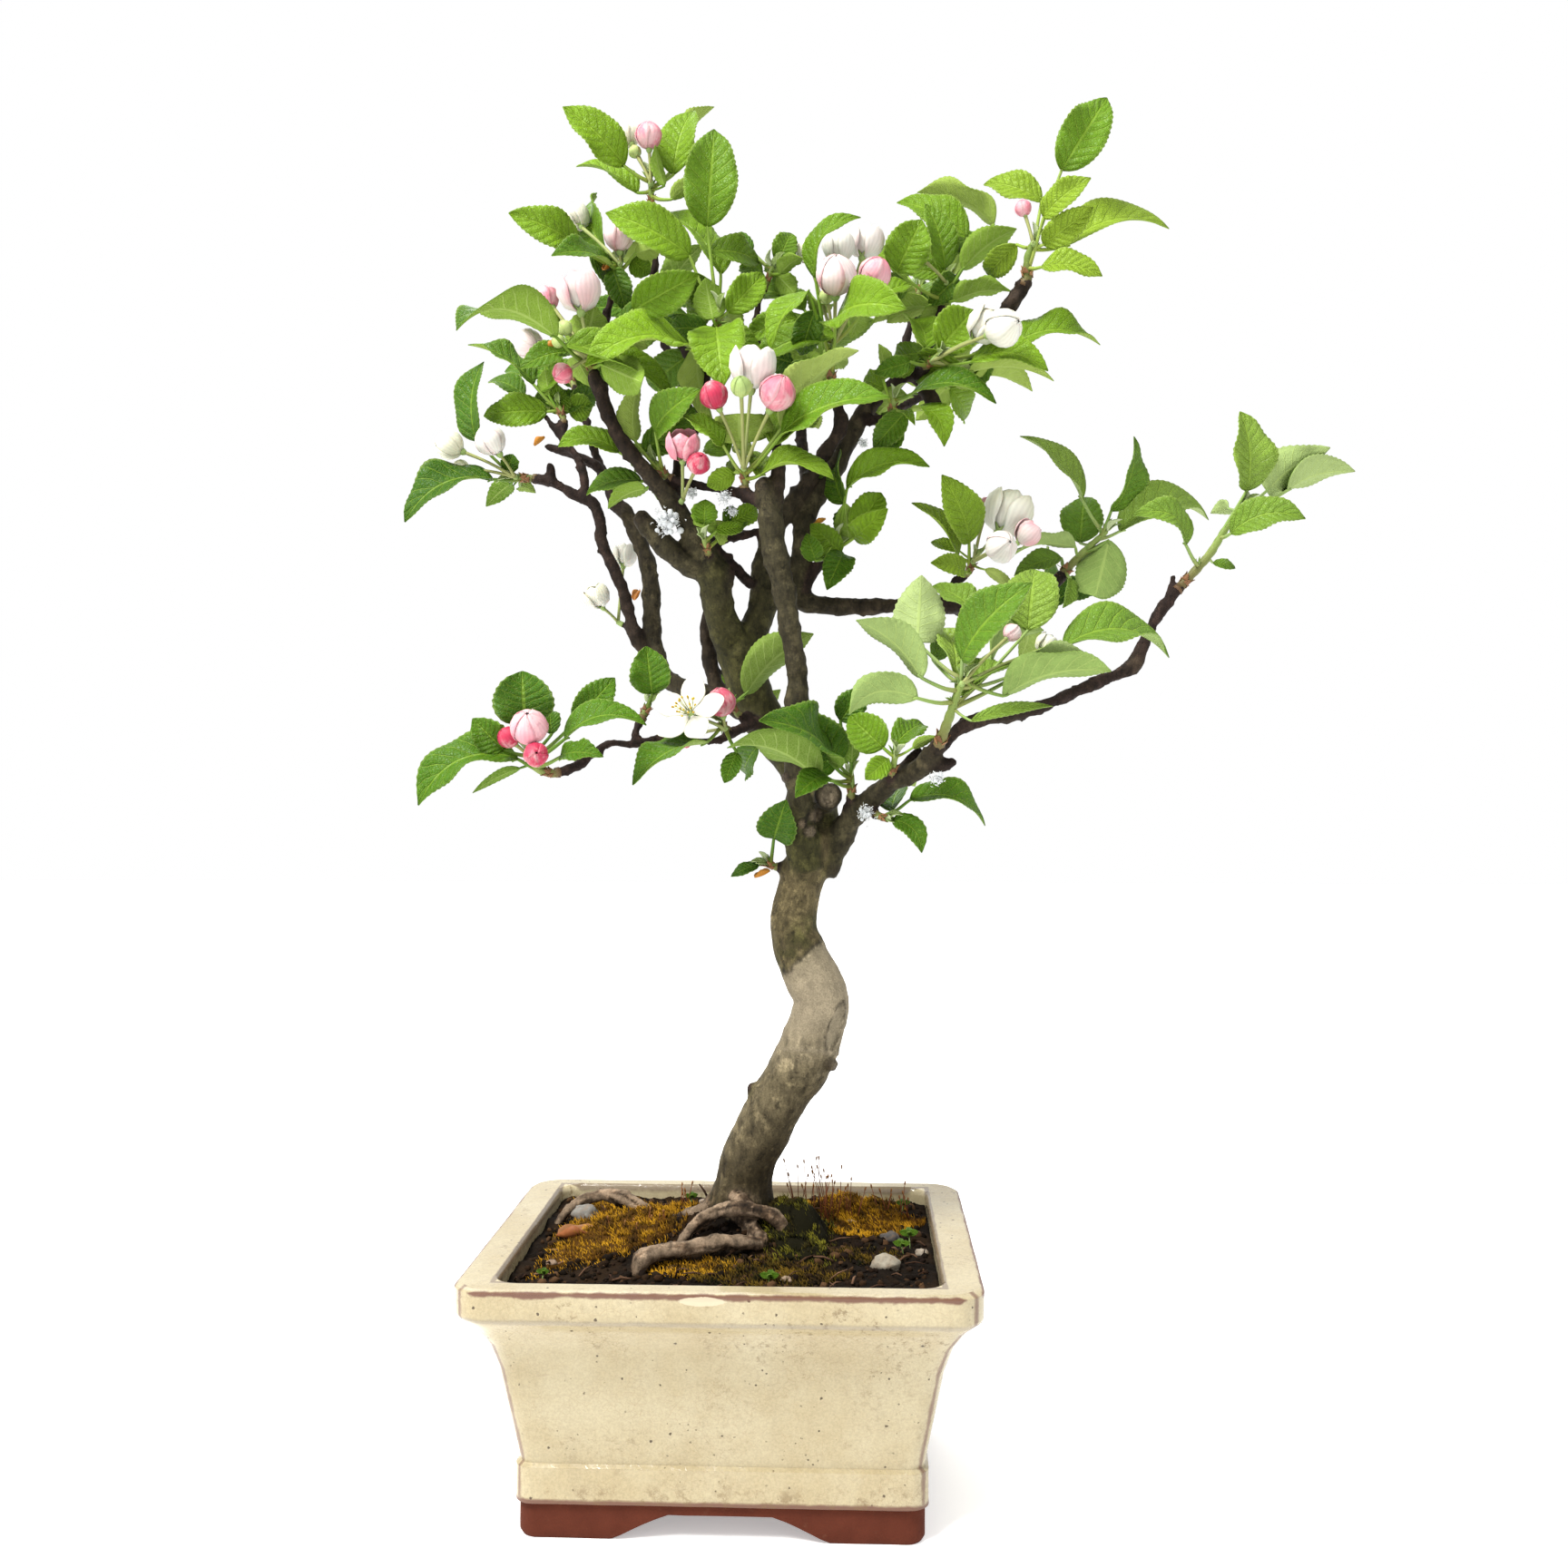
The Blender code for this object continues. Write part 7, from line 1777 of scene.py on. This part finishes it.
def wood_tone(girth, trunk, root, x, z, lumps, grain, fibre):
    """The bark's colour: dark twigs, olive boughs, a pale trunk that browns at its foot."""
    base = mixed(TWIG_BARK, BOUGH_BARK, smooth_step(2.4, 5.0, girth))
    base = mixed(base, OLIVE_BARK, smooth_step(5.0, 8.0, girth))
    fold = z - (PALE_TOP + 0.9 * (x - PALE_MIDDLE_X)) + 2.5 * lumps
    pale = smooth_step(3.0, -1.0, fold) * smooth_step(172.0, 206.0, z + 3.0 * lumps)
    lower = mixed(MID_BARK, TRUNK_BARK, smooth_step(-1.0, 3.0, fold))
    trunk_tone = mixed(lower, PALE_BARK, pale)
    moss = math.exp(-((fold - 9.0) / 10.0) ** 2) * smooth_step(0.6, -0.3, lumps + 0.4 * grain)
    trunk_tone = mixed(trunk_tone, MOSSY_BARK, 0.85 * moss)
    trunk_tone = mixed(trunk_tone, DARK_BARK, 0.7 * math.exp(-((fold - 1.0) / 1.6) ** 2))
    foot = smooth_step(178.0, 122.0, z + 8.0 * lumps - 0.5 * (x - 15.0))
    trunk_tone = mixed(trunk_tone, FOOT_BARK, foot)
    fissure = smooth_step(0.05, 0.5, fibre)
    trunk_tone = mixed(trunk_tone, DARK_BARK, 0.25 * fissure * (1.0 - pale))
    base = mixed(base, trunk_tone, float(trunk))
    root_tone = mixed(ROOT_BARK, ROOT_PALE, smooth_step(-0.4, 0.5, 0.7 * lumps - fibre) * 0.85)
    root_tone = mixed(root_tone, DARK_BARK, 0.8 * fissure)
    base = mixed(base, root_tone, float(root))
    rough = 1.0 - smooth_step(3.0, 9.0, girth) * 0.75 * (1.0 - 0.8 * float(root))
    return mixed(base, DARK_BARK, smooth_step(0.1, 0.75, grain) * 0.6 * rough)


# Pot

def rounded_outline(half_x, half_y, corner, height):
    """A rounded rectangle round the pot's middle."""
    points = []
    for quarter, (sx, sy) in enumerate(((1, 1), (-1, 1), (-1, -1), (1, -1))):
        for k in range(CORNER_STEPS + 1):
            angle = math.pi / 2 * (quarter + k / CORNER_STEPS)
            points.append(Vector((
                sx * (half_x - corner) + corner * math.cos(angle),
                sy * (half_y - corner) + corner * math.sin(angle), height)))
    return points


def profile_inset(height):
    """How far in from the lip the pot's outside is at this height."""
    for (low, near), (high, far) in zip(POT_PROFILE, POT_PROFILE[1:]):
        if low <= height <= high:
            return near + (far - near) * (height - low) / (high - low)
    return POT_PROFILE[-1][1]


def inner_halves(height, gap=0.0):
    inset = profile_inset(min(height, LIP_LOW)) + WALL
    return POT_WIDTH / 2 - max(inset, RIM_SIDE) - gap, POT_DEPTH / 2 - max(inset, RIM_FRONT) - gap


def split_sides(ring):
    """The outline with its four straight sides divided up."""
    out = []
    for i, a in enumerate(ring):
        b = ring[(i + 1) % len(ring)]
        parts = SIDE_PARTS if i % (CORNER_STEPS + 1) == CORNER_STEPS else 1
        out += [a.lerp(b, k / parts) for k in range(parts)]
    return out


def loft(rings):
    count = len(rings[0])
    points = [tuple(p) for ring in rings for p in ring]
    faces = [tuple(f) for f in quads(len(rings), count, closed=True)]
    faces += [tuple(range(count))[::-1], tuple(range(len(points) - count, len(points)))]
    return points, faces


def plain_object(name, points, faces):
    mesh = bpy.data.meshes.new(name)
    mesh.from_pydata([tuple(Vector(p) * MM) for p in points], [], faces)
    shape = bmesh.new()
    shape.from_mesh(mesh)
    bmesh.ops.remove_doubles(shape, verts=shape.verts, dist=0.01 * MM)
    bmesh.ops.recalc_face_normals(shape, faces=shape.faces)
    shape.to_mesh(mesh)
    shape.free()
    made = bpy.data.objects.new(name, mesh)
    bpy.context.scene.collection.objects.link(made)
    return made


def cut(piece, *forms):
    """Cuts the closed forms out of the piece."""
    cutters = []
    for points, faces in forms:
        cutter = plain_object("cutter", points, faces)
        cutters.append(cutter)
        away = piece.modifiers.new("Cut", "BOOLEAN")
        away.operation = "DIFFERENCE"
        away.solver = "MANIFOLD"
        away.object = cutter
    apply_modifiers(piece)
    for cutter in cutters:
        bpy.data.objects.remove(cutter)


def round_hole(x, low, high, radius):
    rings = [[Vector((x + radius * math.cos(a), radius * math.sin(a), z))
              for a in (math.tau * k / 32 for k in range(32))] for z in (low, high)]
    return loft(rings)


def arch(along_x):
    """The low arch between two feet, its top corners eased."""
    share = POT_DEPTH / POT_WIDTH if along_x else 1.0
    outline = [(-ARCH_LOW, -2.0), (ARCH_LOW, -2.0)]
    rise = FLOOR_UNDER - 0.5
    for k in range(7):
        u = k / 6
        side = ARCH_LOW + (ARCH_HIGH - ARCH_LOW) * u - 3.0 * math.sin(math.pi * u) * (0.5 - u)
        outline.append((side, -2.0 + (rise + 2.0) * u ** 0.85))
    outline += [(-x, z) for x, z in reversed(outline[2:])]
    rings = []
    for t in (-130.0, 130.0):
        ring = []
        for side, height in outline:
            side *= share
            ring.append(Vector((t, side, height)) if along_x else Vector((side, t, height)))
        rings.append(ring)
    return loft(rings)


def throw_pot(looks):
    rings = []
    heights = [POT_PROFILE[0][0]]
    for (low, _), (high, _) in zip(POT_PROFILE, POT_PROFILE[1:]):
        parts = max(1, round((high - low) / 3.0))
        heights += [low + (high - low) * (k + 1) / parts for k in range(parts)]
    for height in heights:
        inset = profile_inset(height)
        corner = max(CORNER - inset * CORNER_EASE, 5.0)
        ring = rounded_outline(POT_WIDTH / 2 - inset, POT_DEPTH / 2 - inset, corner, height)
        rings.append(split_sides(ring))
    pot = plain_object("glazed_pot", *loft(rings))
    levels = (FLOOR_TOP, FLOOR_TOP + 1.5, 40, 58, 72, 86, LIP_LOW, POT_HEIGHT - 3.4)
    flared = ((POT_HEIGHT - 1.4, -0.4), (POT_HEIGHT - 0.5, -1.2), (POT_HEIGHT + 1.5, -3.4))
    hollow = []
    for height, gap in [(level, 0) for level in levels] + list(flared):
        hollow.append(rounded_outline(*inner_halves(height, gap), INNER_CORNER, height))
    recess_x = POT_WIDTH / 2 - BASE_INSET - FOOT_THICK
    recess_y = POT_DEPTH / 2 - BASE_INSET - FOOT_THICK
    recess = loft([rounded_outline(recess_x, recess_y, 9.0, z) for z in (-2.0, FLOOR_UNDER)])
    holes = [round_hole(x, FLOOR_UNDER - 3, FLOOR_TOP + 3, DRAIN_RADIUS) for x in (-DRAIN_X, DRAIN_X)]
    cut(pot, loft(hollow), recess, arch(True), arch(False), *holes)
    edge = pot.modifiers.new("Edges", "BEVEL")
    edge.width = 0.7 * MM
    edge.segments = 3
    edge.limit_method = "ANGLE"
    edge.angle_limit = math.radians(38)
    apply_modifiers(pot)
    pot.data.transform(Matrix.Translation(POT_MIDDLE))
    paint_pot(pot, looks)
    dress(pot, "glaze", "pot")


def paint_pot(pot, looks):
    """Gives the pot its two looks and the distances that the glaze's marks follow."""
    mesh = pot.data
    mesh.materials.clear()
    mesh.materials.append(looks["glaze"])
    mesh.materials.append(looks["clay"])
    places, normals = surface_of(mesh)
    marks = np.empty((len(places), 3), np.float32)
    for n, p in enumerate(map(Vector, places)):
        inset = min(POT_WIDTH / 2 - abs(p.x), POT_DEPTH / 2 - abs(p.y))
        lip = math.hypot(max(inset, 0.0), max(p.z, 90.0) - (POT_HEIGHT - 1.3))
        outer = profile_inset(min(max(p.z, 0.0), POT_HEIGHT))
        corner = CORNER - CORNER_EASE * outer
        near_x = POT_WIDTH / 2 - outer - corner * 0.29 - abs(p.x)
        near_y = POT_DEPTH / 2 - outer - corner * 0.29 - abs(p.y)
        marks[n] = (lip / 10, math.hypot(near_x, near_y) / 10, 1.0 - abs(p.z - 16.0) / 16.0)
        places[n] += normals[n] * (0.16 * fractal(p, 24.0))
    set_places(mesh, places)
    set_tones(mesh, marks)
    bare = [(p.center.z - POT_MIDDLE.z) / MM < GLAZE_LOW for p in mesh.polygons]
    mesh.polygons.foreach_set("material_index", np.array(bare, np.int32))
    mesh.shade_smooth()
    bpy.context.view_layer.objects.active = pot
    smooth = pot.modifiers.new("Normals", "WEIGHTED_NORMAL")
    smooth.keep_sharp = False


# Soil, moss and what lies on them

def soil_height(x, y):
    near = math.hypot(x - FOOT.x, y - FOOT.y) / MOUND_RADIUS
    bumps = 0.7 * math.sin(x * 0.21 + 1.0) * math.sin(y * 0.17 + 2.0)
    return SOIL_EDGE + MOUND * math.exp(-near * near) + bumps


def soil_top(x, y):
    """The height of the crumbly surface."""
    here = Vector((x, y, 0.0))
    return soil_height(x, y) + 1.1 * fractal(here, 9.0) + 0.9 * fractal(here, 2.6)


def ray_to_edge(edge, way):
    """Where the ray from the pot's middle leaves the outline."""
    for i, a in enumerate(edge):
        b = edge[(i + 1) % len(edge)]
        cross_a = way.x * a.y - way.y * a.x
        cross_b = way.x * b.y - way.y * b.x
        if cross_a * cross_b <= 0 and (a.x + b.x) * way.x + (a.y + b.y) * way.y > 0:
            share = cross_a / (cross_a - cross_b) if cross_a != cross_b else 0.0
            return a.x + (b.x - a.x) * share, a.y + (b.y - a.y) * share
    return edge[0].x, edge[0].y


def soil_edge(height=SOIL_EDGE):
    edge = rounded_outline(*inner_halves(height, SOIL_GAP), INNER_CORNER, height)
    turns = [math.tau * k / SOIL_SECTORS_FINE for k in range(SOIL_SECTORS_FINE)]
    return [ray_to_edge(edge, Vector((math.cos(a), math.sin(a)))) for a in turns]


def lay_soil(looks):
    edge = soil_edge()
    points, tones = [], []
    for height in (FLOOR_TOP + 0.5, 58.0, 86.0, LIP_LOW):
        points += [(x, y, height) for x, y in soil_edge(height)]
        tones += [SOIL_DARK] * SOIL_SECTORS_FINE
    for i in range(SOIL_RINGS_FINE):
        share = 1.0 - i / SOIL_RINGS_FINE
        for x, y in edge:
            px, py = FOOT.x + (x - FOOT.x) * share, FOOT.y + (y - FOOT.y) * share
            points.append((px, py, soil_top(px, py)))
            damp = fractal(Vector((px, py, 5.0)), 16.0)
            tones.append(mixed(SOIL_DARK, SOIL_LIGHT, smooth_step(-0.4, 0.7, damp)))
    faces = closed_rings(len(points) // SOIL_SECTORS_FINE, SOIL_SECTORS_FINE)
    points += [(0, 0, FLOOR_TOP + 0.5), (FOOT.x, FOOT.y, soil_height(FOOT.x, FOOT.y))]
    tones += [SOIL_DARK, SOIL_DARK]
    form = Form()
    form.add(points, faces, 0, tones)
    dress(form.object("potting_soil", [looks["soil"]]), "earth", "soil")


def on_soil(x, z, depth):
    """The point of the soil's surface at this place of the picture."""
    spot = place(x, z, depth)
    return Vector((spot.x, spot.y, soil_top(spot.x, spot.y)))


def scatter(rng, wide, deep):
    """A random place in an ellipse, closer together towards its middle."""
    angle = rng.uniform(0, math.tau)
    share = rng.random() ** 0.6
    return wide * share * math.cos(angle), deep * share * math.sin(angle)


def inside_soil(x, y):
    half_x, half_y = inner_halves(SOIL_EDGE, 1.5)
    return abs(x) < half_x and abs(y) < half_y


def strew_crumbs(looks):
    """Crumbs of soil, bark and grit."""
    rng = random.Random(11)
    form = Form()
    half_x, half_y = inner_halves(SOIL_EDGE, 3.0)
    for _ in range(CRUMBS):
        x, y = rng.uniform(-half_x, half_x), rng.uniform(-half_y, half_y)
        size = rng.choice((0.45, 0.6, 0.8, 1.2, 1.7)) * rng.uniform(0.7, 1.2)
        aim = Vector((rng.uniform(-1, 1), rng.uniform(-1, 1), rng.uniform(-0.4, 0.4))).normalized()
        tone = mixed(SOIL_DARK, rng.choice(CRUMB_TONES), rng.random())
        middle = Vector((x, y, soil_top(x, y) + 0.2 * size))
        ball(form, middle, aim, size * rng.uniform(0.8, 1.7), size, 3, 5, 0, tone)
    for _ in range(TWIGLETS):
        x, y = rng.uniform(-half_x, half_x), rng.uniform(-half_y, half_y)
        way = Vector((rng.uniform(-1, 1), rng.uniform(-1, 1), rng.uniform(-0.1, 0.35))).normalized()
        start = Vector((x, y, soil_top(x, y) + 0.5))
        reach = rng.uniform(3, 11)
        end = start + way * reach
        if inside_soil(end.x, end.y):
            tone = mixed(*TWIGLET_TONES, rng.random() ** 2)
            wide = rng.uniform(0.25, 0.6)
            path = [start, start.lerp(end, 0.5) + UP * 0.8, end]
            tube(form, path, [wide, wide, wide * 0.5], 5, 0, tone)
    dress(form.object("soil_crumbs", [looks["soil"]]), "earth")


def cushion_spot(name, u, v):
    """(x, y, rise) of a cushion at shares of the way across and round it."""
    first, last, start, stop, thick = CUSHIONS[name]
    ring = first + (last - first) * u
    sector = start + (stop - start) * v
    angle = math.tau * sector / SOIL_SECTORS
    edge = rounded_outline(*inner_halves(SOIL_EDGE, CLEAR), INNER_CORNER, SOIL_EDGE)
    x, y = ray_to_edge(edge, Vector((math.cos(angle), math.sin(angle))))
    share = float(np.interp(ring, range(len(SOIL_RINGS)), SOIL_RINGS))
    swell = 1.0 + 0.25 * math.sin(1.9 * (ring - first) + 2.3 * (sector - start))
    rise = 1.2 + thick * math.sin(math.pi * u) * math.sin(math.pi * v) * swell
    return FOOT.x + (x - FOOT.x) * share, FOOT.y + (y - FOOT.y) * share, rise


def moss_tone(tones, x, y, rng):
    """A blade's colour: light or dark by clumps, with brown bare spots between them."""
    clump = 0.5 + 1.1 * fractal(Vector((x, y, 9.0)), 6.0) + rng.uniform(-0.3, 0.3)
    tone = mixed(tones[0], tones[1], min(max(clump, 0.0), 1.0))
    bare = smooth_step(0.02, 0.4, fractal(Vector((x, y, 21.0)), 8.0))
    return mixed(tone, SOIL_LIGHT, 0.85 * bare)


def cushion_lump(x, y):
    """How far a cushion's top swells or sinks here."""
    return fractal(Vector((x, y, 3.0)), 6.0) + 0.5 * fractal(Vector((x, y, 5.0)), 2.6)


def grow_cushion(name, tones, looks):
    rng = random.Random(name)
    form = Form()
    rows, columns = 26, 34
    upper, lower = [], []
    for i in range(rows):
        for k in range(columns):
            x, y, rise = cushion_spot(name, i / (rows - 1), k / (columns - 1))
            base = soil_height(x, y) + CLEAR
            swollen = rise + CUSHION_LUMPS[name] * cushion_lump(x, y)
            upper.append((x, y, base + max(swollen, 0.6)))
            lower.append((x, y, base - 1.5))
    grid = np.array(upper).reshape(rows, columns, 3)
    below = np.array(lower).reshape(rows, columns, 3)
    middle = (grid + below) / 2
    thick = np.linalg.norm(grid - below, axis=2)
    slab(form, middle, thick * 0.96, (0, 0), mixed(tones[0], SOIL_DARK, 0.5))
    bases, ways, lengths, widths, colours = [], [], [], [], []
    for _ in range(MOSS_BLADES):
        u, v = rng.uniform(-0.14, 1.14), rng.uniform(-0.14, 1.14)
        x, y, rise = cushion_spot(name, u, v)
        fringe = not (0.0 < u < 1.0 and 0.0 < v < 1.0)
        if not inside_soil(x, y) or (fringe and rng.random() < 0.45):
            continue
        if fringe:
            rise = soil_top(x, y) - soil_height(x, y) - CLEAR
        lump = cushion_lump(x, y)
        bases.append((x, y, soil_height(x, y) + CLEAR + rise + CUSHION_LUMPS[name] * lump - 0.6))
        ways.append((rng.uniform(-0.6, 0.6), rng.uniform(-0.6, 0.6), 1.0))
        lengths.append(rng.uniform(1.2, 3.2) + 1.4 * max(lump, 0.0))
        widths.append(rng.uniform(0.18, 0.34))
        colours.append(moss_tone(tones, x, y, rng))
    spikes(form, bases, ways, lengths, widths, colours)
    dress(form.object(name.replace("moss_", "moss_cushion_"), [looks["moss"]]), "moss", name)


def grow_patches(looks):
    """Loose moss over the soil, beside the cushions."""
    rng = random.Random(5)
    form = Form()
    for x, z, depth, wide, deep, count, tones in MOSS_PATCHES:
        middle = place(x, z, depth)
        bases, ways, lengths, widths, colours = [], [], [], [], []
        for _ in range(count):
            dx, dy = scatter(rng, wide, deep)
            px, py = middle.x + dx, middle.y + dy
            if not inside_soil(px, py):
                continue
            bases.append((px, py, soil_top(px, py) - 0.5))
            ways.append((rng.uniform(-0.8, 0.8), rng.uniform(-0.8, 0.8), 1.0))
            lengths.append(rng.uniform(1.5, 4.0))
            widths.append(rng.uniform(0.2, 0.4))
            colours.append(moss_tone(tones, px, py, rng))
        spikes(form, bases, ways, lengths, widths, colours)
    dress(form.object("loose_moss", [looks["moss"]]), "moss")


def lay_stones(looks):
    """The two larger stones, and the smaller ones that are only in the looks."""
    for name, (x, z, depth, wide, deep, tall) in STONES.items():
        form = Form()
        middle = place(x, z, depth)
        add_stone(form, middle, (wide, deep, tall), STONE_TONES[name], name)
        dress(form.object(name, [looks["stone"]]), "stone", name)
    form = Form()
    for n, (x, z, depth, size, tone) in enumerate(PEBBLES):
        add_stone(form, on_soil(x, z, depth) + UP * size * 0.3, (size * 1.2, size, size * 0.8), tone, n)
    dress(form.object("pebbles", [looks["stone"]]), "stone")


def add_stone(form, middle, radii, tone, seed):
    rng = random.Random(seed)
    offset = Vector((rng.uniform(0, 90), rng.uniform(0, 90), 0.0))
    rows, sides = 18, 26
    rings, tones = [], []
    for i in range(rows):
        polar = math.pi * (0.02 + 0.96 * i / (rows - 1))
        for k in range(sides):
            angle = math.tau * k / sides
            flat = math.sin(polar)
            way = Vector((math.cos(angle) * flat, math.sin(angle) * flat, -math.cos(polar)))
            lump = 1.0 + 0.24 * fractal(way + offset, 0.8) + 0.07 * fractal(way + offset, 0.25)
            rings.append(middle + Vector((way.x * radii[0], way.y * radii[1], way.z * radii[2])) * lump)
            shade = smooth_step(-0.3, 0.7, fractal(way + offset, 0.5))
            tones.append(mixed(tone, mixed(tone, STONE_EARTH, 0.7), shade * 0.6))
    rings += [middle - UP * radii[2], middle + UP * radii[2]]
    tones += [tone, tone]
    form.add([tuple(p) for p in rings], closed_rings(rows, sides), 0, tones)


def grow_seedlings(looks):
    """Seedlings and thin moss stalks on the soil."""
    rng = random.Random(21)
    form = Form()
    for x, z, depth, tall, leaf_size in SEEDLINGS:
        foot = on_soil(x, z, depth)
        top = foot + Vector((rng.uniform(-1, 1), rng.uniform(-1, 1), tall))
        tube(form, [foot - UP, foot.lerp(top, 0.5), top], [0.35, 0.3, 0.3], 5, 2, SEEDLING_STEM)
        for k in range(4):
            turn = 1.57 * k + rng.uniform(-0.3, 0.3)
            out = Vector((math.cos(turn), math.sin(turn), 0.35 + 0.2 * (k % 2))).normalized()
            tip = top + out * leaf_size
            shape = (leaf_size * 0.6, "T", 0.0, leaf_size * 0.62)
            blade(form, top + out * 0.3, tip, shape, rng, *SEEDLING_LEAF)
    for x, z, depth, spread, count, tall in MOSS_STALKS:
        for _ in range(count):
            foot = on_soil(x + rng.uniform(-spread, spread), z, depth + rng.uniform(-4, 4))
            lean = Vector((rng.uniform(-0.3, 0.3), rng.uniform(-0.3, 0.3), 1.0)).normalized()
            reach = tall * rng.uniform(0.5, 1.1)
            tip = foot + lean * reach
            path = [foot - UP * 0.5, foot.lerp(tip, 0.5) + Vector((rng.uniform(-0.6, 0.6), 0, 0)), tip]
            tube(form, path, [0.24, 0.2, 0.16], 5, 2, MOSS_STALK)
            ball(form, tip + lean * 0.5, lean, 1.1, 0.45, 4, 5, 2, MOSS_CAPSULE)
    slots = [looks["top"], looks["under"], looks["stalk"]]
    dress(form.object("seedlings_and_moss_stalks", slots), "leaf")


def curl_dry_leaves(looks):
    """Dry orange scraps: a curled leaf on the soil and old bits caught in the crown."""
    rng = random.Random(31)
    form = Form()
    for x, z, depth, size, rested in DRY_BITS:
        middle = on_soil(x, z, depth) + UP * 1.8 if rested else place(x, z, depth)
        turn = rng.uniform(0, 3.1)
        along = Vector((math.cos(turn), 0.6 * math.sin(turn), rng.uniform(-0.3, 0.5))).normalized()
        side = along.cross(UP).normalized()
        lift = side.cross(along)
        grid = []
        for i in range(9):
            u = i / 8
            half = 0.55 * size * math.sin(math.pi * (0.08 + 0.86 * u)) ** 0.7
            line = []
            for k in range(7):
                v = k / 3 - 1
                roll = 1.9 * v
                ragged = 1.0 + 0.25 * math.sin(7 * u + 5 * v + turn)
                height = half * 0.5 * (1 - math.cos(roll)) * ragged + 0.25 * size * u * u
                line.append(tuple(middle + along * (size * (u - 0.5))
                                  + side * (half * 0.6 * math.sin(roll)) + lift * height))
            grid.append(line)
        tone = DRY_LEAF if rested else mixed(*SCRAP_TONES, rng.random())
        slab(form, grid, 0.3, (0, 0), tone, mixed(tone, DRY_UNDER, 0.4))
    dress(form.object("dry_scraps", [looks["stalk"]]), "leaf")


def spin_wool(looks):
    """Tufts of white wax threads where boughs fork."""
    rng = random.Random(41)
    form = Form()
    for x, z, depth, size in WOOL:
        middle = place(x, z, depth)
        for _ in range(int(8 + 4 * size)):
            middle_here = middle + gauss_vector(rng, size * 0.27)
            aim = gauss_vector(rng, 1).normalized()
            radius = size * rng.uniform(0.1, 0.2)
            # Painted shade: the round puffs are greyer than the threads, and a little blue
            shade = rng.uniform(0.62, 0.8)
            ball(form, middle_here, aim, radius, radius, 5, 8, 0, (shade * 0.96, shade, shade * 1.03))
        for _ in range(int(24 + 24 * size)):
            point = middle + gauss_vector(rng, size * 0.3)
            way = gauss_vector(rng, 1).normalized()
            path = [point]
            for _ in range(3):
                way = (way + gauss_vector(rng, 0.9)).normalized()
                path.append(path[-1] + way * (0.2 + size * 0.06))
            wide = rng.uniform(0.12, 0.22)
            shade = rng.uniform(0.75, 0.95)
            tube(form, path, [wide * 0.6, wide, wide, wide * 0.4], 3, 0, (shade * 0.97, shade, shade))
    dress(form.object("wool_tufts", [looks["wool"]]), "bark")


def mesh_screens(looks):
    """The plastic screens over the drain holes, each a disc pierced by square holes."""
    low = FLOOR_TOP + CLEAR + 0.15
    for side, x in (("left", -DRAIN_X), ("right", DRAIN_X)):
        form = Form()
        rim = []
        for k in range(48):
            angle = math.tau * k / 48
            out = Vector((math.cos(angle), math.sin(angle), 0.0)) * SCREEN_RIM
            rim.append(out + Vector((x, 0.0, low + 0.45)))
        tube(form, rim + [rim[0]], [0.45] * 49, 6, 0, SCREEN_BLACK)
        for n in range(-4, 5):
            off = SCREEN_PITCH * n
            reach = math.sqrt(10.2 ** 2 - off ** 2)
            lengthwise = [Vector((x + run, off, low + 0.35)) for run in (-reach, 0.0, reach)]
            crosswise = [Vector((x + off, run, low + 0.6)) for run in (-reach, 0.0, reach)]
            for path in (lengthwise, crosswise):
                tube(form, path, [0.35] * 3, 5, 0, SCREEN_BLACK)
        name = "drain_screen_" + side
        dress(form.object(name + "_mesh", [looks["plastic"]]), "screen", name)


# Stage

def set_stage():
    scene = bpy.context.scene
    scene.view_settings.view_transform = "Standard"
    bpy.ops.mesh.primitive_plane_add(size=8.0, location=(0, 0, 0))
    floor = bpy.context.object
    floor.name = "floor"
    pale = Look("pale_floor", 0.9, Emission_Color=(1.0, 1.0, 1.0, 1.0), Emission_Strength=0.35)
    floor.data.materials.append(pale.done((0.9, 0.9, 0.9), dim=1.0))
    world = bpy.data.worlds.new("studio")
    scene.world = world
    world.use_nodes = True
    sky = world.node_tree.nodes["Background"]
    sky.inputs["Color"].default_value = (1.0, 1.0, 1.0, 1.0)
    sky.inputs["Strength"].default_value = 1.0
    for name, place_at, size, power, tint in LIGHTS:
        lamp = bpy.data.lights.new(name, "AREA")
        lamp.size = size
        lamp.energy = power
        lamp.color = tint
        lit = bpy.data.objects.new(name, lamp)
        lit.location = place_at
        aim = Vector((0.0, 0.0, 0.3)) - Vector(place_at)
        lit.rotation_euler = aim.to_track_quat("-Z", "Y").to_euler()
        scene.collection.objects.link(lit)
    data = bpy.data.cameras.new("camera")
    data.lens = LENS
    data.sensor_width = 36.0
    data.clip_start = 0.01
    camera = bpy.data.objects.new("camera", data)
    turn = Matrix((RIGHT, UP, -AWAY)).transposed()
    camera.matrix_world = Matrix.Translation(EYE * MM + POT_MIDDLE) @ turn.to_4x4()
    scene.collection.objects.link(camera)
    scene.camera = camera


def main():
    looks = make_looks()
    throw_pot(looks)
    lay_soil(looks)
    strew_crumbs(looks)
    for name, tones in CUSHION_TONES.items():
        grow_cushion(name, tones, looks)
    grow_patches(looks)
    lay_stones(looks)
    grow_seedlings(looks)
    curl_dry_leaves(looks)
    mesh_screens(looks)
    grow_wood(looks)
    spin_wool(looks)
    ends = {}
    for name, (wood, points, rows) in shoot_table().items():
        ends[name] = grow_shoot(name, wood, points, rows, looks)
    for name, (origin, flowers) in BUNCHES.items():
        grow_bunch(name, origin, flowers, ends, looks)
    set_stage()


main()
